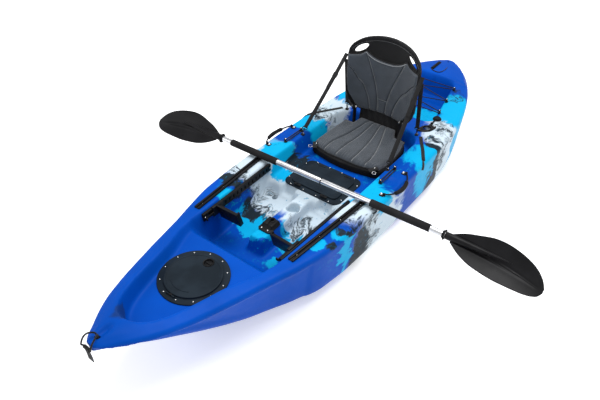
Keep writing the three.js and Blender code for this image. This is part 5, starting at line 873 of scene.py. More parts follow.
def hull_rings():
    """Rings round the hull: up the port side, across the deck and down the starboard side."""
    y = np.concatenate([
        np.linspace(-1.5, -1.40, 34), np.linspace(-1.395, 1.40, 560), np.linspace(1.404, 1.5, 28)])
    breadth, chine, keel, chine_height, gunwale, _ = station_values(y)
    half = breadth * BEAM / 2
    edge = np.minimum(EDGE_RADIUS, half / 3)
    low, top = keel * DEPTH, gunwale * DEPTH
    chine_half = half * chine
    chine_z = np.maximum(np.minimum(chine_height * DEPTH, top - edge), low)
    controls = [(share * chine_half, low + rise * np.maximum(chine_z - low, 0))
                for share, rise in ((0, 0), (0.36, 0), (0.75, 0.22), (0.93, 0.56), (1, 1))]
    controls += [((chine_half + half) / 2, (chine_z + top - edge) / 2), (half, top - edge)]
    line = []
    for i in range(len(controls) - 1):
        p1, p2 = controls[i], controls[i + 1]
        p0 = controls[i - 1] if i else (-p2[0], p2[1])
        p3 = controls[i + 2] if i + 2 < len(controls) else (2 * p2[0] - p1[0], 2 * p2[1] - p1[1])
        for t in np.arange(8) / 8:
            line.append([0.5 * (2 * b + (c - a) * t + (2 * a - 5 * b + 4 * c - d) * t * t
                                + (3 * b - a - 3 * c + d) * t ** 3) for a, b, c, d in zip(p0, p1, p2, p3)])
    for angle in np.radians(np.arange(0, 90, 15)):
        line.append([half - edge * (1 - np.cos(angle)), top - edge * (1 - np.sin(angle))])
    band = eased(-0.600 - y, 0.012, 0.010)
    sides = []
    for x, z in line:
        step = 0.007 * band * eased(top - 0.034 - z, 0.006, 0.005) * np.clip((half - 0.03) / 0.05, 0, 1)
        sides.append((np.maximum(x - step, 0 * x), z))
    deck = []
    for share in np.linspace(1, 0, 78):
        x = share * (half - edge)
        deck.append((x, carved_deck(x, y)))
    ring = sides + deck
    xs = np.array([p[0] for p in ring] + [-p[0] for p in reversed(ring[1:-1])])
    zs = np.array([p[1] for p in ring] + [p[1] for p in reversed(ring[1:-1])])
    return xs, y, zs


def cutter(name, rings):
    return loft(name, rings, smooth=False)


def circle_ring(x, y, z, rx, ry=None):
    ry = rx if ry is None else ry
    return [(x + rx * math.cos(a), y + ry * math.sin(a), z) for a in round_angles(48)]


def squared_ring(x, y, z, rx, ry, radius, sides=12):
    plan = rounded_plan(y - ry, y + ry, rx, rx, radius, sides)
    return [(x + px, py, z) for px, py in plan]


def rod_matrix(sign):
    return Matrix.Translation(mirrored(ROD_PLACE, sign)) @ Matrix.Rotation(-ROD_TILT, 4, "X")


def hull_cutters():
    """What is cut through the moulded shell: hatch openings with the space below, tubes and holes."""
    along_keel = [(x, y, 0.100 + 0.42 * (HATCH_Y - y)) for x, y, _ in circle_ring(0, HATCH_Y, 0, 0.10, 0.115)]
    bow_sizes = ((0.34, HATCH_HOLE), (0.292, HATCH_HOLE), (0.278, 0.19, 0.135), (0.17, 0.14, 0.125))
    cutters = [
        cutter("bow_store", [*(circle_ring(0, HATCH_Y, *size) for size in bow_sizes), along_keel]),
        cutter("center_store", [squared_ring(0, CENTER_Y, *size) for size in (
            (0.26, 0.135, 0.086, 0.022), (0.2285, 0.135, 0.086, 0.022), (0.2275, 0.21, 0.13, 0.05),
            (0.06, 0.20, 0.13, 0.05), (0.02, 0.17, 0.12, 0.05))]),
        cutter("drain_hole", [circle_ring(0, 1.460, z, 0.0073) for z in (0.39, 0.33)]),
        cutter("bow_tunnel", [circle_ring(0, TUNNEL_Y, z, 0.0115) for z in (0.60, 0.10)]),
    ]
    for _, sign in SIDES:
        cutters.append(cutter("scupper_hole", [
            circle_ring(sign * SCUPPER[0], SCUPPER[1], z, 0.0158) for z in (0.30, -0.02)]))
        hole = cutter("rod_hole", [circle_ring(0, 0, 0.03, 0.0256), circle_ring(0, 0, -0.165, 0.0256)])
        hole.data.transform(rod_matrix(sign))
        cutters.append(hole)
    return cutters


class KAYAK_OT_hull(bpy.types.Operator):
    """Moulds the hull: a fine skin over the stations, with rounded wells and its openings cut through"""

    bl_idname = "kayak.hull"
    bl_label = "Mould the hull"

    def execute(self, context):
        sizes = context.scene.kayak_sizes
        xs, y, zs = hull_rings()
        count, rows = xs.shape
        verts = np.stack([xs.T, np.repeat(y[:, None], count, 1), zs.T], 2).reshape(-1, 3)
        base = (np.arange(rows - 1)[:, None] * count)
        i = np.arange(count)[None, :]
        j = (i + 1) % count
        quads = np.stack([base + i, base + j, base + count + j, base + count + i], 2).reshape(-1, 4)
        mesh = bpy.data.meshes.new("hull_shell")
        faces = quads.tolist() + [list(range(count))[::-1], list(range((rows - 1) * count, rows * count))]
        mesh.from_pydata(verts.tolist(), [], faces)
        hull = added("hull_shell", mesh)
        outward(hull)
        remesh = hull.modifiers.new("even skin", "REMESH")
        remesh.mode = "VOXEL"
        remesh.voxel_size = sizes.hull_voxel
        soften = hull.modifiers.new("softened", "SMOOTH")
        soften.factor = 0.5
        soften.iterations = 3
        hull = baked(hull)
        hull = with_cuts(hull, hull_cutters())
        smoothed(hull.data, 55)
        dress(hull, "kayak hull plastic", "hull", "hull", slot="hull_plastic")
        return {"FINISHED"}


# Forms that the fittings share


def rounded_block(name, low, high, width=0.0012, matrix=None):
    """A block between two corners, with its edges rounded."""
    (x0, y0, z0), (x1, y1, z1) = low, high
    ring = [(x0, y0), (x1, y0), (x1, y1), (x0, y1)]
    piece = loft(name, [[(x, y, z) for x, y in ring] for z in (z0, z1)], smooth=False)
    piece = soft_edges(piece, width)
    if matrix is not None:
        piece.data.transform(matrix)
    return piece


def along(start, end):
    """The matrix that takes Z onto the way from start to end."""
    start, end = Vector(start), Vector(end)
    return Matrix.Translation(start) @ (end - start).to_track_quat("Z", "Y").to_matrix().to_4x4()


def rod(name, start, end, radius, sides=24):
    """A round bar between two points with softened ends."""
    length = (Vector(end) - Vector(start)).length
    soft = radius * 0.25
    profile = [(0.0002, 0), (radius - soft, 0), (radius - soft * 0.3, soft * 0.3), (radius, soft),
               (radius, length - soft), (radius - soft * 0.3, length - soft * 0.3), (radius - soft, length),
               (0.0002, length)]
    return lathe(name, profile, along(start, end), sides)


def barrel(x, y, z, half=0.008, radius=0.004, sides=16):
    """A round bar of a hatch hinge, lying across."""
    return rod("hinge_barrel", (x - half, y, z), (x + half, y, z), radius, sides)


def fixed_hinge(x, y, z):
    """The two fixed barrels of a hatch hinge and its pin."""
    return [barrel(x - 0.0166, y, z), barrel(x + 0.0166, y, z), barrel(x, y, z, 0.024, 0.002, 12)]


def plan_ring(half_x, half_y, radius, z, y=0.0, x=0.0, steps=8):
    """A rounded rectangle in plan."""
    ring = []
    for corner, (sx, sy) in enumerate(((1, -1), (1, 1), (-1, 1), (-1, -1))):
        for k in range(steps + 1):
            angle = math.pi / 2 * (corner - 1 + k / steps)
            ring.append((x + sx * (half_x - radius) + radius * math.cos(angle),
                         y + sy * (half_y - radius) + radius * math.sin(angle), z))
    return ring


def found_heads(*cads):
    """Place and aim of each CAD screw head, known by its six-sided top."""
    heads = []
    for cad in cads:
        work = whole_faces(cad)
        for face in work.faces:
            middle = face.calc_center_median()
            reach = [(v.co - middle).length for v in face.verts]
            if len(reach) == 6 and max(reach) - min(reach) < 2e-4 and abs(max(reach) - SCREW_RADIUS) < 3e-4:
                heads.append((middle - face.normal * 0.0002, face.normal.copy()))
        work.free()
    return heads


def wire_eye(name, place, height=0.014, half=0.0075):
    """A pad eye: a rounded plate with a wire bent over it."""
    x, y, z = place
    plate = loft(name + "_plate", [
        plan_ring(0.011, 0.011, 0.005, z - 0.002, y, x), plan_ring(0.011, 0.011, 0.005, z + 0.0015, y, x),
        plan_ring(0.010, 0.010, 0.004, z + 0.0026, y, x)])
    line = [(x + half * math.cos(math.pi * k / 12) * (1.0 if 0 < k < 12 else 1.02), y,
             z + 0.002 + (height - 0.004) * math.sin(math.pi * k / 12) ** 0.6) for k in range(13)]
    wire = cord_piece(name + "_wire", line, 0.0017, "screw steel", sides=8)
    dress(plate, "black fitting plastic", "hull")
    dress(wire, None, "hull")


class KAYAK_OT_bow_hatch(bpy.types.Operator):
    """Turns the round bow hatch: rim with its screws, seal, lid, latch pocket and latch"""

    bl_idname = "kayak.bow_hatch"
    bl_label = "Add the bow hatch"

    def execute(self, context):
        place = Matrix.Translation((0, HATCH_Y, 0))
        rim = lathe("bow_rim_flange", [
            (0.118, 0.3003), (0.160, 0.3003), (0.160, 0.3048), (0.1593, 0.3058), (0.158, 0.3063),
            (0.1345, 0.3063), (0.1338, 0.3068), (0.1335, 0.3075), (0.1325, 0.3078), (0.1218, 0.3078),
            (0.121, 0.310), (0.118, 0.310)], place, 128, closed=True)
        hinge = (0, -1.116, 0.3109)
        dress(
            joined("bow_rim_moulded", [rim, *fixed_hinge(*hinge)]), "hatch lid plastic", "hull",
            "bow_hatch_rim")
        screws("bow_rim_screws", found_heads("bow_hatch_rim"), 0.0038)
        seal = lathe("bow_seal", [(0.1213, 0.3066), (0.1253, 0.3066), (0.1258, 0.3085), (0.1248, 0.3103),
                                  (0.1218, 0.3103)], place, 128, closed=True)
        dress(seal, "black rubber", "hull", "bow_hatch_gasket")
        low, top = 0.3106, LID_TOP
        lid = lathe("bow_lid_moulded", [
            (0.0003, low), (0.1265, low), (0.1265, 0.3068), (0.130, 0.3068), (0.130, top - 0.002),
            (0.1292, top - 0.0006), (0.1278, top), (0.121, top + 0.0004), (0.1196, top),
            (0.1186, top - 0.0014), (0.1172, top - 0.0018), (0.080, top - 0.0010), (0.045, top - 0.0005),
            (0.0003, top - 0.0003)], place, 128)
        latch = Vector((0, -0.888, 0))
        bore = lathe("pocket_bore", [(0.0003, 0.29), (0.0225, 0.29), (0.0225, 0.33), (0.0003, 0.33)],
                     Matrix.Translation(latch), 48)
        lid = soft_edges(with_cuts(lid, [bore]), 0.0006)
        cup = lathe("latch_pocket", [
            (0.0003, 0.3022), (0.0234, 0.3022), (0.0236, 0.3106), (0.0262, 0.3150), (0.0262, 0.3164),
            (0.0254, 0.3174), (0.0225, 0.3174), (0.0214, 0.3166), (0.0212, 0.3052), (0.0205, 0.3046),
            (0.0003, 0.3046)], Matrix.Translation(latch), 48)
        leaf = rounded_block("bow_lid_leaf", (-0.008, -1.116, 0.309), (0.008, -1.100, 0.3142), 0.001)
        rib = [(0.098 * math.sin(a), HATCH_Y - 0.098 * math.cos(a), top - 0.0009)
               for a in (math.radians(-34 + 68 * k / 20) for k in range(21))]
        crescent = cord_piece("bow_lid_rib", rib, 0.0016, "hatch lid plastic", sides=10)
        dress(lid, "hatch lid plastic", "bow_hatch_lid", "bow_hatch_lid")
        dress(crescent, None, "bow_hatch_lid")
        dress(
            joined("bow_lid_fittings", [cup, leaf, barrel(*hinge)]), "black fitting plastic", "bow_hatch_lid")
        rounded_fitting("bow_hatch_latch", "bow_hatch_latch", "black fitting plastic", 0.0008)
        return {"FINISHED"}


class KAYAK_OT_center_hatch(bpy.types.Operator):
    """Moulds the rectangular hatch in front of the seat: frame, seal, lid, hinges and turn latches"""

    bl_idname = "kayak.center_hatch"
    bl_label = "Add the centre hatch"

    def execute(self, context):
        low, top, lid_top = 0.2353, FRAME_TOP, CENTER_LID_TOP
        plate = loft("center_frame_moulded", [
            plan_ring(half, wide, radius, z, CENTER_Y)
            for half, wide, radius, z in ((0.181, 0.132, 0.045, low), (0.181, 0.132, 0.045, top - 0.0012),
            (0.1797, 0.1307, 0.044, top), (0.136, 0.087, 0.0235, top), (0.135, 0.086, 0.0225, top - 0.001),
            (0.135, 0.086, 0.0225, low))], closed=True)
        plate.data.set_sharp_from_angle(angle=math.radians(60))
        parts = [plate]
        hinges = [(x, 0.088, 0.2449) for x in (-0.086, 0.086)]
        for place in hinges:
            parts += fixed_hinge(*place)
        dress(joined("center_frame_whole", parts), "hatch lid plastic", "hull", "center_hatch_frame")
        screws("center_frame_screws", found_heads("center_hatch_frame"), 0.0038)
        lid = loft("center_lid_moulded", [
            plan_ring(0.149 - inset, 0.100 - inset, radius, z, CENTER_Y)
            for inset, radius, z in ((0.0, 0.029, top + 0.0003), (0.0, 0.029, lid_top - 0.0022),
            (0.0007, 0.0283, lid_top - 0.0007), (0.0022, 0.0268, lid_top), (0.0120, 0.0200, lid_top),
            (0.0138, 0.0190, lid_top - 0.0006), (0.0150, 0.0180, lid_top - 0.0018),
            (0.0500, 0.0150, lid_top - 0.0012), (0.0860, 0.0100, lid_top - 0.0008))])
        dress(lid, "black lid plastic", "center_hatch_lid", "center_hatch_lid")
        leaves = [rounded_block("center_leaf", (x - 0.008, 0.074, 0.2438), (x + 0.008, 0.088, 0.2488), 0.001)
                  for x in (-0.086, 0.086)]
        leaves += [barrel(*place) for place in hinges]
        dress(joined("center_lid_leaves", leaves), "black fitting plastic", "center_hatch_lid")
        rounded_fitting("center_hatch_gasket", "hull", "black rubber", 0.0004)
        for side, sign in SIDES:
            x, y, z = sign * 0.086, -0.134, lid_top + 0.0006
            body = loft("turn_body", [
                plan_ring(0.023 - a, 0.008 - a, 0.0079 - a, z + h, y, x)
                for a, h in ((0.0006, 0.0), (0, 0.001), (0, 0.0046), (0.0008, 0.0056), (0.0022, 0.006))])
            fin = rounded_block(
                "turn_fin", (x - 0.0035, y - 0.0045, z + 0.004), (x + 0.0035, y + 0.0045, z + 0.012), 0.0012)
            post = rod("turn_post", (x, y, 0.2412), (x, y, z + 0.002), 0.003, 12)
            dress(joined(f"center_latch_{side}_moulded", [body, fin, post]), "black fitting plastic",
                  f"center_latch_{side}", f"center_latch_{side}")
        return {"FINISHED"}


class KAYAK_OT_foot_well(bpy.types.Operator):
    """Fits the gear tracks, foot brace rails, pedals, locks and the accessory base"""

    bl_idname = "kayak.foot_well"
    bl_label = "Add the foot well's fittings"

    def execute(self, context):
        bevel = context.scene.kayak_sizes.edge_bevel
        for side, _ in SIDES:
            rounded_fitting(f"gear_track_{side}", "hull", "black anodised aluminium", bevel * 0.7)
            rounded_fitting(f"foot_rail_{side}", "hull", "black fitting plastic", bevel)
            rounded_fitting(f"foot_pedal_{side}", f"foot_pedal_{side}", "black fitting plastic", bevel * 1.4)
            rounded_fitting(f"pedal_lock_{side}", f"pedal_lock_{side}", "black fitting plastic", bevel)
            screws(f"track_screws_{side}", found_heads(f"gear_track_{side}"), 0.0028)
            screws(f"rail_screws_{side}", found_heads(f"foot_rail_{side}"), 0.0056)
        rounded_fitting("accessory_base", "hull", "black fitting plastic", bevel * 1.3)
        screws("base_screws", found_heads("accessory_base"), 0.0045)
        return {"FINISHED"}


class KAYAK_OT_handles(bpy.types.Operator):
    """Bends the side handles, with their brackets and domed bolts"""

    bl_idname = "kayak.handles"
    bl_label = "Add the side handles"

    def execute(self, context):
        rise = (0, 0.03, 0.06, 0.1, 0.14, 0.18, 0.215, 0.222, 0.23, 0.245)
        shares = [*rise, *(0.28 + 0.44 * k / 12 for k in range(13)), *(1 - t for t in reversed(rise))]
        ends = {"front": -0.030, "rear": 0.196}
        span, middle, axis_x, axis_z = 0.2198, 0.083, 0.385, DECK_SEAT + 0.010
        for side, sign in SIDES:
            rings = []
            for t in shares:
                arch = math.sin(math.pi * t) ** (2 / 3)
                inside = min(max((min(t, 1 - t) - 0.218) / 0.02, 0), 1)
                ripple = 0.0005 * math.cos(t * 190) if inside == 1 else 0
                radius = 0.0043 + 0.007 * inside ** 0.6 + ripple
                x, z = axis_x + arch * 0.044, axis_z - arch * 0.015
                rings.append([(
                    sign * (x + radius * math.cos(a)), middle + (t - 0.5) * span, z + radius * math.sin(a))
                    for a in round_angles(20)])
            grip = loft(f"side_handle_{side}_grip", rings)
            pegs = [rod("handle_peg", (sign * axis_x, middle + end * 0.105, axis_z),
                        (sign * axis_x, middle + end * 0.1185, axis_z), 0.0036, 16) for end in (-1, 1)]
            dress(joined(f"side_handle_{side}_whole", [grip, *pegs]), "black rubber", f"side_handle_{side}",
                  f"side_handle_{side}")
            for end, y in ends.items():
                x = sign * 0.372
                plate = loft("bracket_plate", [
                    plan_ring(0.013 - a, 0.013 - a, 0.006, DECK_SEAT + h, y, x)
                    for a, h in ((0, 0), (0, 0.003), (0.001, 0.004), (0.0024, 0.0043))])
                cheek = rounded_block("bracket_cheek", (sign * 0.3785, y - 0.0025, DECK_SEAT),
                                      (sign * 0.3915, y + 0.0025, axis_z + 0.0068), 0.0011)
                dress(
                    joined(f"handle_bracket_{end}_{side}_moulded", [plate, cheek]), "black fitting plastic",
                    "hull", f"handle_bracket_{end}_{side}")
            bolts = [((sign * 0.3675, y, DECK_SEAT + 0.0046), (0, 0, 1)) for y in ends.values()]
            screws(f"handle_bolts_{side}", bolts, 0.0085)
        return {"FINISHED"}


class KAYAK_OT_rod_holders(bpy.types.Operator):
    """Moulds the flush rod holders, their tubes and their tethered caps"""

    bl_idname = "kayak.rod_holders"
    bl_label = "Add the rod holders"

    def execute(self, context):
        turn = Matrix.Rotation(-ROD_YAW, 4, "Z")
        base = Matrix.Translation((ROD_PLACE.x, ROD_PLACE.y, 0)) @ turn
        angles = round_angles(64)

        def leaf(inset, z):
            return [base @ Vector(((0.034 - inset) * math.cos(a) * (1 - abs(math.sin(a)) / 4),
                                   (0.0625 - inset) * math.sin(a), z)) for a in angles]

        def mouth(radius, z):
            return [Vector((ROD_PLACE.x, ROD_PLACE.y, 0)) + turn @ Vector(
                (radius * math.cos(a), radius * 1.05 * math.sin(a), z)) for a in angles]

        rings = [
            leaf(0, DECK_SEAT), leaf(0, 0.3378), leaf(0.0008, 0.3388), leaf(0.0025, 0.3393),
            mouth(0.0285, 0.3396), mouth(0.0268, 0.3412), mouth(0.0248, 0.3421), mouth(0.0226, 0.3414),
            mouth(0.0213, 0.339), mouth(0.021, 0.3353)]
        tube_profile = [(0.0003, -0.150), (0.025, -0.150), (0.025, -0.012), (0.021, -0.012), (0.021, -0.1476),
                        (0.0003, -0.1476)]
        for side, sign in SIDES:
            mirror = Matrix.Diagonal((sign, 1, 1, 1))
            flange = loft("rod_flange", rings, closed=True)
            tube = lathe("rod_tube", tube_profile, rod_matrix(1), 48)
            lug = rounded_block("rod_lug", (0.250, 0.690, DECK_SEAT), (0.266, 0.733, 0.3385), 0.001)
            pin = rod("rod_pin", (0.250, 0.731, 0.3415), (0.266, 0.731, 0.3415), 0.002, 12)
            ears = [rounded_block("rod_ear", (x, 0.7275, 0.337), (x + 0.0036, 0.7345, 0.3452), 0.0008)
                    for x in (0.2502, 0.2622)]
            piece = joined(f"rod_holder_{side}_moulded", [flange, tube, lug, pin, *ears])
            piece.data.transform(mirror)
            outward(piece)
            dress(piece, "black fitting plastic", "hull", f"rod_holder_{side}")
            screws(f"rod_screws_{side}", found_heads(f"rod_holder_{side}"), 0.0046)
            center = Vector((0.258, 0.797, 0))
            disc = lathe("cap_disc", [(0.0003, 0.3354), (0.0255, 0.3354), (0.026, 0.3362), (0.026, 0.3395),
                                      (0.0252, 0.3406), (0.0238, 0.341), (0.0208, 0.341), (0.0204, 0.342),
                                      (0.0204, 0.3466), (0.0196, 0.3478), (0.018, 0.3482), (0.0164, 0.3474),
                                      (0.0158, 0.3455), (0.0003, 0.345)], Matrix.Translation(center), 64)
            strap = rounded_block("cap_tether", (0.2535, 0.733, 0.3402), (0.2625, 0.778, 0.3427), 0.0008)
            barrel = rod("cap_barrel", (0.2535, 0.731, 0.3415), (0.2625, 0.731, 0.3415), 0.0036, 16)
            cap = joined(f"rod_cap_{side}_moulded", [disc, strap, barrel])
            cap.data.transform(mirror)
            outward(cap)
            dress(cap, "black rubber", f"rod_cap_{side}", f"rod_cap_{side}")
        return {"FINISHED"}


# Cords, posts and eyes on deck


def tank_posts():
    posts = []
    for share in (0.25, 0.53, 0.83):
        x = TANK_FRONT_HALF + (TANK_REAR_HALF - TANK_FRONT_HALF) * share + 0.016
        y = TANK_FRONT + share * (TANK_REAR - TANK_FRONT)
        posts.append(Vector((x, y, deck_top(x, y))))
    return posts


def lacing(posts, levels, radius):
    """The cord's way round its posts: straight runs at given levels and an arc outside each post."""
    reach = 0.004 + radius + 0.0003
    line = []
    for i, post in enumerate(posts):
        last = (i - 1) % len(posts)
        into = (post - posts[last]).to_2d().normalized()
        out = (posts[(i + 1) % len(posts)] - post).to_2d().normalized()
        left = 1 if into.x * out.y - into.y * out.x > 0 else -1
        start, end = math.atan2(-left * into.x, left * into.y), math.atan2(-left * out.x, left * out.y)
        while (end - start) * left < 0:
            end += left * 2 * math.pi
        for k in range(9):
            angle = start + (end - start) * k / 8
            level = levels[last] + (levels[i] - levels[last]) * k / 8
            line.append((post.x + reach * math.cos(angle), post.y + reach * math.sin(angle),
                         post.z + 0.0028 + radius + level * (2 * radius + 0.0003)))
    return line


class KAYAK_OT_deck_cords(bpy.types.Operator):
    """Fits the deck posts and strap eyes and laces the bungees round them"""

    bl_idname = "kayak.deck_cords"
    bl_label = "Add the deck cords"

    def execute(self, context):
        radius = context.scene.kayak_sizes.bungee_radius
        tank = tank_posts()
        side_posts = [Vector((0.314, 0.050, DEPTH)), Vector((0.314, 0.196, DEPTH))]
        profile = [(0.0003, -0.003), (0.0088, -0.003), (0.009, 0.0018), (0.008, 0.0026), (0.0045, 0.0027),
                   (0.004, 0.004), (0.004, 0.0155), (0.0075, 0.0166), (0.009, 0.0180), (0.0088, 0.0193),
                   (0.0072, 0.0203), (0.004, 0.0207), (0.0003, 0.0207)]
        posts, tops = [], []
        for sign in (1, -1):
            for place in tank + side_posts:
                at = mirrored(place, sign)
                posts.append(lathe("deck_post", profile, Matrix.Translation(at), 24))
                tops.append((at + Vector((0, 0, 0.0207)), (0, 0, 1)))
            for x, y in ((0.284, 0.172), (0.242, 0.571)):
                wire_eye("strap_eye", (sign * x, y, DEPTH))
        dress(joined("deck_posts", posts), "black fitting plastic", "hull", slot="black_plastic")
        screws("deck_post_screws", tops, 0.0042)
        wire_eye("stern_eye", (0, STERN_EYE_Y, deck_top(0, STERN_EYE_Y) - 0.001))
        far = [mirrored(p, -1) for p in tank]
        order = [tank[0], far[1], tank[2], far[2], tank[1], far[0]]
        cord = cord_piece(
            "tank_bungee_cord", lacing(order, (0, 1, 1, 0, 1, 0), radius), radius, "braided cord", 12, True)
        dress(cord, None, "hull", "tank_bungee")
        for side, sign in SIDES:
            ends = [mirrored(p, sign) for p in side_posts]
            cord = cord_piece(
                f"side_bungee_{side}_cord", lacing(ends, (0, 0), radius), radius, "braided cord", 12, True)
            dress(cord, None, "hull", f"side_bungee_{side}")
        return {"FINISHED"}


class KAYAK_OT_end_cords(bpy.types.Operator):
    """Ties the bow loop with its webbing tab, the stern cord with its grip, and fits the drain plug"""

    bl_idname = "kayak.end_cords"
    bl_label = "Add the end cords"

    def execute(self, context):
        cad_loop = box_of("bow_loop")
        bow_y, cord = -1.500, 0.0036
        bow_deck, tip_deck = deck_top(0, TUNNEL_Y), deck_top(0, bow_y)
        bar_y, bar_z = bow_y - 0.012, tip_deck - 0.016

        def strand(sign):
            return [
                (sign * 0.0043, TUNNEL_Y, cad_loop[0].z + 0.016), (sign * 0.0043, TUNNEL_Y, bow_deck - 0.016),
                (sign * 0.00675, TUNNEL_Y, bow_deck + 0.012), (sign * 0.0216, -1.481, bow_deck + 0.020),
                (sign * 0.027, bow_y, tip_deck + 0.016), (sign * 0.027, bar_y - 0.004, bar_z + 0.008)]

        line = strand(-1) + [(share * 0.027, bar_y, bar_z) for share in (-0.82, -0.7, 0, 0.7, 0.82)]
        line += strand(1)[::-1]
        loop = cord_piece("bow_loop_cord", flowing(line, steps=6), cord, "braided cord", 12)
        knot = lathe("bow_loop_knot", [(0.0003, -0.006), (0.004, -0.0055), (0.0065, -0.002), (0.0065, 0.003),
                                       (0.004, 0.006), (0.0003, 0.006)],
                     Matrix.Translation((0, TUNNEL_Y, cad_loop[0].z + 0.012)), 16)
        dress(loop, None, "hull", "bow_loop")
        dress(knot, "braided cord", "hull")
        half, thick = 0.016, 0.0015
        rows = [
            (bar_y - 0.0062, bar_z + 0.002), (bar_y - 0.0066, bar_z - 0.004), (bar_y - 0.0045, bar_z - 0.010),
            (bar_y - 0.0025, bar_z - 0.020), (bar_y - 0.0015, bar_z - 0.045), (bar_y - 0.0020, bar_z - 0.074)]
        front = [
            [(x, y, z) for x in (-half, half)] + [(x, y + 2 * thick, z) for x in (half, -half)]
            for y, z in rows]
        tail = loft("bow_tab_tail", front)
        sleeve = lathe("bow_tab_sleeve", [(0.0047, -half), (0.0072, -half), (0.0072, half), (0.0047, half)],
                       along((0, bar_y, bar_z), (1, bar_y, bar_z)), 32, closed=True)
        dress(joined("bow_tab_webbing", [tail, sleeve]), "webbing", "bow_tab", "bow_tab")
        seams = []
        for x in (-0.0125, 0.0125):
            line = [(x, bar_y - 0.0042, bar_z - 0.014), (x, bar_y - 0.0025, bar_z - 0.030),
                    (x, bar_y - 0.0022, bar_z - 0.070)]
            seams.append(stitches("bow_tab_stitches", line, "grey piping"))
        dress(joined("bow_tab_seams", seams), "grey piping", "bow_tab")
        low, high = box_of("stern_grip")
        x, y, z = low.x + 0.012, (1.273 + STERN_EYE_Y) / 2, high.z - 0.012
        eye = Vector((0, STERN_EYE_Y, low.z + 0.004))
        line = [eye, eye + Vector((-0.014, -0.010, 0.003)), (x + 0.004, y + 0.064, z), (x, y + 0.05, z),
                (x, y - 0.05, z), (x + 0.006, y - 0.066, z), (-0.012, 1.279, z), (0.012, 1.277, z),
                (0.032, 1.300, z), (0.036, y, z), (0.026, 1.405, z - 0.004)]
        cord = cord_piece("stern_cord", flowing(line, closed=True), 0.003, "braided cord", 12, True)
        dress(cord, None, "stern_grip", "stern_grip")
        length = 0.112
        profile = [(0.0003, 0), (0.009, 0), (0.0112, 0.0012), (0.012, 0.004)]
        for k in range(1, 12):
            at = 0.004 + (length - 0.008) * k / 12
            profile += [(0.012, at - 0.0016), (0.0112, at), (0.012, at + 0.0016)]
        profile += [(0.012, length - 0.004), (0.0112, length - 0.0012), (0.009, length), (0.0003, length)]
        grip = lathe("stern_grip_moulded", profile, along((x, y - length / 2, z), (x, y + length / 2, z)), 40)
        dress(grip, "black rubber", "stern_grip")
        rounded_fitting("drain_plug", "drain_plug", "black rubber", 0.0008)
        return {"FINISHED"}


# Seat and backrest

SEAT_FRONT_Y = 0.155
SEAT_RUN = 0.390
PAD_BASE = 0.2784
PIPING_RADIUS = 0.0016
SEAT_PAD_HALF = 0.229
SEAT_BREADTHS = ((0.12, 0.96), (0.22, 1.0), (0.45, 1.0), (0.68, 0.97), (0.87, 0.90), (0.95, 0.80))


def back_surface(x, z, proud=0.0):
    """Where the curved back stands at a place across and up it, drawn forward by a proud value."""
    return 0.578 - proud + 0.04 * (z - HINGE.z) - 0.062 * (x / BACK_HALF) ** 2


def channel(distance, width):
    """Depth share of a sewn channel at a distance from its line."""
    return np.exp(-(np.asarray(distance) / width) ** 2)


def rumple(a, b, seed):
    """Soft uneven waves over a pad, from a few fixed sines."""
    rng = np.random.default_rng(seed)
    total = np.zeros_like(a)
    for _ in range(7):
        fa, fb, phase = rng.uniform(8, 34), rng.uniform(8, 34), rng.uniform(0, 6.28)
        total += np.sin(fa * a + fb * b + phase) / 7
    return total


def pad_mesh(name, top, base):
    """A closed pad from a grid of its face and one of its back, both with the same count."""
    rows, wide, _ = top.shape
    verts = np.concatenate([top.reshape(-1, 3), base.reshape(-1, 3)])
    layer = rows * wide
    faces = []
    for r in range(rows - 1):
        for c in range(wide - 1):
            a = r * wide + c
            faces.append((a, a + 1, a + wide + 1, a + wide))
            faces.append((layer + a, layer + a + wide, layer + a + wide + 1, layer + a + 1))
    edge = list(range(wide)) + [r * wide + wide - 1 for r in range(1, rows)]
    edge += [(rows - 1) * wide + c for c in range(wide - 2, -1, -1)]
    edge += [r * wide for r in range(rows - 2, 0, -1)]
    for i, a in enumerate(edge):
        b = edge[(i + 1) % len(edge)]
        faces.append((a, layer + a, layer + b, b))
    return placed_mesh(name, verts, faces)


def pad_grid(rows):
    """Shares across and along a pad, closer together at its edges."""
    u, v = np.meshgrid(np.linspace(-1, 1, 181), np.linspace(0, 1, rows))
    u = np.sign(u) * np.sin(np.abs(u) * math.pi / 2) * 0.35 + u * 0.65
    v = 0.5 - 0.5 * np.cos(v * math.pi) * 0.35 - 0.5 * (1 - 2 * v) * 0.65
    return u, v


def pad_rim(*corners):
    """Shares across and along a pad's rim, from corner to corner."""
    sides = [(a, b, 40 if a[0] == b[0] else 60) for a, b in zip(corners, corners[1:])]
    return [np.concatenate([np.linspace(a[k], b[k], count) for a, b, count in sides]) for k in (0, 1)]


def seat_tongue(u):
    """1 across the pad's rear tongue between the brackets, 0 beside it."""
    return np.clip((0.667 - np.abs(u)) * 9, 0, 1)


def seat_rise(u, v):
    """How far the seat pad's rear rises towards the back."""
    return (0.020 + 0.025 * seat_tongue(u)) * np.clip((v - 0.55) / 0.45, 0, 1) ** 2


def seat_place(u, v, lean=0.45):
    """Plan place of the seat pad at shares across and along it."""
    run = np.maximum(0.1 * (u * u + 0.12), 0.03) * (1 - v) + 0.87 * v
    breadth = np.interp(np.maximum(run, 0.12), [b[0] for b in SEAT_BREADTHS], [b[1] for b in SEAT_BREADTHS])
    length = run + 0.088 * seat_tongue(u) * v ** 4
    return u * breadth * SEAT_PAD_HALF, SEAT_FRONT_Y + length * SEAT_RUN + lean * seat_rise(u, v)


def edge_roll(u, v, wide, long):
    """1 inside a pad, easing to 0 at its edges as a quarter round does."""
    side = np.clip((1 - np.abs(u)) / wide, 0, 1)
    end = np.clip(np.minimum(v, 1 - v) / long, 0, 1)
    return np.sqrt(1 - (1 - side) ** 2) * np.sqrt(1 - (1 - end) ** 2)


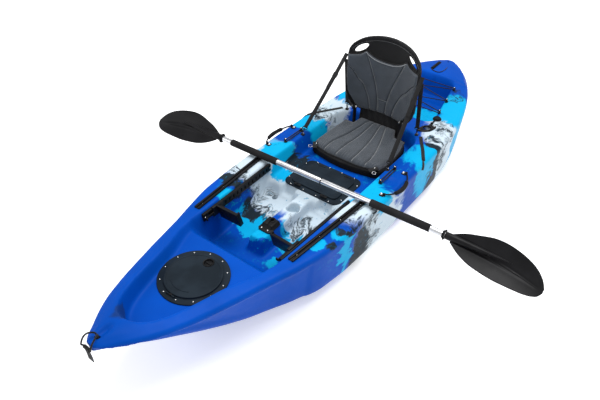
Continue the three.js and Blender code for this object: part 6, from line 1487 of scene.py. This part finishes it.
# Sewn lines of the seat pad: share across at the front, share across at the rear
SEAT_SEAMS = (-0.62, -0.24, 0.24, 0.62)


def seat_seam(share, v):
    """Share across the seat pad where a seam runs, fanning out towards the front."""
    return share * (0.42 + 0.58 * (1 - v) ** 0.75) * (1 + 0.10 * np.sin(math.pi * v))


def seat_height(u, v, sizes):
    roll = edge_roll(u, v, 0.10, 0.10)
    crown = 0.2926 + 0.0085 * (1 - u ** 4) * np.sin(math.pi * np.clip(v, 0.06, 0.94)) ** 0.35
    seams = sum(channel(u - seat_seam(share, v), 0.022) for share in SEAT_SEAMS)
    puff = 1 - np.minimum(seams, 1)
    front = np.clip((0.24 - v) / 0.24, 0, 1)
    gathers = front * (np.sin(u * 64 + 2.4 * np.sin(u * 9)) * 0.6 + 0.4 * np.sin(u * 111 + 1.7)) * 0.0016
    soft = rumple(u * 0.22, v * 0.36, 7) * 0.0016
    return PAD_BASE + seat_rise(u, v) + (
        crown - PAD_BASE + sizes.seat_crown * puff * 0.75 + gathers + soft * puff - sizes.seam_depth
        * np.minimum(seams, 1) * 0.8) * roll


class KAYAK_OT_seat(bpy.types.Operator):
    """Upholsters the seat: foam base, sewn grey pad with its seams, border piping and front tabs"""

    bl_idname = "kayak.seat"
    bl_label = "Add the seat"

    def execute(self, context):
        sizes = context.scene.kayak_sizes
        base = rounded_fitting("seat_shell", "hull", "seat foam", 0.006)
        rounded_fitting("foam_pillar", "hull", "white foam", 0.003)
        u, v = pad_grid(121)
        x, y = seat_place(u, v)
        z = seat_height(u, v, sizes)
        top = np.stack([x, y, z], 2)
        pad = pad_mesh(
            "seat_pad_cushion", top, np.stack([x, seat_place(u, v, 0)[1], np.full_like(z, 0.2776)], 2))
        dress(pad, "seat fabric", "hull", "seat_pad", slot="seat_fabric")
        pieces, rows = [], []
        for share in SEAT_SEAMS:
            vs = np.linspace(0.035, 0.965, 60)
            us = seat_seam(share, vs)
            px, py = seat_place(us, vs)
            pz = seat_height(us, vs, sizes)
            line = list(zip(px, py, pz + 0.0010))
            pieces.append(cord_piece("seat_seam", line, PIPING_RADIUS, "grey piping", 8))
            for shift in (-0.016, 0.016):
                sx, sy = seat_place(us + shift, vs)
                sz = seat_height(us + shift, vs, sizes) + 0.0003
                rows.append(stitches("seat_stitches", list(zip(sx, sy, sz))))
        dress(joined("seat_seams", pieces), "grey piping", "hull")
        dress(joined("seat_seam_stitches", rows), "black thread", "hull")
        rim_u, rim_v = pad_rim((-1, 0), (1, 0), (1, 1), (-1, 1), (-1, 0))
        for name, height, share, radius in (("seat_border_low", 0.2800, 0.0, 0.0040),
                                            ("seat_border_top", 0.2835, 0.96, 0.0022)):
            rx, ry = seat_place(rim_u, rim_v, 0.45 * share)
            rim = list(zip(rx, ry, height + share * seat_rise(rim_u, rim_v)))
            dress(cord_piece(
                name, flowing(rim[::3], True, 3), radius, "border fabric", 12, True), None, "hull")
        tabs = []
        for sign in (-1, 1):
            tabs.append(rounded_block("seat_tab", (-0.014, -0.032, -0.0011), (0.014, 0.022, 0.0011), 0.0006,
                                      Matrix.Translation((sign * 0.2005, 0.181, 0.2965)) @
                                      Matrix.Rotation(-sign * 0.55, 4, "Z") @ Matrix.Rotation(0.12, 4, "X")))
            corner = Vector((sign * 0.2155, 0.154, 0.2925))
            ring = [corner + Vector((0.011 * math.cos(a), 0.008 * math.sin(a), 0.003 * math.sin(a)))
                    for a in round_angles(20)]
            dress(cord_piece("seat_ring", ring, 0.0016, "screw steel", 8, True), None, "hull")
        dress(joined("seat_front_tabs", tabs), "webbing", "hull")
        screws("seat_tab_rivets", [((sign * 0.198, 0.189, 0.2985), (0, 0, 1)) for sign in (-1, 1)], 0.0046)
        return {"FINISHED"}


# Half outline of the backrest's board: heights of its lower and upper edges at shares across


def board_low(x):
    return np.interp(np.abs(x) / BACK_HALF, [0, 0.60, 0.76, 0.86, 0.94, 1.0],
                     [BACK_BOTTOM, BACK_BOTTOM, 0.398, 0.420, 0.452, 0.506])


def board_top(x):
    share = np.abs(x) / BACK_HALF
    return BACK_BOTTOM + BACK_HEIGHT * np.interp(
        share, [0, 0.15, 0.36, 0.5, 0.6, 0.69, 0.77, 0.84, 0.9, 0.945, 0.98, 1.0],
        [1, 0.998, 0.986, 0.971, 0.957, 0.939, 0.918, 0.893, 0.868, 0.838, 0.8, 0.745])


def across(count):
    """Places across the board, closer together at its sides."""
    return BACK_HALF * np.sin(np.linspace(-math.pi / 2, math.pi / 2, count))


def pad_low(u):
    return BACK_BOTTOM + 0.011 + 0.104 * np.clip(np.abs(u) - 0.70, 0, 1) / 0.30


def pad_high(u):
    return np.interp(np.abs(u), [0, 0.1, 0.2, 0.3, 0.4, 0.5, 0.56, 0.59, 0.63, 0.69, 0.78, 0.9, 1], [
        0.708, 0.7085, 0.711, 0.7165, 0.7255, 0.739, 0.7495, 0.751, 0.743, 0.733, 0.7275, 0.7245, 0.723])


def back_place(u, v):
    x = u * (BACK_HALF - 0.0045) * (1 - 0.06 * (1 - v) ** 3)
    return x, pad_low(u) + (pad_high(u) - pad_low(u)) * v


def back_seam(seam, v):
    """Share across the back pad where a seam runs: it flares towards the top."""
    side, foot, flare, start, reach, power = seam
    return side * (foot + flare * np.clip((v - start) / (reach - start), 0, 2) ** power)


# Side, place at the foot, flare, height where the flare starts and where it is full, power, top end
BACK_SEAMS = tuple((side, *shape) for side in (-1, 1) for shape in (
    (0.13, 0.43, 0.10, 1.0, 1.9), (0.36, 0.62, 0.0, 0.74, 2.1)))
SEAM_ENDS = (0.975, 0.73)


def back_proud(u, v, sizes):
    roll = edge_roll(u, v, 0.07, 0.05)
    seams = sum(channel(u - back_seam(seam, v), 0.026) for seam in BACK_SEAMS)
    low_arc = channel(v - 0.27, 0.014) * (np.abs(u) < 0.13)
    seams = np.minimum(seams + low_arc * 0.9, 1)
    soft = rumple(u * 0.23, v * 0.33, 21) * 0.0022
    return 0.0126 + (0.0070 + sizes.seat_crown * 0.55 * (1 - seams) + soft * (1 - seams)
                     - sizes.seam_depth * 0.7 * seams) * roll


class KAYAK_OT_backrest(bpy.types.Operator):
    """Builds the backrest: bound board with hand openings, sewn pad, fold band and brackets"""

    bl_idname = "kayak.backrest"
    bl_label = "Add the backrest"

    def execute(self, context):
        sizes = context.scene.kayak_sizes
        xs = across(97)
        share = np.linspace(0, 1, 97)
        low, high = board_low(xs), board_top(xs)
        z = low[None, :] + (high - low)[None, :] * share[:, None]
        x = np.broadcast_to(xs, z.shape)
        face = np.stack([x, back_surface(x, z, 0.0), z], 2)
        rear = np.stack([x, back_surface(x, z, -0.011), z], 2)
        board = pad_mesh("back_board_bound", face, rear)
        tools = []
        for sign in (-1, 1):
            ovals = [[Vector((0.046 * math.cos(a), depth, 0.0172 * math.sin(a))) for a in round_angles(48)]
                     for depth in (-0.08, 0.09)]
            place = Matrix.Translation((sign * HAND_OPENING[0], 0.545, HAND_OPENING[1]))
            turn = place @ Matrix.Rotation(sign * HAND_TURN, 4, "Y")
            tools.append(loft("hand_cutter", [[turn @ p for p in ring] for ring in ovals]))
        board = with_cuts(board, tools)
        smoothed(board.data)
        dress(board, "border fabric", "backrest", "back_board", slot="border_fabric")
        bindings = []
        line = [(px, back_surface(px, pz, -0.0055), pz) for px, pz in
                list(zip(xs, high)) + list(zip(xs[::-1], low[::-1]))]
        for shift in (-0.0045, 0.0045):
            bound = [(px, py + shift, pz) for px, py, pz in line[::2]]
            bindings.append(cord_piece(
                "board_binding", flowing(bound, True, 3), 0.0048, "border fabric", 10, True))
        for sign in (-1, 1):
            turn = Matrix.Rotation(sign * HAND_TURN, 4, "Y")
            for proud in (0.0008, -0.0118):
                loop = []
                for a in round_angles(48):
                    p = turn @ Vector((0.048 * math.cos(a), 0, 0.0192 * math.sin(a)))
                    px, pz = sign * HAND_OPENING[0] + p.x, HAND_OPENING[1] + p.z
                    loop.append((px, back_surface(px, pz, proud), pz))
                bindings.append(cord_piece("opening_binding", loop, 0.0032, "border fabric", 10, True))
        dress(joined("back_bindings", bindings), "border fabric", "backrest")
        arch = [(px, back_surface(px, pz, 0.0006), pz) for px, pz in
                [(BACK_HALF * 0.93 * s, float(board_top(BACK_HALF * 0.93 * s)) - 0.020) for s in
                 np.linspace(-1, 1, 80)]]
        dress(stitches("arch_stitches", arch, "grey piping"), None, "backrest")
        u, v = pad_grid(141)
        px, pz = back_place(u, v)
        front = np.stack([px, back_surface(px, pz, back_proud(u, v, sizes)), pz], 2)
        back = np.stack([px, back_surface(px, pz, 0.0006), pz], 2)
        pad = pad_mesh("back_pad_cushion", front, back)
        dress(pad, "seat fabric", "backrest", "back_pad", slot="seat_fabric")

        def on_pad(us, vs, lift=0.001):
            ax, az = back_place(us, vs)
            ay = back_surface(ax, az, back_proud(us, vs, sizes) + lift)
            return list(zip(ax, ay, az))

        runs = [np.linspace(0.03, SEAM_ENDS[k % 2], 60) for k in range(len(BACK_SEAMS))]
        lines = [on_pad(back_seam(seam, vs), vs) for seam, vs in zip(BACK_SEAMS, runs)]
        us = np.linspace(-0.125, 0.125, 20)
        lines.append(on_pad(us, np.full_like(us, 0.27)))
        seams = [cord_piece("back_seam", line, PIPING_RADIUS, "grey piping", 8) for line in lines]
        us = np.linspace(-0.58, 0.58, 120)
        crest = [(a, b - 0.004, c) for a, b, c in on_pad(us, np.full_like(us, 0.992), 0.0)]
        seams.append(cord_piece("back_crest", crest, 0.0019, "grey piping", 10))
        dress(joined("back_seams", seams), "grey piping", "backrest")
        rows = [stitches("back_stitches", on_pad(back_seam(seam, vs) + shift, vs, 0.0004))
                for seam, vs in zip(BACK_SEAMS, runs) for shift in (-0.02, 0.02)]
        dress(joined("back_pad_stitches", rows), "black thread", "backrest")
        rim_u, rim_v = pad_rim((1, 1), (1, 0), (-1, 0), (-1, 1), (1, 1))
        rx, rz = back_place(rim_u, rim_v)
        rim = list(zip(rx, back_surface(rx, rz, 0.0060), rz))
        dress(cord_piece(
            "back_pad_border", flowing(rim[::3], True, 3), 0.0052, "border fabric", 12, True), None,
            "backrest")
        self.band()
        for side, sign in SIDES:
            rounded_fitting(f"back_bracket_{side}", "hull", "black fitting plastic", 0.0012)
            caps = [
                ((sign * x, HINGE.y, HINGE.z), (sign * way, 0, 0)) for x, way in ((0.1478, -1), (0.1712, 1))]
            screws(f"bracket_rivets_{side}", caps, 0.0095)
            ears = rounded_block("back_ear", (-0.003, -0.016, -0.016), (0.003, 0.040, 0.016), 0.004,
                                 Matrix.Translation((sign * 0.1656, HINGE.y, HINGE.z)))
            dress(ears, "black fitting plastic", "backrest")
        return {"FINISHED"}

    def band(self):
        """The black band behind the pad bends where the backrest folds."""
        path = [
            (0.5395, 0.2785), (0.546, 0.300), (0.553, 0.325), (0.5575, 0.350), (0.5585, 0.372),
            (0.5600, 0.388), (0.5610, 0.396)]
        fine = [(float(np.interp(t, range(len(path)), [p[0] for p in path])),
                 float(np.interp(t, range(len(path)), [p[1] for p in path]))) for t in np.linspace(0, 6, 31)]
        xs = np.linspace(-0.140, 0.140, 61)
        face = np.array([[(x, y + 0.0012 * math.sin(x * 150 + z * 40), z) for x in xs] for y, z in fine])
        rear = face + np.array([0, 0.0075, 0])
        band = pad_mesh("fold_band_cloth", face, rear)
        dress(band, "border fabric", None)
        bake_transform(band)
        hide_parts("fold_band")


# Straps

STRAP_BREADTH = 0.025
STRAP_SAGS = {"front": 0.005, "rear": 0.002}
STRAP_X = BACK_HALF + 0.0165
ACROSS = Vector((1, 0, 0))
WEBBING_SECTION = ((-1, -0.6), (-0.94, -1), (0.94, -1), (1, -0.6), (1, 0.6), (0.94, 1), (-0.94, 1), (-1, 0.6))


def way_at(points, i):
    """The way along a line of points at one of them."""
    return (points[min(i + 1, len(points) - 1)] - points[max(i - 1, 0)]).normalized()


def ribbon(name, points, wide, thick):
    """Webbing along points, its width lying across the boat."""
    rings = []
    for i, p in enumerate(points):
        way = way_at(points, i)
        lift = way.cross(ACROSS).normalized()
        out = lift.cross(way).normalized()
        rings.append([p + out * (a * wide / 2) + lift * (b * thick / 2) for a, b in WEBBING_SECTION])
    return loft(name, rings)


def strap_rows(points):
    """Paths of the stitches along both edges of a strap."""
    return [[p + ACROSS * (s * STRAP_BREADTH * 0.40) for p in points] for s in (-1, 1)]


class KAYAK_OT_straps(bpy.types.Operator):
    """Stretches the seat straps from their eyes to the backrest, with hooks, slides and loose tails"""

    bl_idname = "kayak.straps"
    bl_label = "Add the straps"

    def execute(self, context):
        for side, sign in SIDES:
            for kind, eye, height, slide_at in (("front", (0.284, 0.172, 0.3518), 0.330, 0.72),
                                                ("rear", (0.242, 0.571, 0.3518), 0.296, None)):
                end = Vector((sign * STRAP_X, back_surface(BACK_HALF, BACK_BOTTOM + height, -0.0055),
                              BACK_BOTTOM + height))
                start = Vector((sign * eye[0], eye[1], eye[2]))
                way = (end - start).normalized()
                face = ACROSS.cross(way).normalized()
                foot = start + way * 0.028
                count = 25
                line = []
                for k in range(count):
                    t = k / (count - 1)
                    sag = math.sin(math.pi * t) * STRAP_SAGS[kind]
                    line.append(foot.lerp(end, t) - Vector((0, 0, sag)))
                strap = ribbon(f"{kind}_strap_{side}_webbing", line, STRAP_BREADTH, 0.0020)
                pieces = [strap]
                if slide_at:
                    at = foot.lerp(end, slide_at) - Vector((
                        0, 0, math.sin(math.pi * slide_at) * STRAP_SAGS[kind]))
                    span = [at - way * 0.014 + way * 0.028 * k / 8 for k in range(9)]
                    pieces.append(ribbon("strap_slide", span, STRAP_BREADTH + 0.005, 0.0085))
                    fold = [at - way * 0.085 + way * 0.075 * k / 8 + face * 0.0034 for k in range(9)]
                    pieces.append(ribbon("strap_fold", fold, STRAP_BREADTH - 0.0005, 0.0018))
                piece = joined(f"{kind}_strap_{side}_whole", pieces)
                dress(piece, "webbing", None)
                rows = [stitches("strap_row", row, "grey piping", 0.0004)
                        for row in strap_rows(line[14:] if kind == "front" else line[8:])]
                thread = dress(joined(f"{kind}_strap_{side}_thread", rows), "black thread", None)
                for item in (piece, thread):
                    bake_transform(item)
                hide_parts(f"{kind}_strap_{side}")
                self.hook(start, way, face)
            self.tail(side, sign)
        return {"FINISHED"}

    def hook(self, start, way, face):
        """A snap hook over a pad eye, its bar through the webbing's loop."""
        loop = []
        for a in round_angles(20):
            loop.append(start + way * (0.010 + 0.013 * math.cos(a)) + face * (0.0062 * math.sin(a)))
        dress(cord_piece("strap_hook", loop, 0.0022, "black fitting plastic", 10, True), None, "hull")
        bar = start + way * 0.026
        frame_line = [
            bar + ACROSS * (0.0145 * c) + way * (0.0052 * s) + face * 0.0004
            for c, s in ((-1, -1), (-0.5, -1.15), (0.5, -1.15), (1, -1), (1, 1), (0.5, 1.1), (-0.5, 1.1),
            (-1, 1))]
        dress(cord_piece(
            "strap_bar", flowing(frame_line, True, 4), 0.0021, "black fitting plastic", 10, True), None,
            "hull")

    def tail(self, side, sign):
        path = [
            (0.272, 0.566, 0.3368), (0.300, 0.520, 0.3372), (0.345, 0.452, 0.3368), (0.375, 0.400, 0.3366),
            (0.392, 0.372, 0.3352), (0.4045, 0.352, 0.3280), (0.4125, 0.338, 0.3150),
            (0.4155, 0.3295, 0.2990)]
        line = flowing([(sign * x, y, z) for x, y, z in path], steps=6)
        rings = []
        for i, p in enumerate(line):
            way = way_at(line, i)
            up = Vector((0, 0, 1))
            out = up if i < len(line) * 0.6 else Vector((sign, 0, 0)).lerp(up, 0.35)
            wide = out.cross(way).normalized()
            lift = way.cross(wide).normalized()
            rings.append([p + wide * (a * 0.0095) + lift * (b * 0.0010) for a, b in WEBBING_SECTION])
        tail = loft(f"strap_tail_{side}_webbing", rings)
        dress(tail, "webbing", "hull", f"strap_tail_{side}")


# Paddle

PADDLE_YAW = 0.035
PADDLE_TILT = 0.0068181
PADDLE_HALF = 1.150
BLADE_ROOT = 0.682
ROLLS = {"port": 0.60, "starboard": -0.78}


def paddle_place(sign):
    place = Matrix.Translation((0.085, -0.150, 0.36027)) @ Matrix.Rotation(PADDLE_YAW, 4, "Z")
    place = place @ Matrix.Rotation(PADDLE_TILT, 4, "Y")
    return place if sign > 0 else place @ Matrix.Rotation(math.pi, 4, "Z")


def turned_along_x(name, profile, sides):
    """A ring of revolution about X from (radius, place) pairs."""
    return lathe(name, profile, Matrix.Rotation(math.pi / 2, 4, "Y"), sides, closed=True)


# The blade's edges, as in the part's source: place along it, upper and lower edge as shares of its width
BLADE_EDGES = np.array([
    [0, 0.106, -0.128], [0.1, 0.223, -0.287], [0.25, 0.33, -0.441], [0.4, 0.41, -0.516], [0.52, 0.41, -0.553],
    [0.65, 0.351, -0.564], [0.76, 0.266, -0.564], [0.85, 0.16, -0.553], [0.925, 0.021, -0.516],
    [0.975, -0.128, -0.447], [1, -0.245, -0.351],
])


def smooth_table(at, places, values):
    """A smooth curve through a table, read at places along it."""
    slopes = np.gradient(values, places)
    i = np.clip(np.searchsorted(places, at) - 1, 0, len(places) - 2)
    run = places[i + 1] - places[i]
    t = (at - places[i]) / run
    return ((2 * t ** 3 - 3 * t ** 2 + 1) * values[i] + (t ** 3 - 2 * t ** 2 + t) * run * slopes[i]
            + (3 * t ** 2 - 2 * t ** 3) * values[i + 1] + (t ** 3 - t ** 2) * run * slopes[i + 1])


def blade_mesh(name, roll, side, power_up):
    """The blade: a dished spoon with a channel down its face, a rib on its back and a fine rim."""
    start, length = BLADE_ROOT + 0.030, PADDLE_HALF - BLADE_ROOT - 0.030
    t = 1 - (1 - np.linspace(0, 1, 90)) ** 1.25
    u = np.sin(np.linspace(-math.pi / 2, math.pi / 2, 71))
    tt, uu = np.meshgrid(t, u, indexing="ij")
    high, low = (0.188 * smooth_table(tt, BLADE_EDGES[:, 0], BLADE_EDGES[:, k]) for k in (1, 2))
    w = (high + low) / 2 + side * uu * (high - low) / 2
    spine_line = -0.062 * tt ** 2
    off = w - spine_line
    surface = -0.016 * np.sin(math.pi * tt) * (1 - uu * uu)
    thick = 0.0052 * (1 - tt * 0.5) * np.sqrt(np.clip(1 - np.abs(uu) ** 8, 0.02, 1))
    fade = np.clip((0.95 - tt) / 0.25, 0, 1)
    narrow = 0.0125 * (1 - 0.72 * tt)
    rise = 1 / (1 + np.exp((np.abs(off) - narrow * 1.5) / (0.0016 + 0.0008 * (1 - tt))))
    rim = channel(np.abs(uu) - 0.955, 0.022) * 0.0007
    trough = 0.0046 * rise * fade - 0.0030 * channel(off, narrow * 0.42) * fade
    face_lift = thick / 2 + rim - trough * np.clip(tt / 0.06, 0, 1)
    back_lift = thick / 2 + rim + 0.0046 * rise * fade + 0.0062 * channel(off, narrow) * (1 - tt)
    upper, lower = (face_lift, back_lift) if power_up else (back_lift, face_lift)
    x = start + tt * length
    w = w * side
    top = np.stack([x, w, surface + upper], 2)
    base = np.stack([x, w, surface - lower], 2)
    blade = pad_mesh(name, top, base)
    socket = turned_along_x("blade_socket", [
        (0.0153, BLADE_ROOT), (0.0176, BLADE_ROOT), (0.0182, BLADE_ROOT + 0.0012),
        (0.0182, BLADE_ROOT + 0.045), (0.0172, BLADE_ROOT + 0.075), (0.0140, BLADE_ROOT + 0.13),
        (0.0095, BLADE_ROOT + 0.20), (0.0050, BLADE_ROOT + 0.27), (0.0012, BLADE_ROOT + 0.31),
        (0.0004, BLADE_ROOT + 0.31), (0.0004, BLADE_ROOT + 0.0555), (0.0153, BLADE_ROOT + 0.0555)], 40)
    whole = joined(name, [blade, socket])
    whole.data.transform(Matrix.Rotation(roll, 4, "X"))
    return whole


class KAYAK_OT_paddle(bpy.types.Operator):
    """Builds the paddle: shafts, foam grips, drip rings, ferrule with its button and two blades"""

    bl_idname = "kayak.paddle"
    bl_label = "Add the paddle"

    def execute(self, context):
        end = BLADE_ROOT + 0.055
        for side, sign in SIDES:
            place = paddle_place(sign)
            body = f"paddle_{side}"
            shaft = turned_along_x("shaft", [
                (0.0134, 0.00015), (0.0148, 0.00015), (0.015, 0.0006), (0.015, end), (0.0134, end)], 56)
            grip_profile = [(0.0153, 0.287), (0.0178, 0.287), (0.0190, 0.2885), (0.0194, 0.2915)]
            grip_profile += [(0.0195 - 0.0003 * (k % 2), 0.296 + 0.300 * k / 60) for k in range(61)]
            grip_profile += [(0.0194, 0.6005), (0.0190, 0.6035), (0.0178, 0.605), (0.0153, 0.605)]
            grip = turned_along_x("grip", grip_profile, 48)
            ring = turned_along_x("ring", [
                (0.0153, 0.667), (0.0180, 0.667), (0.0188, 0.668), (0.0196, 0.6705), (0.0225, 0.6735),
                (0.0258, 0.6765), (0.0270, 0.6782), (0.0268, 0.679), (0.0250, 0.679), (0.0222, 0.6768),
                (0.0195, 0.6750), (0.0186, 0.679), (0.0153, 0.679)], 56)
            blade = blade_mesh("blade", ROLLS[side], sign, sign > 0)
            if sign > 0:
                hole = rod("button_hole", (0.040, 0, 0), (0.040, 0, 0.03), 0.0037, 24)
                shaft = with_cuts(shaft, [hole])
            for piece, material, cad in ((shaft, "shaft aluminium", f"paddle_shaft_{side}"),
                                         (grip, "foam grip", f"paddle_grip_{side}"),
                                         (ring, "black rubber", f"drip_ring_{side}"),
                                         (blade, "blade plastic", f"paddle_blade_{side}")):
                piece.name = f"{cad}_whole"
                piece.data.transform(place)
                outward(piece)
                smoothed(piece.data)
                dress(piece, material, body, cad)
        place = paddle_place(1)
        sleeve = turned_along_x("paddle_ferrule_whole", [(0.0115, -0.075), (0.0131, -0.075), (0.0131, 0.075),
                                                         (0.0115, 0.075)], 40)
        sleeve.data.transform(place)
        dress(sleeve, "black fitting plastic", "paddle_port", "paddle_ferrule")
        joint = turned_along_x("paddle_joint_ring", [(0.0150, -0.0055), (0.0156, -0.0055), (0.0160, -0.004),
                                                     (0.0160, -0.0006), (0.0150, -0.0006)], 48)
        joint.data.transform(place)
        dress(joint, "black fitting plastic", "paddle_starboard")
        button = lathe("ferrule_button_whole", [(0.0003, 0.0085), (0.0034, 0.0085), (0.0034, 0.0158),
                                                (0.0028, 0.0164), (0.0003, 0.0166)],
                       place @ Matrix.Translation((0.040, 0, 0)), 24)
        dress(button, "screw steel", "ferrule_button", "ferrule_button")
        return {"FINISHED"}


# Material of every CAD node, by the start of its name
FINISHES = (
    ("bow_hatch_lid", "hatch lid plastic"), ("center_hatch_lid", "hatch lid plastic"),
    ("gear_track", "black anodised aluminium"), ("seat_shell", "seat foam"), ("seat_pad", "seat fabric"),
    ("back_board", "border fabric"), ("back_pad", "seat fabric"), ("fold_band", "border fabric"),
    ("front_strap", "webbing"), ("rear_strap", "webbing"), ("strap_tail", "webbing"), ("bow_tab", "webbing"),
    ("bow_loop", "braided cord"), ("tank_bungee", "braided cord"), ("side_bungee", "braided cord"),
    ("foam_pillar", "white foam"), ("paddle_shaft", "shaft aluminium"), ("paddle_grip", "foam grip"),
    ("paddle_blade", "blade plastic"), ("drip_ring", "black rubber"), ("ferrule_button", "screw steel"),
    ("side_handle", "black rubber"), ("stern_grip", "black rubber"), ("drain_plug", "black rubber"),
    ("rod_cap", "black rubber"), ("bow_hatch_gasket", "black rubber"),
    ("center_hatch_gasket", "black rubber"), ("hull", "kayak hull plastic"), ("", "black fitting plastic"),
)


def dress_remaining():
    """Gives every CAD node its material."""
    for name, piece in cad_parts.items():
        finish = next(material for start, material in FINISHES if name.startswith(start))
        piece.data.materials.clear()
        piece.data.materials.append(MATERIALS[finish])


# Stage


class KAYAK_OT_stage(bpy.types.Operator):
    """Sets the pale floor, the soft lights, the white surroundings and the camera"""

    bl_idname = "kayak.stage"
    bl_label = "Set the stage"

    def execute(self, context):
        studio = context.scene.kayak_studio
        floor = placed_mesh("floor", [
            (-30, -30, -0.0005), (30, -30, -0.0005), (30, 30, -0.0005), (-30, 30, -0.0005)], [(0, 1, 2, 3)],
            smooth=False)
        tree, shader, place = new_surface("pale floor", 0.9)
        shade = noise(tree, place, 0.7, 2.0)
        low, high = studio.floor_shade * 0.995, studio.floor_shade
        tree.links.new(mix_colour(tree, shade, solid((low, low, low)), solid((high, high, high))),
                       shader.inputs["Base Color"])
        shader.inputs["Emission Color"].default_value = (1, 1, 1, 1)
        shader.inputs["Emission Strength"].default_value = 0.42
        floor.data.materials.append(MATERIALS["pale floor"])
        world = bpy.data.worlds.new("white surroundings")
        world.use_nodes = True
        background = world.node_tree.nodes["Background"]
        background.inputs["Color"].default_value = (1, 1, 1, 1)
        background.inputs["Strength"].default_value = studio.sky_strength
        context.scene.world = world
        self.light("overhead light", (0.3, 0.6, 4.2), (0, 0, 0), 3.2, studio.key_power)
        self.light("camera side light", (-2.6, -3.2, 2.6), (0, -0.6, 0.2), 2.4, studio.fill_power)
        camera = added("photo camera", bpy.data.cameras.new("photo camera"))
        camera.data.sensor_width = SENSOR_WIDTH
        camera.data.lens = FOCAL_PIXELS / PHOTO_WIDTH * SENSOR_WIDTH
        camera.location = CAMERA_PLACE
        back = Vector((math.sin(CAMERA_AZIMUTH) * math.cos(CAMERA_ELEVATION),
                       -math.cos(CAMERA_AZIMUTH) * math.cos(CAMERA_ELEVATION), math.sin(CAMERA_ELEVATION)))
        camera.rotation_euler = (-back).to_track_quat("-Z", "Y").to_euler()
        context.scene.camera = camera
        context.scene.view_settings.view_transform = "Standard"
        return {"FINISHED"}

    def light(self, name, place, target, size, power):
        lamp = bpy.data.lights.new(name, "AREA")
        lamp.shape = "DISK"
        lamp.size = size
        lamp.energy = power
        holder = added(name, lamp)
        holder.location = place
        holder.rotation_euler = (Vector(target) - Vector(place)).to_track_quat("-Z", "Y").to_euler()


OPERATORS = (
    KAYAK_OT_hull, KAYAK_OT_bow_hatch, KAYAK_OT_center_hatch, KAYAK_OT_foot_well, KAYAK_OT_handles,
    KAYAK_OT_rod_holders, KAYAK_OT_deck_cords, KAYAK_OT_end_cords, KAYAK_OT_seat, KAYAK_OT_backrest,
    KAYAK_OT_straps, KAYAK_OT_paddle, KAYAK_OT_stage,
)


class KAYAK_PT_panel(bpy.types.Panel):
    """Lists the kayak's steps, sizes and colours"""

    bl_idname = "KAYAK_PT_panel"
    bl_label = "Fishing kayak"
    bl_space_type = "VIEW_3D"
    bl_region_type = "UI"
    bl_category = "Kayak"

    def draw(self, context):
        for step in OPERATORS:
            self.layout.operator(step.bl_idname)
        for holder in (context.scene.kayak_sizes, context.scene.kayak_colours, context.scene.kayak_studio):
            column = self.layout.column()
            for key in holder.__annotations__:
                column.prop(holder, key)


CLASSES = (KayakSizes, KayakColours, KayakStudio, *OPERATORS, KAYAK_PT_panel)


def register():
    for cls in CLASSES:
        bpy.utils.register_class(cls)
    bpy.types.Scene.kayak_sizes = bpy.props.PointerProperty(type=KayakSizes)
    bpy.types.Scene.kayak_colours = bpy.props.PointerProperty(type=KayakColours)
    bpy.types.Scene.kayak_studio = bpy.props.PointerProperty(type=KayakStudio)


def unregister():
    del bpy.types.Scene.kayak_studio
    del bpy.types.Scene.kayak_colours
    del bpy.types.Scene.kayak_sizes
    for cls in reversed(CLASSES):
        bpy.utils.unregister_class(cls)


def main():
    register()
    make_materials(bpy.context.scene.kayak_colours)
    TREES.update(cord=cord_tree(), head=head_tree(), stitch=stitch_tree())
    for step in OPERATORS:
        group, name = step.bl_idname.split(".")
        getattr(getattr(bpy.ops, group), name)()
    dress_remaining()


if __name__ == "__main__":
    main()
